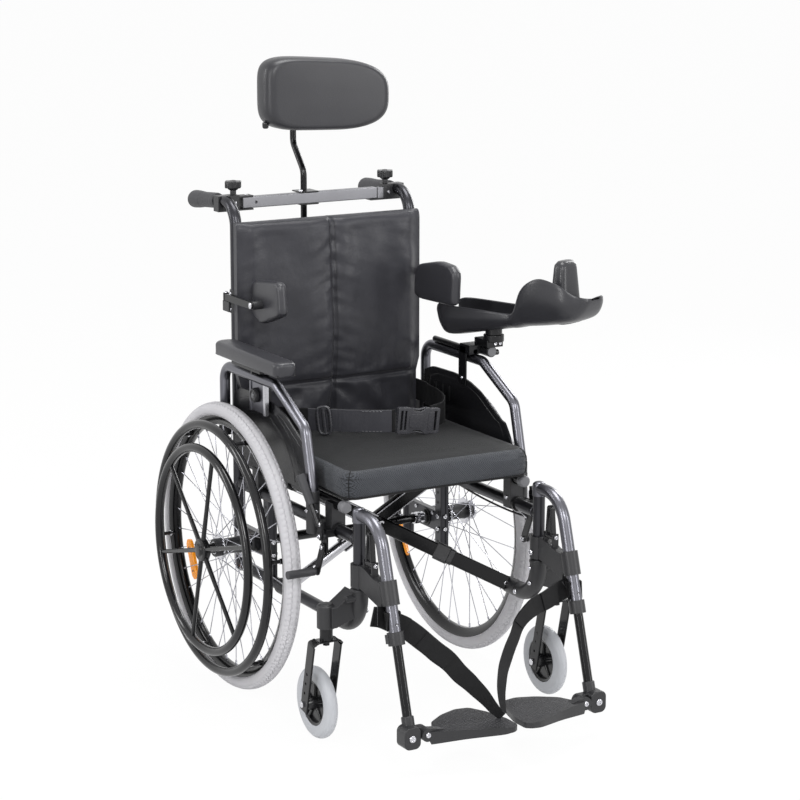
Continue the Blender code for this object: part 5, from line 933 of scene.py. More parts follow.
def makeLatchBlock(side, path):
    x, latchZ, r = frameX, hangerSizes["latchZ"], tubeRadius
    low, high = latchZ - hangerSizes["latchHeight"] / 2, latchZ + hangerSizes["latchHeight"] / 2
    sleeveMid = hangerEnd - legDown * ((latchZ - 0.006 - hangerSizes["endZ"]) / -legDown.z)
    arm = [(frontY - 0.008, low + 0.002), (frontY - 0.030, low - 0.001), (frontY - 0.055, low - 0.008),
           (frontY - 0.082, low - 0.014), (frontY - 0.104, low - 0.020), (frontY - 0.114, high - 0.012),
           (frontY - 0.092, high - 0.014), (frontY - 0.070, high - 0.012), (frontY - 0.045, high - 0.003),
           (frontY - 0.024, high + 0.001), (frontY - 0.008, high)]
    shapes = [rod((x, frontY, low), (x, frontY, high), r + 0.0055, 36), slab(arm, x - 0.010, x + 0.010),
              rod(sleeveMid - legDown * 0.024, sleeveMid + legDown * 0.024, r + 0.005, 36)]
    shapes += [box((x - 0.007, x + 0.007), (y, y + 0.0035), (high - 0.014, latchZ + 0.040))
               for y in (-0.5075, -0.4745)]
    cuts = [rod((x, frontY, low - 0.02), (x, frontY, high + 0.04), r + 0.0004), tube(path, r + 0.0003)]
    makePiece("LatchBlock", "mouldedPlastic", "_hanger", shapes, side, cut=cuts, edge=0.0014,
              stands="_latch_block", steps=3)
    bolt = [boltHead((x - r - 0.0055, frontY - 0.001, latchZ - 0.010), 0.0062, 0.0045, "-x"),
            rod((x, -0.508, latchZ + 0.033), (x, -0.470, latchZ + 0.033), 0.003),
            boltHead((x, -0.5078, latchZ + 0.033), 0.0046, 0.003, "-y")]
    # the bright spring plate under the lever
    bolt.append(box((x - 0.0055, x + 0.0055), (-0.502, -0.478), (high - 0.013, high - 0.006)))
    makePiece("LatchBolts", "chrome", "_hanger", bolt, side, edge=0.0005)


def makeLatchLever(side):
    x, knuckleZ = frameX, hangerSizes["latchZ"] + 0.033
    corners = [(x, -0.4785, knuckleZ), (x, -0.4842, 0.4375), (x, -0.4885, 0.4408), (x, -0.4930, 0.4375),
               (x, -0.4998, knuckleZ)]
    loop = sweep(bent(corners, 0.004, 6), rounded(0.012, 0.0050, 0.0018, 4), (1, 0, 0))
    bars = [rod((x, -0.5030, knuckleZ), (x, -0.4754, knuckleZ), 0.0062)]
    hole = rod((x, -0.52, knuckleZ), (x, -0.46, knuckleZ), 0.0032)
    makePiece("LatchLever", "smoothPlastic", "_latch", [loop] + bars, side, cut=[hole], edge=0.0007,
              stands="_latch_lever")


footSizes = {"hingeX": 0.182, "hingeZ": 0.078, "blockY": -0.648, "plate": 0.011, "strapWidth": 0.042,
             "strapThick": 0.003, "domePitch": 0.0085, "domeRadius": 0.0024, "domeHeight": 0.0007}


def footOutline():
    front, rear = footSizes["blockY"] - 0.019, footSizes["blockY"] - 0.0013
    hard = [(0.184, front), (0.110, front - 0.024), (0.042, front - 0.054), (0.020, front - 0.055),
            (0.0085, front - 0.046), (0.0080, front - 0.006), (0.021, front + 0.045), (0.041, front + 0.084),
            (0.070, front + 0.0895), (0.110, front + 0.075), (0.148, front + 0.048), (0.160, rear + 0.006),
            (0.1665, rear), (0.184, rear)]
    return hard, front


def inside(outline, x, y, margin):
    # how a point lies to an outline: within it, and at least a margin from its edges
    hit, count = False, len(outline)
    for i in range(count):
        (ax, ay), (bx, by) = outline[i], outline[(i + 1) % count]
        if (ay > y) != (by > y) and x < (bx - ax) * (y - ay) / (by - ay) + ax:
            hit = not hit
        edge = Vector((bx - ax, by - ay))
        share = max(0.0, min(1.0, Vector((x - ax, y - ay)).dot(edge) / edge.length_squared))
        if (Vector((x - ax, y - ay)) - edge * share).length < margin:
            return False
    return hit


def makeFootrest(side):
    x, hingeX, hingeZ, blockY = frameX, footSizes["hingeX"], footSizes["hingeZ"], footSizes["blockY"]
    foot = hangerEnd + legDown * ((hangerSizes["endZ"] - hingeZ - 0.004) / -legDown.z)
    leg = rod(hangerEnd - legDown * hangerSizes["legInsert"], foot, hangerSizes["legRadius"], 32)
    makePiece("LegTube", "blackTube", "_leg", [leg], side, edge=0.0006, stands="_leg_tube")
    outline = [(x + 0.005 + a, hingeZ - 0.003 + b) for a, b in rounded(0.036, 0.044, 0.012, 8)]
    block = [slab(outline, blockY - 0.016, blockY + 0.017, "xz"),
             slab(stadium((hingeX, hingeZ), (x, hingeZ), 0.0125), blockY - 0.001, blockY + 0.017, "xz"),
             rod(foot - legDown * 0.030, foot, 0.0125, 32)]
    makePiece("FootBlock", "mouldedPlastic", "_leg", block, side, edge=0.0016, steps=3)
    bolt = [boltHead((x + 0.006, blockY - 0.0158, hingeZ - 0.003), 0.0072, 0.0032, "-y"),
            rod((hingeX, blockY - 0.019, hingeZ), (hingeX, blockY + 0.010, hingeZ), 0.0045),
            boltHead((hingeX, blockY - 0.0188, hingeZ), 0.0056, 0.0030, "-y"),
            boltHead((x + 0.006, blockY + 0.0168, hingeZ - 0.003), 0.0060, 0.0030, "y")]
    makePiece("FootBolts", "chrome", "_leg", bolt, side, edge=0.0004)
    makeFootplate(side)
    makeHeelStrap(side)


def makeFootplate(side):
    hingeX, hingeZ, blockY = footSizes["hingeX"], footSizes["hingeZ"], footSizes["blockY"]
    hard, front = footOutline()
    outline = smoothOutline(hard, 0.12)
    top = hingeZ + 0.006
    bottom = []
    for a, b in outline:
        lip = 0.09 * (a - 0.02) if b < front + 0.001 else 0
        bottom.append((a, b, top - footSizes["plate"] - max(0.0, lip)))
    knuckle = rod((hingeX, front, hingeZ), (hingeX, blockY - 0.0013, hingeZ), 0.0132, 32)
    bore = rod((hingeX, front - 0.01, hingeZ), (hingeX, blockY + 0.009, hingeZ), 0.0049)
    # the arm that swells from the plate up to its hinge
    arm = [(0.132, top - 0.004), (0.150, top + 0.001), (0.166, hingeZ + 0.0105), (hingeX, hingeZ + 0.0128),
           (hingeX, hingeZ - 0.0128), (0.160, hingeZ - 0.0125), (0.130, top - footSizes["plate"] - 0.001)]
    shapes = [layered([bottom, [(a, b, top) for a, b in outline]]), knuckle,
              slab(arm, front + 0.0004, blockY - 0.0015, "xz")]
    makePiece("Footplate", "mouldedPlastic", "_foot", shapes, side, cut=[bore], edge=0.0018, angle=50,
              stands="_footplate", steps=3)
    shapes, pitch = [], footSizes["domePitch"]
    for row in range(-12, 14):
        for column in range(26):
            a = 0.012 + column * pitch * 0.87
            b = blockY + row * pitch + (pitch / 2 if column % 2 else 0)
            if a < 0.150 and inside(hard, a, b, 0.0095):
                r, h = footSizes["domeRadius"], footSizes["domeHeight"]
                shapes.append(layered([[(a + p * k, b + q * k, z) for p, q in circle(r, 8)]
                                       for k, z in ((1, top - gap), (0.55, top + h))]))
    makePiece("FootGrip", "gripRubber", "_foot", shapes, side)


# each strap's places from the leg's collar to the plates, with the share of its width there
strapPaths = {
    -1: ((0.243, -0.5560, 0.295, 0.95), (0.212, -0.5560, 0.287, 1.0), (0.165, -0.575, 0.256, 1.0),
         (0.118, -0.598, 0.212, 0.98), (0.080, -0.620, 0.168, 0.90), (0.044, -0.644, 0.127, 0.74),
         (0.024, -0.662, 0.098, 0.50), (0.0165, -0.670, 0.0875, 0.42)),
    1: ((0.212, -0.5540, 0.287, 1.0), (0.180, -0.560, 0.281, 1.0), (0.130, -0.568, 0.266, 0.95),
        (0.090, -0.576, 0.248, 0.80), (0.060, -0.590, 0.216, 0.72), (0.030, -0.611, 0.182, 0.76),
        (0.006, -0.630, 0.148, 0.72), (-0.004, -0.646, 0.115, 0.55), (-0.005, -0.658, 0.0885, 0.42)),
}


def makeHeelStrap(side):
    width, thick = footSizes["strapWidth"], footSizes["strapThick"]
    across = (-0.6, 0, 0.8) if side > 0 else (0, 0, 1)
    route = smoothPath([place[:3] for place in strapPaths[side]], 12)
    sizes = [share.x for share in smoothPath([(place[3], 0, 0) for place in strapPaths[side]], 12)]
    for i, p in enumerate(route):
        calm = min(i, len(route) - 1 - i) / len(route)
        p += noise.noise_vector(p * 22 + Vector((side, side, side))) * 0.0035 * min(1.0, calm * 5)

    def layer(start, end, lift, wide, deep):
        path = [p + Vector((0, -lift, lift * 0.4)) for p in route[start:end]]
        return sweep(path, rounded(width * wide, thick * deep, thick * deep * 0.45, 3), across,
                     sizes[start:end])

    # the strap, its doubled sewn end and the patch at its middle
    shapes = [layer(0, len(route), 0.0, 1.0, 1.0), layer(2, 22, 0.0031, 0.98, 0.8),
              layer(28, 42, 0.0029, 0.9, 0.7)]
    middle, r = hangerEnd - legDown * 0.047, tubeRadius
    # the sewn loop lies behind the tube and keeps its shape when the chair folds
    angles = [math.radians(degrees) for degrees in range(-15, 196, 10)]
    arc = [middle + Vector((math.cos(angle), math.sin(angle), 0)) * (r + 0.0019) for angle in angles]
    loop = sweep(arc, rounded(0.036, 0.0030, 0.0012, 3), -legDown)
    makePiece("StrapLoop", "webbing", "_leg", [loop], side)
    strap = makePiece("HeelStrap", "webbing", "_leg", shapes, side, stands="_heel_strap")
    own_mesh(strap)
    # stitches at the sewn end
    start, line = route[4] + Vector((0, -0.0046, 0.0018)), Vector(across).normalized() * width * 0.86
    stitches = [dome(start + line * (number / 13 - 0.5), 0.0008, 0.0005, "y", 6) for number in range(14)]
    sewn = makePiece("StrapStitches", "greyCap", "_leg", stitches, side)
    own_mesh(sewn)


# Brakes
brakeSizes = {"y": -0.358, "leverPivotZ": 0.408, "barPivotZ": 0.385, "barY": -0.3335, "barLow": 0.330,
              "barRadius": 0.0085, "plateX": 0.238, "plate": 0.004}


def makeBrake(side):
    y, plate = brakeSizes["y"], brakeSizes["plate"]
    inner = brakeSizes["plateX"] + plate + 0.0005
    armOuter = inner + plate
    low = (brakeSizes["barY"], brakeSizes["barLow"])
    hole = rod((inner - 0.01, y, brakeSizes["barPivotZ"]), (armOuter + 0.01, y, brakeSizes["barPivotZ"]),
               0.0046)
    arm = slab(stadium((y, brakeSizes["barPivotZ"]), low, 0.009), inner, armOuter)
    makePiece("BrakeArm", "blackPlate", "_brake_bar", [arm], side, cut=[hole], edge=0.0006,
              stands="_brake_bar")
    reach = wheelX + 0.036
    bar = [rod((armOuter - 0.001, *low), (reach - 0.002, *low), 0.0052),
           rod((armOuter + 0.004, *low), (reach, *low), brakeSizes["barRadius"])]
    makePiece("BrakeBar", "gripRubber", "_brake_bar", bar, side, edge=0.0014, steps=3)
    nuts = [boltHead((inner + 0.0002, low[0], low[1]), 0.0052, 0.004, "-x")]
    makePiece("BrakeBarNut", "chrome", "_brake_bar", nuts, side, edge=0.0004)
    leverInner = armOuter + 0.0005
    leverOuter = leverInner + plate
    shoulder = (y + 0.004, brakeSizes["leverPivotZ"] + 0.024)
    root = (y, brakeSizes["leverPivotZ"])
    hole = rod((leverInner - 0.01, *root), (leverOuter + 0.01, *root), 0.0046)
    plateShape = slab(stadium(root, shoulder, 0.0085), leverInner, leverOuter)
    handleLow = Vector((leverInner + 0.004, shoulder[0], shoulder[1] - 0.004))
    handleHigh = Vector((wheelX - 0.008, -0.308, 0.526))
    shapes = [plateShape]
    if side > 0:
        handleHigh = handleLow.lerp(handleHigh, 0.16)
    shapes.append(rod(handleLow, handleHigh, 0.0055))
    makePiece("BrakeLever", "blackPlate", "_brake_lever", shapes, side, cut=[hole], edge=0.0008,
              stands="_brake_lever")
    if side < 0:
        start = handleLow.lerp(handleHigh, 0.42)
        path = [start.lerp(handleHigh, t) for t in (0, 0.04, 0.5, 0.93, 0.985, 1.0)]
        grip = sweep(path, rounded(0.0165, 0.0135, 0.005, 5), (1, 0, 0), (0.8, 0.95, 1.0, 1.08, 0.98, 0.75))
        makePiece("rightLeverGrip", "gripRubber", "_brake_lever", [grip], side, edge=0.0006)
    rivet = [boltHead((leverOuter, shoulder[0] - 0.003, shoulder[1]), 0.0045, 0.0026, "x")]
    makePiece("LeverRivet", "chrome", "_brake_lever", rivet, side, edge=0.0003)


# Armrests
armSizes = {"x": 0.245, "tube": 0.011, "top": 0.6775, "rearY": 0.076, "rearZ": 0.548, "frontY": -0.318,
            "frontZ": 0.442, "guardX": 0.2317, "guard": 0.004, "padX": 0.256, "padHalf": 0.025,
            "padRear": 0.058, "padFront": -0.234, "padLow": 0.707, "padHeight": 0.031, "knobY": -0.076,
            "knobZ": 0.641}
guardOutline = [(0.058, 0.478), (0.058, 0.622), (0.020, 0.636), (-0.074, 0.638), (-0.132, 0.630),
                (-0.178, 0.616), (-0.224, 0.591), (-0.262, 0.571), (-0.276, 0.568), (-0.292, 0.548),
                (-0.302, 0.528), (-0.302, 0.478)]


def armPath():
    x, top = armSizes["x"], armSizes["top"]
    points = ((x, armSizes["rearY"], armSizes["rearZ"]), (x, armSizes["rearY"], top), (x, -0.163, top),
              (x, -0.289, 0.612), (x, armSizes["frontY"], 0.500), (x, armSizes["frontY"], armSizes["frontZ"]))
    return bent(points, 0.032, 12)


def makeArmrest(side):
    x, r = armSizes["x"], armSizes["tube"]
    makePiece("ArmrestTube", "gunmetalTube", "_armrest", [tube(armPath(), r)], side, edge=0.0006,
              stands="_armrest_tube")
    # black sleeves on both feet
    feet = [rod((x, armSizes["frontY"], 0.4685), (x, armSizes["frontY"], 0.492), r + 0.0024),
            rod((x, armSizes["rearY"], 0.5755), (x, armSizes["rearY"], 0.590), r + 0.0018)]
    makePiece("ArmrestSleeves", "mouldedPlastic", "_armrest", feet, side, edge=0.0010)
    half, guardX = armSizes["guard"] / 2, armSizes["guardX"]
    outline = smoothOutline(guardOutline, 0.10)
    middle = Vector((-0.12, 0.55))

    def inset(share, drop=0.0):
        return [(middle.x + (a - middle.x) * share, middle.y + (b - middle.y) * share + drop) for a,
                b in outline]

    # a moulded plate with a raised border and a raised inner field
    border = layered([[(guardX - half, a, b) for a, b in outline],
                      [(guardX + half, a, b) for a, b in outline]])
    field = layered([[(guardX + half - 0.0002, a, b) for a, b in inset(0.86)],
                     [(guardX + half + 0.0011, a, b) for a, b in inset(0.845)]])
    back = layered([[(guardX - half - 0.0011, a, b) for a, b in inset(0.845)],
                    [(guardX - half + 0.0002, a, b) for a, b in inset(0.86)]])
    makePiece("SideGuard", "smoothPlastic", "_armrest", [border, field, back], side, edge=0.0007,
              stands="_side_guard")
    ribs, slots = [], []
    for number in range(3):
        # curved ribs that follow the plate's sloping front
        shift = 0.011 * number
        path = smoothPath([(guardX + half + 0.0010, -0.135 + shift, 0.612 - shift * 0.6),
                           (guardX + half + 0.0010, -0.198 + shift, 0.575 - shift * 0.6),
                           (guardX + half + 0.0010, -0.236 + shift, 0.520 - shift * 0.3),
                           (guardX + half + 0.0010, -0.243 + shift, 0.487)], 8)
        if number != 1:
            ribs.append(sweep(path, rounded(0.0016, 0.0030, 0.0007, 3), (1, 0, 0)))
    # the slots are thin near-black plates on the guard's outer face, not cut: painted shade
    for number in range(4):
        y, outside = 0.030 - number * 0.028, guardX - half - 0.0014
        slots.append(slab(stadium((y, 0.575), (y, 0.602), 0.0028), outside, outside + 0.0005))
    makePiece("GuardRibs", "smoothPlastic", "_armrest", ribs, side)
    makePiece("GuardSlots", "paintedHoleShade", "_armrest", slots, side)
    screws = [boltHead((guardX + half + 0.001, y, z), 0.0044, 0.0026, "x") for y,
              z in ((0.046, 0.565), (-0.262, 0.497))]
    makePiece("GuardScrews", "chrome", "_armrest", screws, side, edge=0.0003)
    if side < 0:
        y, z = armSizes["knobY"], armSizes["knobZ"]
        plate = [box((x - 0.004, x + 0.002), (-0.112, -0.050), (0.606, armSizes["top"]))]
        plate.append(box((x - 0.0040, x + 0.0040), (-0.054, -0.047), (0.604, armSizes["top"] - 0.004)))
        strip = [box((x - 0.0045, x + 0.0050), (-0.120, -0.1105), (0.604, armSizes["top"] - 0.004))]
        makePiece("rightKnobRails", "zincTube", "_armrest", strip, side, edge=0.0010)
        hole = rod((x - 0.03, y, z), (x + 0.03, y, z), 0.0034)
        makePiece("rightKnobPlate", "gunmetalTube", "_armrest", plate, side, cut=[hole], edge=0.0008)


def padShape(halfWidth, front, rear, low, high, corner, crown):
    # a moulded pad: rounded plan, soft edges, slightly crowned top
    rings, middle = [], (front + rear) / 2
    for i in range(10):
        angle = math.pi / 2 * i / 9
        inset = corner * 0.62 * (1 - math.cos(angle))
        rings.append((inset, high - corner * 0.62 + corner * 0.62 * math.sin(angle)))
    lower = [(0.004, low), (0.0014, low + 0.001), (0.0, low + 0.004)]
    result = []
    for inset, z in lower + rings + [(halfWidth * 0.62, high + crown * 0.8),
                                     (halfWidth * 0.86, high + crown)]:
        width, depth = halfWidth - inset, (rear - front) / 2 - inset
        radius = max(0.002, min(corner * 1.3, width * 0.98) * (1 - inset / halfWidth * 0.4))
        plan = rounded(2 * width, 2 * depth, min(radius, width * 0.99), 8)
        result.append([(armSizes["padX"] + a, middle + b, z) for a, b in plan])
    return layered(result)


def makeArmPad():
    side, half = -1, armSizes["padHalf"]
    low, high = armSizes["padLow"], armSizes["padLow"] + armSizes["padHeight"]
    shape = padShape(half, armSizes["padFront"], armSizes["padRear"], low, high - 0.0015, 0.014, 0.0015)
    pad = makePiece("rightArmPad", "padSkin", "arm_pad",
                    [shape], side, angle=60,
                    stands="right_arm_pad")
    # a moulded lip round the pad's foot
    lip = padShape(half - 0.0035, armSizes["padFront"] + 0.004, armSizes["padRear"] - 0.004, low - 0.0002,
                   low + 0.0016, 0.002, 0.0)
    makePiece("rightPadLip", "smoothPlastic", "arm_pad", [lip], side, angle=60)
    bracketX = (0.2225, 0.2285)
    post = [box(bracketX, (armSizes["knobY"] - 0.020, armSizes["knobY"] + 0.020), (0.598, low - 0.0003)),
            box((bracketX[0], 0.276), (-0.150, -0.020), (low - 0.007, low - 0.0003)),
            box((bracketX[0], 0.262), (-0.086, -0.080), (low - 0.020, low - 0.006))]
    makePiece("rightPadBracket", "blackPlate", "arm_pad", post, side, edge=0.0007, stands="right_pad_bracket")
    light = [box((0.246, 0.268), (-0.130, -0.100), (low - 0.0105, low - 0.0072))]
    light += bolts(((0.256, -0.200, low), 0.0080, 0.0040, "-z"),
                   ((0.256, -0.035, low - 0.007), 0.0050, 0.003, "-z"),
                   ((0.256, -0.136, low - 0.007), 0.0050, 0.003, "-z"))
    makePiece("rightPadHardware", "polishedMetalAndEdgeHighlight", "arm_pad", light, side, edge=0.0005)
    inner = armSizes["x"] + 0.0023
    knob = [(0, 0), (0.0136, 0), (0.0146, 0.002), (0.0146, 0.0065), (0.0130, 0.0092), (0.0104, 0.0098),
            (0.0096, 0.0082), (0.0050, 0.0080), (0, 0.0080)]
    badge = [(0, 0.0070), (0.0056, 0.0070), (0.0056, 0.0092), (0.0048, 0.0096), (0.0036, 0.0088),
             (0.0024, 0.0098), (0, 0.0100)]
    makePiece("heightKnobCentre", "greyCap", "height_knob",
              [turned(badge, (inner, armSizes["knobY"], armSizes["knobZ"]), "x", 40)], side)
    shapes = [turned(knob, (inner, armSizes["knobY"], armSizes["knobZ"]), "x", 40),
              rod((bracketX[1] + 0.0003, armSizes["knobY"], armSizes["knobZ"]),
                  (inner + 0.002, armSizes["knobY"], armSizes["knobZ"]), 0.003)]
    for angle in spread(12):
        place = Vector((inner + 0.0010, armSizes["knobY"], armSizes["knobZ"])) + ray(angle) * 0.0142
        shapes.append(reached(place, 0.0056, radius=0.0015, sides=10))
    makePiece("heightKnob", "mouldedPlastic", "height_knob", shapes, side, edge=0.0003,
              stands="arm_height_knob")


# Forearm trough
troughSizes = {"startX": 0.2525, "startY": -0.0535, "yaw": 20, "baseZ": 0.742, "pivotX": 0.272,
               "pivotY": -0.163, "adapterY": -0.110, "wall": 0.0042, "swivelZ": 0.733, "hornTop": 0.905}
# places along the trough: distance, half width, floor height, and the heights of its two rims
troughStations = (
    (-0.030, 0.038, 0.014, 0.041, 0.041), (-0.018, 0.0455, -0.012, 0.0455, 0.0455),
    (0.010, 0.054, -0.020, 0.0455, 0.0455), (0.100, 0.054, -0.002, 0.0455, 0.0455),
    (0.165, 0.054, 0.012, 0.0455, 0.0455), (0.188, 0.058, 0.016, 0.052, 0.0455),
    (0.210, 0.063, 0.022, 0.100, 0.048), (0.240, 0.067, 0.027, 0.124, 0.054),
    (0.270, 0.067, 0.032, 0.131, 0.062), (0.310, 0.063, 0.040, 0.121, 0.080),
    (0.334, 0.053, 0.049, 0.106, 0.089), (0.348, 0.041, 0.064, 0.0985, 0.0925),
    (0.3560, 0.028, 0.080, 0.0955, 0.0940), (0.3590, 0.018, 0.0895, 0.0945, 0.0940))


def troughPoint(u, v, w):
    yaw = math.radians(troughSizes["yaw"])
    ahead = Vector((math.sin(yaw), -math.cos(yaw), 0))
    outward = Vector((math.cos(yaw), math.sin(yaw), 0))
    return Vector((troughSizes["startX"], troughSizes["startY"],
                   troughSizes["baseZ"])) + ahead * u + outward * v + Vector((0, 0, w))


def troughRings():
    # a station's section is a smooth curve through eight places, and stations are blended along the trough
    coarse = []
    for u, half, floor, near, far in troughStations:
        nearRise, farRise = near - floor, far - floor
        coarse.append([Vector((u, v, w)) for v, w in (
            (-half, near), (-half * 1.04, floor + nearRise * 0.55), (-half * 0.84, floor + nearRise * 0.14),
            (-half * 0.45, floor), (half * 0.45, floor), (half * 0.84, floor + farRise * 0.14),
            (half * 1.02, floor + farRise * 0.55), (half, far))])
    sections = [smoothPath(ring, 5) for ring in coarse]
    lines = [smoothPath([ring[i] for ring in sections], 5) for i in range(len(sections[0]))]
    return [[line[i] for line in lines] for i in range(len(lines[0]))]


def makeTrough():
    wall, rings = troughSizes["wall"], []
    for ring in troughRings():
        middle = sum(ring, Vector()) / len(ring)
        inner = []
        for number, p in enumerate(ring):
            rim = number in (0, len(ring) - 1)
            inward = Vector((0, middle.y - p.y, max(0.0, middle.z - p.z) + 0.004)).normalized()
            inner.append(p + (Vector((0, math.copysign(wall, middle.y - p.y), 0)) if rim else inward * wall))
        lipA = (ring[0] + inner[0]) / 2 + Vector((0, 0, 0.0016))
        lipB = (ring[-1] + inner[-1]) / 2 + Vector((0, 0, 0.0016))
        section = ring + [lipB] + inner[::-1] + [lipA]
        rings.append([troughPoint(*p) for p in section])
    makePiece("armTrough", "troughSkin", "trough", [layered(rings)], angle=50, stands="arm_trough")
    base = troughPoint(0.280, 0.004, 0.036)
    yaw = math.radians(troughSizes["yaw"])
    horn, steps, height = [], 16, troughSizes["hornTop"] - base.z
    for i in range(steps + 1):
        share = i / steps
        width = 0.0380 - 0.0125 * share ** 1.2
        depth = 0.0240 - 0.0090 * share
        if share > 0.90:
            shrink = math.sqrt(max(0.02, 1 - ((share - 0.90) / 0.101) ** 2))
            width *= 0.72 + 0.28 * shrink
            depth *= 0.55 + 0.45 * shrink
        ring = []
        for angle in spread(40):
            a, b = width * power(math.cos(angle), 2 / 3.4), depth * power(math.sin(angle), 2 / 3.4)
            x = a * math.cos(yaw) + b * math.sin(yaw)
            y = a * math.sin(yaw) - b * math.cos(yaw)
            lean = 0.006 * share
            ring.append(Vector((base.x + x + lean * 0.3, base.y + y + lean, base.z + height * share)))
        horn.append(ring)
    makePiece("troughHorn", "troughSkin", "trough", [layered(horn)], angle=60)
    swivel = [rod((troughSizes["pivotX"], troughSizes["pivotY"], troughSizes["swivelZ"] + 0.0003),
                  (troughSizes["pivotX"], troughSizes["pivotY"], troughSizes["baseZ"] + 0.006), 0.018, 40)]
    makePiece("troughSwivel", "blackPlate", "trough", swivel, edge=0.0008)


def makeTroughAdapter():
    above = armSizes["top"] + armSizes["tube"] * math.cos(math.pi / 10) + gap
    outer = armSizes["guardX"] - armSizes["guard"] / 2 - gap
    inner, y = outer - 0.0037, troughSizes["adapterY"]
    pivot = (troughSizes["pivotX"], troughSizes["pivotY"])
    rodX, rodZ = armSizes["x"] - 0.004, above + 0.0062
    shapes = [box((inner, outer), (y - 0.015, y + 0.015), (0.620, above + 0.016)),
              rod((rodX, 0.030, rodZ), (rodX, -0.140, rodZ), 0.0064),
              box((inner, 0.262), (-0.140, -0.100), (above, above + 0.020)),
              box((0.250, 0.290), (-0.172, -0.120), (above + 0.018, above + 0.034)),
              rod((*pivot, above + 0.030), (*pivot, troughSizes["swivelZ"]), 0.022, 40)]
    makePiece("troughAdapter", "blackPlate", "trough_mount", shapes, edge=0.0012, stands="trough_adapter")
    barrelX = 0.268
    barrel = [rod((barrelX, -0.162, above + 0.007), (barrelX, -0.095, above + 0.007), 0.0122, 36),
              rod((barrelX + 0.010, -0.148, above + 0.002), (barrelX + 0.024, -0.148, above + 0.002), 0.0062,
                  24)]
    makePiece("adapterCylinder", "smoothPlastic", "trough_mount", barrel, edge=0.0008)
    end = [rod((barrelX, -0.1640, above + 0.007), (barrelX, -0.1615, above + 0.007), 0.0100, 36)]
    makePiece("adapterEnd", "greyCap", "trough_mount", end, edge=0.0005)
    screws = [boltHead((inner, y, 0.634), 0.0042, 0.0024, "-x"),
              boltHead((0.270, -0.172, above + 0.026), 0.0040, 0.0026, "-y"),
              boltHead((0.282, -0.172, above + 0.026), 0.0040, 0.0026, "-y")]
    makePiece("adapterScrews", "chrome", "trough_mount", screws, edge=0.0003)


# Side supports, head support and belts
supportSizes = {
    "hinge": (0.222, 0.112), "z": {-1: 0.815, 1: 0.838}, "inner": 0.1780, "outer": 0.201,
    "outline": {
        -1: [(0.036, 0.861), (-0.072, 0.872), (-0.086, 0.865), (-0.093, 0.808), (-0.084, 0.798), (0.0, 0.770),
             (0.040, 0.790)],
        1: [(0.012, 0.866), (-0.085, 0.886), (-0.135, 0.883), (-0.153, 0.868), (-0.148, 0.803),
            (-0.135, 0.796), (0.020, 0.792)],
    },
}


def makeSideSupport(side):
    outline = smoothOutline(smoothOutline(supportSizes["outline"][side], 0.14), 0.22)
    centre = Vector((sum(p[0] for p in outline) / len(outline), sum(p[1] for p in outline) / len(outline)))
    inner, outer = supportSizes["inner"], supportSizes["outer"]
    middle, half = (inner + outer) / 2, (outer - inner) / 2
    rings, steps = [], 12
    for i in range(steps + 1):
        angle = math.pi * (i / steps - 0.5)
        inset = 0.0085 * (1 - math.cos(angle))
        rings.append((inset, middle + half * math.sin(angle)))
    result = []
    for inset, x in [(0.030, inner - 0.0012), (0.016, inner - 0.0008)] + rings + [(0.018, outer + 0.0005)]:
        ring = []
        for a, b in outline:
            offset = Vector((a, b)) - centre
            share = max(0.2, 1 - inset / offset.length)
            ring.append((x, centre.x + offset.x * share, centre.y + offset.y * share))
        result.append(ring)
    pad = makePiece("SideSupport", "padSkin", "_lateral", [layered(result)], side, angle=70,
                    stands="_side_support")
    z = supportSizes["z"][side]
    hinge = supportSizes["hinge"]
    front = -0.012 if side < 0 else 0.014
    arm = [slab(stadium((front, z), (0.108, z), 0.0075), 0.2232, 0.2275),
           rod((*hinge, z - 0.0077), (*hinge, z + 0.0083), 0.0065, 24)]
    makePiece("SupportArm", "blackPlate", "_lateral", arm, side, edge=0.0007)
    spacer = [rod((outer - 0.002, front, z), (0.2235, front, z), 0.009, 24)]
    makePiece("SupportSpacer", "mouldedPlastic", "_lateral", spacer, side, edge=0.0007)
    button = turned([(0, 0), (0.0065, 0), (0.0065, 0.0010), (0.0052, 0.0021), (0.0026, 0.0026), (0, 0.0027)],
                    (0.2272, front, z), "x", 24)
    makePiece("SupportButton", "chrome", "_lateral", [button], side)


headSizes = {"y": 0.150, "z": 1.006, "height": 0.024, "depth": 0.020, "right": -0.167, "left": 0.160,
             "pinX": -0.154, "starX": 0.184, "starRadius": 0.019, "postX": -0.007, "postRadius": 0.0069,
             "padX": 0.012, "padY": 0.108, "padZ": 1.233, "padHalf": 0.150, "padHigh": 0.074,
             "padDeep": 0.033, "topY": 0.215}


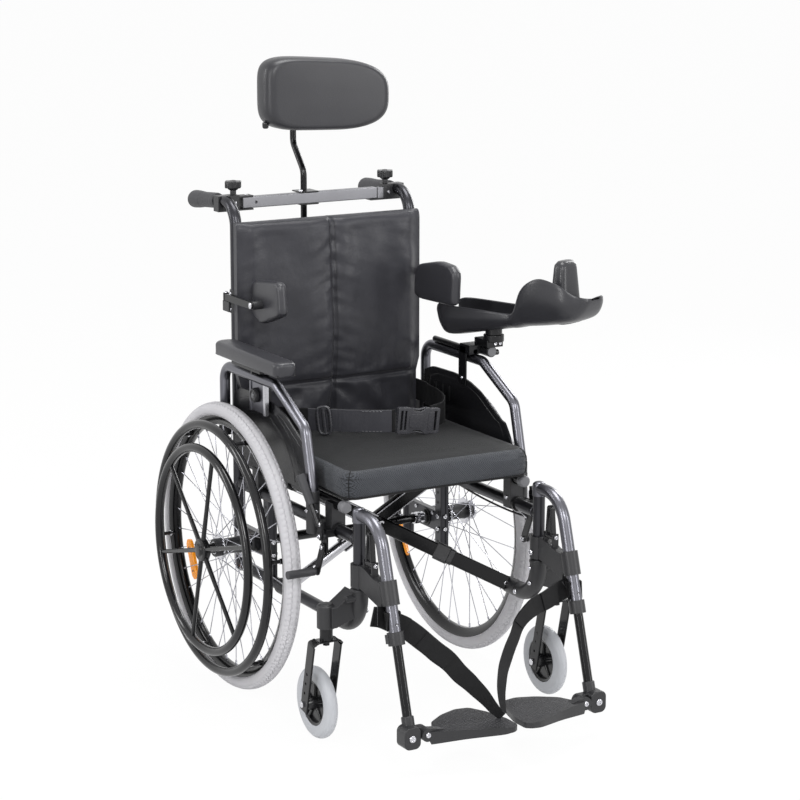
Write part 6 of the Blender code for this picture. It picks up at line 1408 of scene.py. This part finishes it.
def makeHeadClamp(side):
    y, z, half = headSizes["y"], headSizes["z"], headSizes["height"] / 2
    blockY = (y - 0.012, y + 0.012)
    plateLow, plateHigh = z - half - 0.0035, z + half + 0.0035
    shapes = [box((0.175, 0.2245), blockY, (z - 0.0155, z + 0.018)),
              box((0.142, 0.180), blockY, (plateLow, z - half - gap))]
    if side < 0:
        shapes.append(box((0.142, 0.180), blockY, (z + half + gap, plateHigh)))
    else:
        # the bar's own section goes on into the clamp
        stub = box((headSizes["left"] + gap, 0.1755), (y - headSizes["depth"] / 2, y - 0.001),
                   (z - half, z + half))
        makePiece("leftClampStub", "satinBar", "_frame", [stub], side, edge=0.0006)
    cuts = [tube(handlePath(), tubeRadius + gap),
            rod((headSizes["starX"], y, z - 0.008), (headSizes["starX"], y, z + 0.03), 0.0046)]
    makePiece("HeadClamp", "mouldedPlastic", "_frame", shapes, side, cut=cuts, edge=0.0014,
              stands="_head_clamp", steps=3)
    screws = [boltHead((0.186, blockY[0], z + 0.001), 0.0040, 0.0030, "-y"),
             boltHead((0.2155, blockY[1], z + 0.010), 0.0034, 0.0026, "y")]
    if side < 0:
        pinX = -headSizes["pinX"]
        screws.append(rod((pinX, y, plateLow - 0.0008), (pinX, y, plateHigh + 0.0012), 0.0038))
    makePiece("ClampBolts", "chrome", "_frame", screws, side, edge=0.0003)
    foot = z + 0.018 + gap
    starX, radius = headSizes["starX"], headSizes["starRadius"]
    outline = []
    for angle in spread(96):
        reach = radius * (0.895 + 0.105 * math.cos(6 * angle))
        outline.append((starX + reach * math.cos(angle), y + reach * math.sin(angle)))
    head = slab(outline, foot + 0.014, foot + 0.029, "xy")
    skirt = turned([(0, foot + 0.009), (0.0085, foot + 0.009), (0.0130, foot + 0.0142), (0, foot + 0.0142)],
                   (starX, y, 0), "z", 32)
    neck = rod((starX, y, foot), (starX, y, foot + 0.010), 0.0065, 28)
    stud = rod((starX, y, z - 0.006), (starX, y, foot + 0.002), 0.004)
    makePiece("StarKnob", "smoothPlastic", "_star_knob", [head, skirt], side, edge=0.0022, angle=32,
              stands="_star_knob", steps=3)
    makePiece("StarNeck", "mouldedPlastic", "_star_knob", [neck], side, edge=0.0006)
    makePiece("StarStud", "chrome", "_star_knob", [stud], side)
    crown = turned([(0, foot + 0.0285), (0.0072, foot + 0.0285), (0.0066, foot + 0.0298),
                    (0, foot + 0.0303)], (starX, y, 0), "z", 28)
    makePiece("StarCentre", "mouldedPlastic", "_star_knob", [crown], side, edge=0.0002)


def headPostPath():
    rodY = headSizes["y"] + headSizes["depth"] / 2 + headSizes["postRadius"] + gap
    x, z = headSizes["postX"], headSizes["z"]
    points = ((x, rodY, z - 0.106), (x, rodY, z + 0.056), (x, headSizes["topY"], z + 0.112),
              (x, headSizes["topY"], headSizes["padZ"] + 0.004))
    return bent(points, 0.03, 10), rodY


def makeHeadSupport():
    y, z, half, deep = headSizes["y"], headSizes["z"], headSizes["height"] / 2, headSizes["depth"] / 2
    path, rodY = headPostPath()
    x = headSizes["postX"]
    start, end = Vector((headSizes["right"] + 0.002, y, z)), Vector((headSizes["left"] - 0.002, y, z))
    bar = sweep([start.lerp(end, i / 24) for i in range(25)],
                rounded(headSizes["height"], headSizes["depth"], 0.0022, 4), (0, 0, 1))
    cuts = [rod((headSizes["pinX"], y, 0.9), (headSizes["pinX"], y, 1.1), 0.0042),
            rod((x, rodY, 0.95), (x, rodY, 1.05), headSizes["postRadius"] + gap),
            rod((headSizes["right"] + 0.032, y - 0.02, z), (headSizes["right"] + 0.032, y - 0.004, z),
                0.0034)]
    makePiece("headBar", "satinBar", "head_bar", [bar], cut=cuts, angle=30, stands="head_support_bar")
    ends, section = [], rounded(headSizes["height"] - 0.0006, headSizes["depth"] - 0.0006, 0.0024, 4)
    for start, end in ((headSizes["right"], headSizes["right"] + 0.004),
                       (headSizes["left"] - 0.004, headSizes["left"])):
        ends.append(sweep(((start, y, z), (end, y, z)), section, (0, 0, 1)))
    makePiece("headBarEnds", "mouldedPlastic", "head_bar", ends, edge=0.0006)
    plateY = (y - deep - 0.001, rodY + 0.013)
    plates = [box((x - 0.022, x + 0.022), plateY, (low, low + 0.0030))
              for low in (z - half - 0.0025, z + half - 0.0005)]
    makePiece("headPlates", "blackPlate", "head_bar", plates, cut=cuts[1:2], edge=0.0009)
    clip = [rod((x, rodY, z - half + 0.001), (x, rodY, z + half - 0.001), 0.0120, 32),
            box((x - 0.009, x + 0.009), (rodY + 0.004, rodY + 0.0128), (z - 0.008, z + 0.008))]
    makePiece("headClip", "mouldedPlastic", "head_bar", clip,
              cut=cuts[1:2] + [box((x - 0.03, x + 0.03), (0.1, y + deep), (0.9, 1.1))], edge=0.0010)
    screws = [boltHead((x - 0.016, plateY[0] + 0.012, z + half + 0.0025), 0.0042, 0.0034, "z"),
              rod((x + 0.009, rodY + 0.008, z), (x + 0.017, rodY + 0.008, z), 0.0035),
              boltHead((x + 0.017, rodY + 0.008, z), 0.0050, 0.004, "x")]
    makePiece("headScrews", "chrome", "head_bar", screws, edge=0.0003)
    tiltY = headSizes["padY"] + headSizes["padDeep"] + 0.018
    padZ = headSizes["padZ"]
    makePiece("headPost", "blackTube", "head_post", [tube(path, headSizes["postRadius"])], edge=0.0005,
              stands="head_post")
    topY = headSizes["topY"]
    collars = [rod((x, rodY, z - 0.106), (x, rodY, z - 0.098), 0.0078, 28),
               rod((x, topY, padZ - 0.014), (x, topY, padZ + 0.012), 0.0105, 28),
               rod((x, topY, padZ), (x, tiltY, padZ), 0.007, 24),
               rod((x - 0.016, tiltY, padZ), (x + 0.016, tiltY, padZ), 0.008, 28)]
    makePiece("headPivot", "mouldedPlastic", "head_post", collars,
              cut=[tube(path, headSizes["postRadius"] - 0.0002)], edge=0.0008)
    makePiece("headPivotPin", "chrome", "head_post",
              [rod((x - 0.0225, tiltY, padZ), (x + 0.0225, tiltY, padZ), 0.004)])
    makeHeadPad(tiltY)


def makeHeadPad(tiltY):
    x, padZ = headSizes["postX"], headSizes["padZ"]
    # how far a ring reaches towards the outline, and its place between the front and the back
    layers = ((0.55, 1.01), (0.80, 1.0), (0.90, 0.94), (0.955, 0.82), (0.985, 0.62), (1.0, 0.38), (1.0, 0.10),
              (1.0, -0.16), (0.992, -0.42), (0.974, -0.64), (0.945, -0.81), (0.905, -0.925), (0.865, -0.948),
              (0.845, -0.953), (0.825, -0.957), (0.70, -0.965), (0.45, -0.995), (0.2, -1.0))
    rings = []
    for share, depth in layers:
        ring = []
        for angle in spread(120):
            c, s = math.cos(angle), math.sin(angle)
            # the pad's one end is squarer than the other
            a = power(c, 0.57 - 0.15 * math.tanh(-6 * c)) * headSizes["padHalf"]
            b = power(s, 0.55 - 0.10 * math.tanh(-6 * c)) * headSizes["padHigh"]
            u = a / headSizes["padHalf"]
            b *= 1.0 - 0.05 * u if s > 0 else 1.06 - 0.04 * u
            b -= 0.055 * a
            ring.append((headSizes["padX"] + a * share, headSizes["padY"] + headSizes["padDeep"] * depth,
                         padZ + b * share))
        rings.append(ring)
    # the head pad takes a darker copy of the pad foam: painted shade
    pad = makePiece("headPad", "shadedPadSkin", "head_pad", [layered(rings)], angle=75, stands="head_pad")
    back = headSizes["padY"] + headSizes["padDeep"]
    pieces = [slab(stadium((tiltY, padZ), (back - 0.002, padZ), 0.010), x + a, x + a + 0.006)
              for a in (-0.0225, 0.0165)]
    pieces.append(box((x - 0.036, x + 0.036), (back - 0.001, back + 0.0035), (padZ - 0.022, padZ + 0.022)))
    hole = rod((x - 0.05, tiltY, padZ), (x + 0.05, tiltY, padZ), 0.0043)
    makePiece("headPadYoke", "blackPlate", "head_pad", pieces, cut=[hole], edge=0.0008)
    profile = [(0, 0), (0.0062, 0), (0.0070, -0.003), (0.0066, -0.010), (0.0044, -0.0125), (0, -0.013)]
    knob = turned(profile, (-0.1270, 0.108, padZ - 0.0560), "z", 20)
    makePiece("headPadKnob", "smoothPlastic", "head_pad", [knob])


beltSizes = {"low": 0.5475, "width": 0.048, "thick": 0.0028, "wide": 0.060,
             "right": [(-0.216, 0.0768), (-0.215, 0.030), (-0.195, -0.010), (-0.160, -0.055),
                       (-0.097, -0.105), (-0.040, -0.150), (0.0196, -0.1839)],
             "left": [(0.100, -0.190), (0.150, -0.160), (0.190, -0.090), (0.206, -0.010), (0.215, 0.035),
                      (0.216, 0.0768)]}


def beltBand(points, width, thick, middle, ripple):
    path = smoothPath([Vector((x, y, middle)) for x, y in points], 10)
    for i, p in enumerate(path):
        if 3 < i < len(path) - 4:
            p += Vector((noise.noise(p * 30), noise.noise(p * 30 + Vector((7, 0, 0))), 0)) * ripple
    return sweep(path, rounded(width, thick, thick * 0.42, 3), (0, 0, 1)), path


def alongBelt(path, start, end, out):
    # a run of the belt's own path, moved out by a step: what is sewn or threaded on it
    total, walked, run = sum((b - a).length for a, b in zip(path, path[1:])), 0.0, []
    for i in range(len(path) - 1):
        step = path[i + 1] - path[i]
        if start <= walked / total <= end:
            normal = Vector((-step.y, step.x, 0)).normalized()
            run.append(path[i] + normal * out)
        walked += step.length
    return run


def makeBelt():
    middle = beltSizes["low"] + beltSizes["wide"] / 2
    for side, key in ((-1, "right"), (1, "left")):
        body = key + "_frame"
        strap, path = beltBand(beltSizes[key], beltSizes["width"], beltSizes["thick"], middle, 0.0020)
        belt = makePiece(key + "Belt", "webbing", body, [strap], stands="lap_belt_" + key)
        foldBelt(belt)
        if side < 0:
            # the doubled run from the adjuster to the buckle is a smoother webbing, drawn lighter grey as
            # painted sheen
            run = alongBelt(path, 0.50, 0.985, -0.0032)
            doubled = sweep(run, rounded(beltSizes["width"] - 0.001, 0.0024, 0.001, 3), (0, 0, 1))
            foldBelt(makePiece("rightBeltDoubled", "webbingWithPaintedSheen", body, [doubled]))
        # sewn end with its stitching box
        run = alongBelt(path, 0.80, 0.93, -0.0056) if side < 0 else alongBelt(path, 0.10, 0.26, 0.0022)
        stitches = []
        for up in (Vector((0, 0, -0.021)), Vector((0, 0, 0.021))):
            for a, b in zip(run, run[1:]):
                stitches.append(rod(a.lerp(b, 0.15) + up, a.lerp(b, 0.75) + up, 0.0005, 6))
        foldBelt(makePiece(key + "BeltStitches", "greyCap", body, stitches))
    makeBuckles(middle)


def foldBelt(obj):
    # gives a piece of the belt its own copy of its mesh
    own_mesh(obj)


def makeBuckles(middle):
    # a stretched frame with one bar on the right half, and a side-release buckle on the left half
    def place(start, end, shape):
        # from the buckle's own plane (along, out, up) to the chair
        along = (end - start).normalized()
        out = Vector((along.y, -along.x, 0)).normalized()
        up = out.cross(along) if out.cross(along).z > 0 else along.cross(out)
        return [start + along * p[0] + out * p[1] + up * p[2] for p in shape[0]], shape[1]

    start, end = Vector((-0.1165, -0.0935, middle + 0.002)), Vector((-0.0905, -0.1135, middle - 0.002))
    across = (end - start).length
    tilt = math.radians(13)
    level, lean = Vector((math.cos(tilt), 0, math.sin(tilt))), Vector((-math.sin(tilt), 0, math.cos(tilt)))
    ring = []
    for angle in spread(48):
        u, v = power(math.cos(angle), 0.5) * across * 0.40, power(math.sin(angle), 0.5) * 0.0285
        ring.append(Vector((across / 2, 0.0052, 0)) + level * u + lean * v)
    shapes = [place(start, end, cordLoop(ring, 0.0032, 12, (0, 1, 0)))]
    centre = Vector((across / 2, 0.0058, 0))
    bar = sweep((centre - lean * 0.027, centre + lean * 0.027), rounded(0.0066, 0.0046, 0.0018, 4))
    shapes.append(place(start, end, bar))
    foldBelt(makePiece("beltAdjuster", "buckleResin", "right_frame", shapes))
    start, end = Vector((0.0205, -0.1852, middle + 0.002)), Vector((0.1180, -0.1900, middle - 0.008))
    outline = [(0.0, 0.0262), (0.0020, 0.0282), (0.0250, 0.0284), (0.0330, 0.0262), (0.0385, 0.0200),
               (0.0520, 0.0196), (0.0590, 0.0240), (0.0640, 0.0282), (0.0720, 0.0284), (0.0760, 0.0262),
               (0.0785, 0.0276), (0.0955, 0.0272), (0.0975, 0.0250)]
    slots = [box((a, b), (-0.02, 0.03), (-0.0205, 0.0205)) for a,
             b in ((0.0058, 0.0112), (0.0158, 0.0200), (0.0850, 0.0905))]
    shell = place(start, end, slab(mirrored(outline), 0.0, 0.0115, "xz"))
    foldBelt(makePiece("buckle", "buckleResin", "left_frame", [shell],
                       cut=[place(start, end, s) for s in slots], edge=0.0014,
                       steps=3))
    raised = [slab(rounded2((0.0262, 0.0600), (-0.0145, 0.0145), 0.006), 0.0110, 0.0132, "xz"),
              slab(rounded2((0.0700, 0.0800), (-0.0190, 0.0190), 0.003), 0.0110, 0.0126, "xz")]
    prongs = []
    for v in (-1, 1):
        run = ((0.0330, 0.0262), (0.0420, 0.0236), (0.0520, 0.0240), (0.0620, 0.0272))
        points = [Vector((u, 0.0058, v * w)) for u, w in run]
        prongs.append(sweep(smoothPath(points, 5), rounded(0.0036, 0.0078, 0.0014, 3), (0, 0, 1)))
    details = [place(start, end, s) for s in raised + prongs]
    foldBelt(makePiece("buckleFace", "buckleResin", "left_frame", details, edge=0.0006))


def rounded2(x, z, radius):
    # a rounded rectangle between two x and two z
    return [(sum(x) / 2 + a, sum(z) / 2 + b) for a, b in rounded(x[1] - x[0], z[1] - z[0], radius, 5)]


# Seat
seatSizes = {"slingHalf": 0.207, "slingFront": -0.385, "slingRear": 0.034, "slingLow": 0.4808,
             "sling": 0.0025, "half": 0.215, "front": -0.405, "rear": 0.0355, "low": 0.4836,
             "height": 0.0615, "corner": 0.03, "pull": 0.004}


def foldSeat(obj):
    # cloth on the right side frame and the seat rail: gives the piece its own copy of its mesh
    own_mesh(obj)


def makeSeat():
    low, half, front, rear = (seatSizes[key] for key in ("slingLow", "slingHalf", "slingFront", "slingRear"))
    columns, rows = 48, 44

    def sheetAt(level):
        return lambda i, j: (-half + 2 * half * i / columns, front + (rear - front) * j / rows, level)

    grid = quilt(columns, rows, sheetAt(low + seatSizes["sling"]), sheetAt(low))
    cuts = [box((x - 0.021, x + 0.021), (y - 0.026, y + 0.026), (0.4, 0.6)) for x,
            y in ((frameX, -0.128), (-frameX, -0.1463))]
    sling = makePiece("seatSling", "slingCloth", "seat", [grid], cut=cuts, stands="seat_sling")
    foldSeat(sling)
    makeCushion()


def cushionRing(inset):
    width, depth = 2 * (seatSizes["half"] - inset), seatSizes["rear"] - seatSizes["front"] - 2 * inset
    middle = (seatSizes["rear"] + seatSizes["front"]) / 2
    corner = max(0.004, seatSizes["corner"] - inset * 0.5)
    ring, dense, outline = [], [], rounded(width, depth, corner, 9)
    for (ax, ay), (bx, by) in zip(outline, outline[1:] + outline[:1]):
        parts = max(1, round(math.hypot(bx - ax, by - ay) / 0.012))
        dense += [(ax + (bx - ax) * k / parts, ay + (by - ay) * k / parts) for k in range(parts)]
    for a, b in dense:
        # the long sides are drawn in a little at their middles
        pull = seatSizes["pull"]
        shareA, shareB = a / (width / 2), b / (depth / 2)
        a -= math.copysign(pull * max(0.0, abs(shareA) ** 6) * (1 - shareB ** 2), a)
        b -= math.copysign(pull * max(0.0, abs(shareB) ** 6) * (1 - shareA ** 2), b)
        ring.append((a, middle + b))
    return ring


def makeCushion():
    low, top = seatSizes["low"], seatSizes["low"] + seatSizes["height"]
    # the side's profile: inset and height
    side = ((0.014, low), (0.0045, low + 0.0022), (0.0010, low + 0.0075), (-0.0006, low + 0.016),
            (-0.0012, low + 0.028), (-0.0008, low + 0.040), (0.0006, top - 0.0175), (0.0026, top - 0.0115),
            (0.0064, top - 0.0068), (0.0118, top - 0.0042))
    rings = [[(a, b, z) for a, b in cushionRing(inset)] for inset, z in side]
    base = cushionRing(0.0116)
    centreY = (seatSizes["rear"] + seatSizes["front"]) / 2
    lid = []
    for share in (1.0, 0.985, 0.965, 0.93, 0.88, 0.80, 0.68, 0.52, 0.34, 0.16, 0.05):
        crown = 0.0034 * (1 - share ** 5) ** 0.6
        ring = []
        for a, b in base:
            x, y = a * share, centreY + (b - centreY) * share
            wave = noise.noise(Vector((x * 9, y * 9, 0.3))) * 0.0012 * (1 - share ** 3)
            ring.append((x, y, top - 0.0044 + crown + wave))
        lid.append(ring)
    body = makePiece("cushionSides", "cushionMesh", "seat", [layered(rings)], angle=80, stands="seat_cushion")
    foldSeat(body)
    lidRings = [[(x, y, z - 0.004) for x, y, z in lid[1]]] + lid
    cover = makePiece("cushionTop", "cushionTop", "seat", [layered(lidRings)], angle=80)
    foldSeat(cover)
    ring = [Vector((a, b, low + 0.0034)) for a, b in cushionRing(0.0021)]
    piping = makePiece("cushionPiping", "webbing", "seat", [cordLoop(ring, 0.0022, 10, (0, 0, 1))], angle=80)
    foldSeat(piping)
    seams = []
    for sx, sy in ((-1, -1), (1, -1), (-1, 1), (1, 1)):
        line = []
        for inset, z in side[1:]:
            corner = seatSizes["corner"] - inset * 0.5
            cx = sx * (seatSizes["half"] - inset - corner)
            cy = centreY + sy * ((seatSizes["rear"] - seatSizes["front"]) / 2 - inset - corner)
            reach = (corner + 0.0002) / math.sqrt(2)
            line.append(Vector((cx + sx * reach, cy + sy * reach, z)))
        seams.append(tube(smoothPath(line, 4), 0.0011, (1, 0, 0), 8))
    foldSeat(makePiece("cushionSeams", "webbing", "seat", seams, angle=80))


# Back upholstery
backSizes = {"half": 0.2125, "rearY": 0.07581, "thick": 0.025, "low": 0.502, "high": 0.976, "seamZ": 0.625,
             "swell": 0.011, "wider": 0.038}


def backDepth(x, z, front):
    # how far the upholstery stands ahead of its rear plane at a place on it
    half, low, high = backSizes["half"], backSizes["low"], backSizes["high"]
    u, w = x / half, (z - low) / (high - low)
    edge = min(1.0, (1 - abs(u)) / 0.16)
    soft = edge * edge * (3 - 2 * edge)
    top = min(1.0, (high - z) / 0.020)
    bottom = min(1.0, (z - low) / 0.020)
    shell = math.sqrt(max(0.0, 1 - (1 - top) ** 2)) * math.sqrt(max(0.0, 1 - (1 - bottom) ** 2))
    seam = math.exp(-(x / 0.0045) ** 2)
    swell = backSizes["swell"] * math.sin(math.pi * min(1,
                                                        max(0, w))) ** 0.7 * math.cos(math.pi / 2 * u) ** 0.6
    depth = backSizes["thick"] * (0.55 + 0.45 * soft) * (0.30 + 0.70 * shell) + swell * soft
    seamZ = backSizes["seamZ"]
    across = math.exp(-((z - seamZ) / 0.0055) ** 2)
    valley = math.exp(-(x / 0.016) ** 2)
    depth -= (0.0062 * seam + 0.0040 * valley + 0.0055 * across) * soft
    near = math.exp(-abs(x) / 0.030)
    rim = math.exp(-(half - abs(x)) / 0.045)
    if z > seamZ:
        # broad swells, short puckers at the centre seam and the sides, slight gathers over the cross seam
        fade = min(1.0, (z - seamZ) / 0.02) * min(1.0, max(0.0, (high - z) / 0.03))
        gather = math.exp(-(z - seamZ) / 0.045)
        lean = 0.5 * abs(x)
        folds = (0.0085 * noise.noise(Vector((x * 8 + 2.3, 0.2, z * 3.4)))
                 + 0.0048 * (near + 0.8 * rim) * noise.noise(Vector((x * 24, 9.0, (z + 0.6 * lean) * 46)))
                 + 0.0042 * noise.noise(Vector((x * 20, 4.0, (z - lean) * 9)))
                 + 0.0042 * gather * noise.noise(Vector((x * 60, 1.0, z * 12))))
    else:
        # slanting folds of the slack lower part
        fade = min(1.0, (seamZ - z) / 0.02)
        slant = abs(x)
        slip = Vector(((slant + z * 0.9) * 20, 1.7 + math.copysign(3, x), (slant - z) * 5))
        folds = 0.0105 * noise.noise(slip) + 0.0020 * noise.noise(Vector((x * 45, 2.0, z * 34)))
    depth += soft * fade * folds
    return depth if front else 0.0012 * soft * noise.noise(Vector((x * 14, 6.0, z * 9)))


def makeBack():
    half, low, high, rearY = (backSizes[key] for key in ("half", "low", "high", "rearY"))
    columns, rows = 150, 190

    def surface(front):
        def place(i, j):
            # the cloth is a little wider above the belts
            z = low + (high - low) * j / rows
            widen = 1 + backSizes["wider"] * min(1.0, max(0.0, (z - 0.622) / 0.030))
            x = (-half + 2 * half * i / columns) * widen
            depth = backDepth(x / widen, z, front)
            return x, rearY - depth if front else rearY + 0.0004 - abs(depth) * 0.5, z
        return place

    grid = quilt(columns, rows, surface(True), surface(False))
    back = makePiece("backUpholstery", "backNylon", "right_frame", [grid], angle=80,
                     stands="back_upholstery")
    foldSeat(back)
    # stitching beside the centre seam and along the cross seam
    def surfaceAt(x, z):
        return Vector((x, rearY - backDepth(x, z, True) - 0.0001, z))

    stitches = []
    for x in (-0.0062, 0.0062):
        z = low + 0.02
        while z < high - 0.012:
            stitches.append(rod(surfaceAt(x, z), surfaceAt(x, z + 0.0034), 0.00045, 5))
            z += 0.0052
    level, x = backSizes["seamZ"] + 0.0075, -half + 0.016
    while x < half - 0.018:
        stitches.append(rod(surfaceAt(x, level), surfaceAt(x + 0.0036, level), 0.00045, 5))
        x += 0.0054
    foldSeat(makePiece("backStitches", "webbing", "right_frame", stitches))


def directRay(tree):
    # 1 for what the camera sees straight, in a reflection or through a clear thing
    seen = addNode(tree, "LightPath", {}, {})
    glossy = addNode(tree, "Math", {"operation": "MAXIMUM"},
                     {0: seen.outputs["Is Camera Ray"], 1: seen.outputs["Is Glossy Ray"]})
    return addNode(tree, "Math", {"operation": "MAXIMUM"},
                   {0: glossy.outputs[0], 1: seen.outputs["Is Transmission Ray"]}).outputs[0]


def makeSetting():
    # the bare studio: a camera, a plain pale floor, soft lamps and a white surround
    scene = bpy.context.scene
    scene.view_settings.view_transform = "Standard"
    sight = {"place": (-2.52864, -4.39125, 1.74723), "turn": 29.778, "dip": 12.490, "roll": 0.04,
             "lens": 112.96}
    turn, dip = math.radians(sight["turn"]), math.radians(sight["dip"])
    ahead = Vector((math.sin(turn) * math.cos(dip), math.cos(turn) * math.cos(dip), -math.sin(dip)))
    data = bpy.data.cameras.new("view")
    data.lens, data.sensor_width, data.sensor_fit = sight["lens"], 36, "HORIZONTAL"
    data.clip_end = 60
    camera = bpy.data.objects.new("view", data)
    camera.location = sight["place"]
    roll = Matrix.Rotation(math.radians(sight["roll"]), 4, "Z")
    camera.rotation_euler = (ahead.to_track_quat("-Z", "Y").to_matrix().to_4x4() @ roll).to_euler()
    scene.collection.objects.link(camera)
    scene.camera = camera
    world = bpy.data.worlds.new("surround")
    scene.world = world
    world.use_nodes = True
    tree = world.node_tree
    tree.nodes.clear()
    surround = {"ambient": 0.50, "seen": 1.0}
    dim = addNode(tree, "Background", {}, {"Color": (1, 1, 1, 1), "Strength": surround["ambient"]})
    full = addNode(tree, "Background", {}, {"Color": (1, 1, 1, 1), "Strength": surround["seen"]})
    mixed = addNode(tree, "MixShader", {}, {0: directRay(tree), 1: dim.outputs[0], 2: full.outputs[0]})
    addNode(tree, "OutputWorld", {}, {"Surface": mixed.outputs[0]})
    makeFloor()
    # name, place, width and height in metres, watts
    lamps = (("key", (-1.0, -4.3, 3.1), 1.0, 1.6, 92), ("stripLeft", (-4.1, -2.2, 1.9), 0.32, 2.8, 72),
             ("stripRight", (2.6, -3.4, 1.8), 0.36, 2.6, 52), ("top", (0.3, 0.0, 3.4), 1.5, 1.5, 62),
             ("rimLeft", (3.0, 1.6, 2.0), 0.6, 2.2, 44), ("rimRight", (-3.2, 1.9, 2.0), 0.5, 2.2, 34))
    for name, place, width, height, power in lamps:
        lamp = bpy.data.lights.new(name, "AREA")
        lamp.shape, lamp.size, lamp.size_y, lamp.energy = "RECTANGLE", width, height, power
        obj = bpy.data.objects.new(name, lamp)
        obj.location = place
        obj.rotation_euler = (Vector((0, 0, 0.55)) - Vector(place)).to_track_quat("-Z", "Y").to_euler()
        scene.collection.objects.link(obj)


def makeFloor():
    floor = {"reach": 60, "tone": 0.90, "glow": 0.96}
    mesh = bpy.data.meshes.new("floor")
    reach = floor["reach"]
    corners = [(-reach, -reach, 0), (reach, -reach, 0), (reach, reach, 0), (-reach, reach, 0)]
    mesh.from_pydata(corners, [], [(0, 1, 2, 3)])
    obj = bpy.data.objects.new("floor", mesh)
    bpy.context.scene.collection.objects.link(obj)
    material = bpy.data.materials.new("floorPaper")
    material.use_nodes = True
    tree = material.node_tree
    tree.nodes.clear()
    share = addNode(tree, "Math", {"operation": "MULTIPLY"}, {0: directRay(tree), 1: floor["glow"]})
    tone = floor["tone"]
    paper = addNode(tree, "BsdfDiffuse", {}, {"Color": (tone, tone, tone, 1)})
    glow = addNode(tree, "Emission", {}, {"Color": (1, 1, 1, 1), "Strength": 1.0})
    mixed = addNode(tree, "MixShader", {}, {0: share.outputs[0], 1: paper.outputs[0], 2: glow.outputs[0]})
    addNode(tree, "OutputMaterial", {}, {"Surface": mixed.outputs[0]})
    mesh.materials.append(material)


def main():
    for side in (-1, 1):
        makeSideFrame(side)
        makePushGrip(side)
        makeCaster(side)
        makeRearWheel(side)
        print(sideName[side], "frame, caster and wheel")
        makeHanger(side)
        makeFootrest(side)
        makeBrake(side)
        makeArmrest(side)
        makeSideSupport(side)
        makeHeadClamp(side)
        print(sideName[side], "hanger, brake, armrest and supports")
    makeHandrims()
    makeDriveShaft()
    makeCrossBrace()
    print("handrims and brace")
    makeSeat()
    makeBack()
    print("seat and back")
    makeArmPad()
    makeTrough()
    makeTroughAdapter()
    makeHeadSupport()
    makeBelt()
    print("arm pad, trough, head support and belts")
    makeSetting()


main()
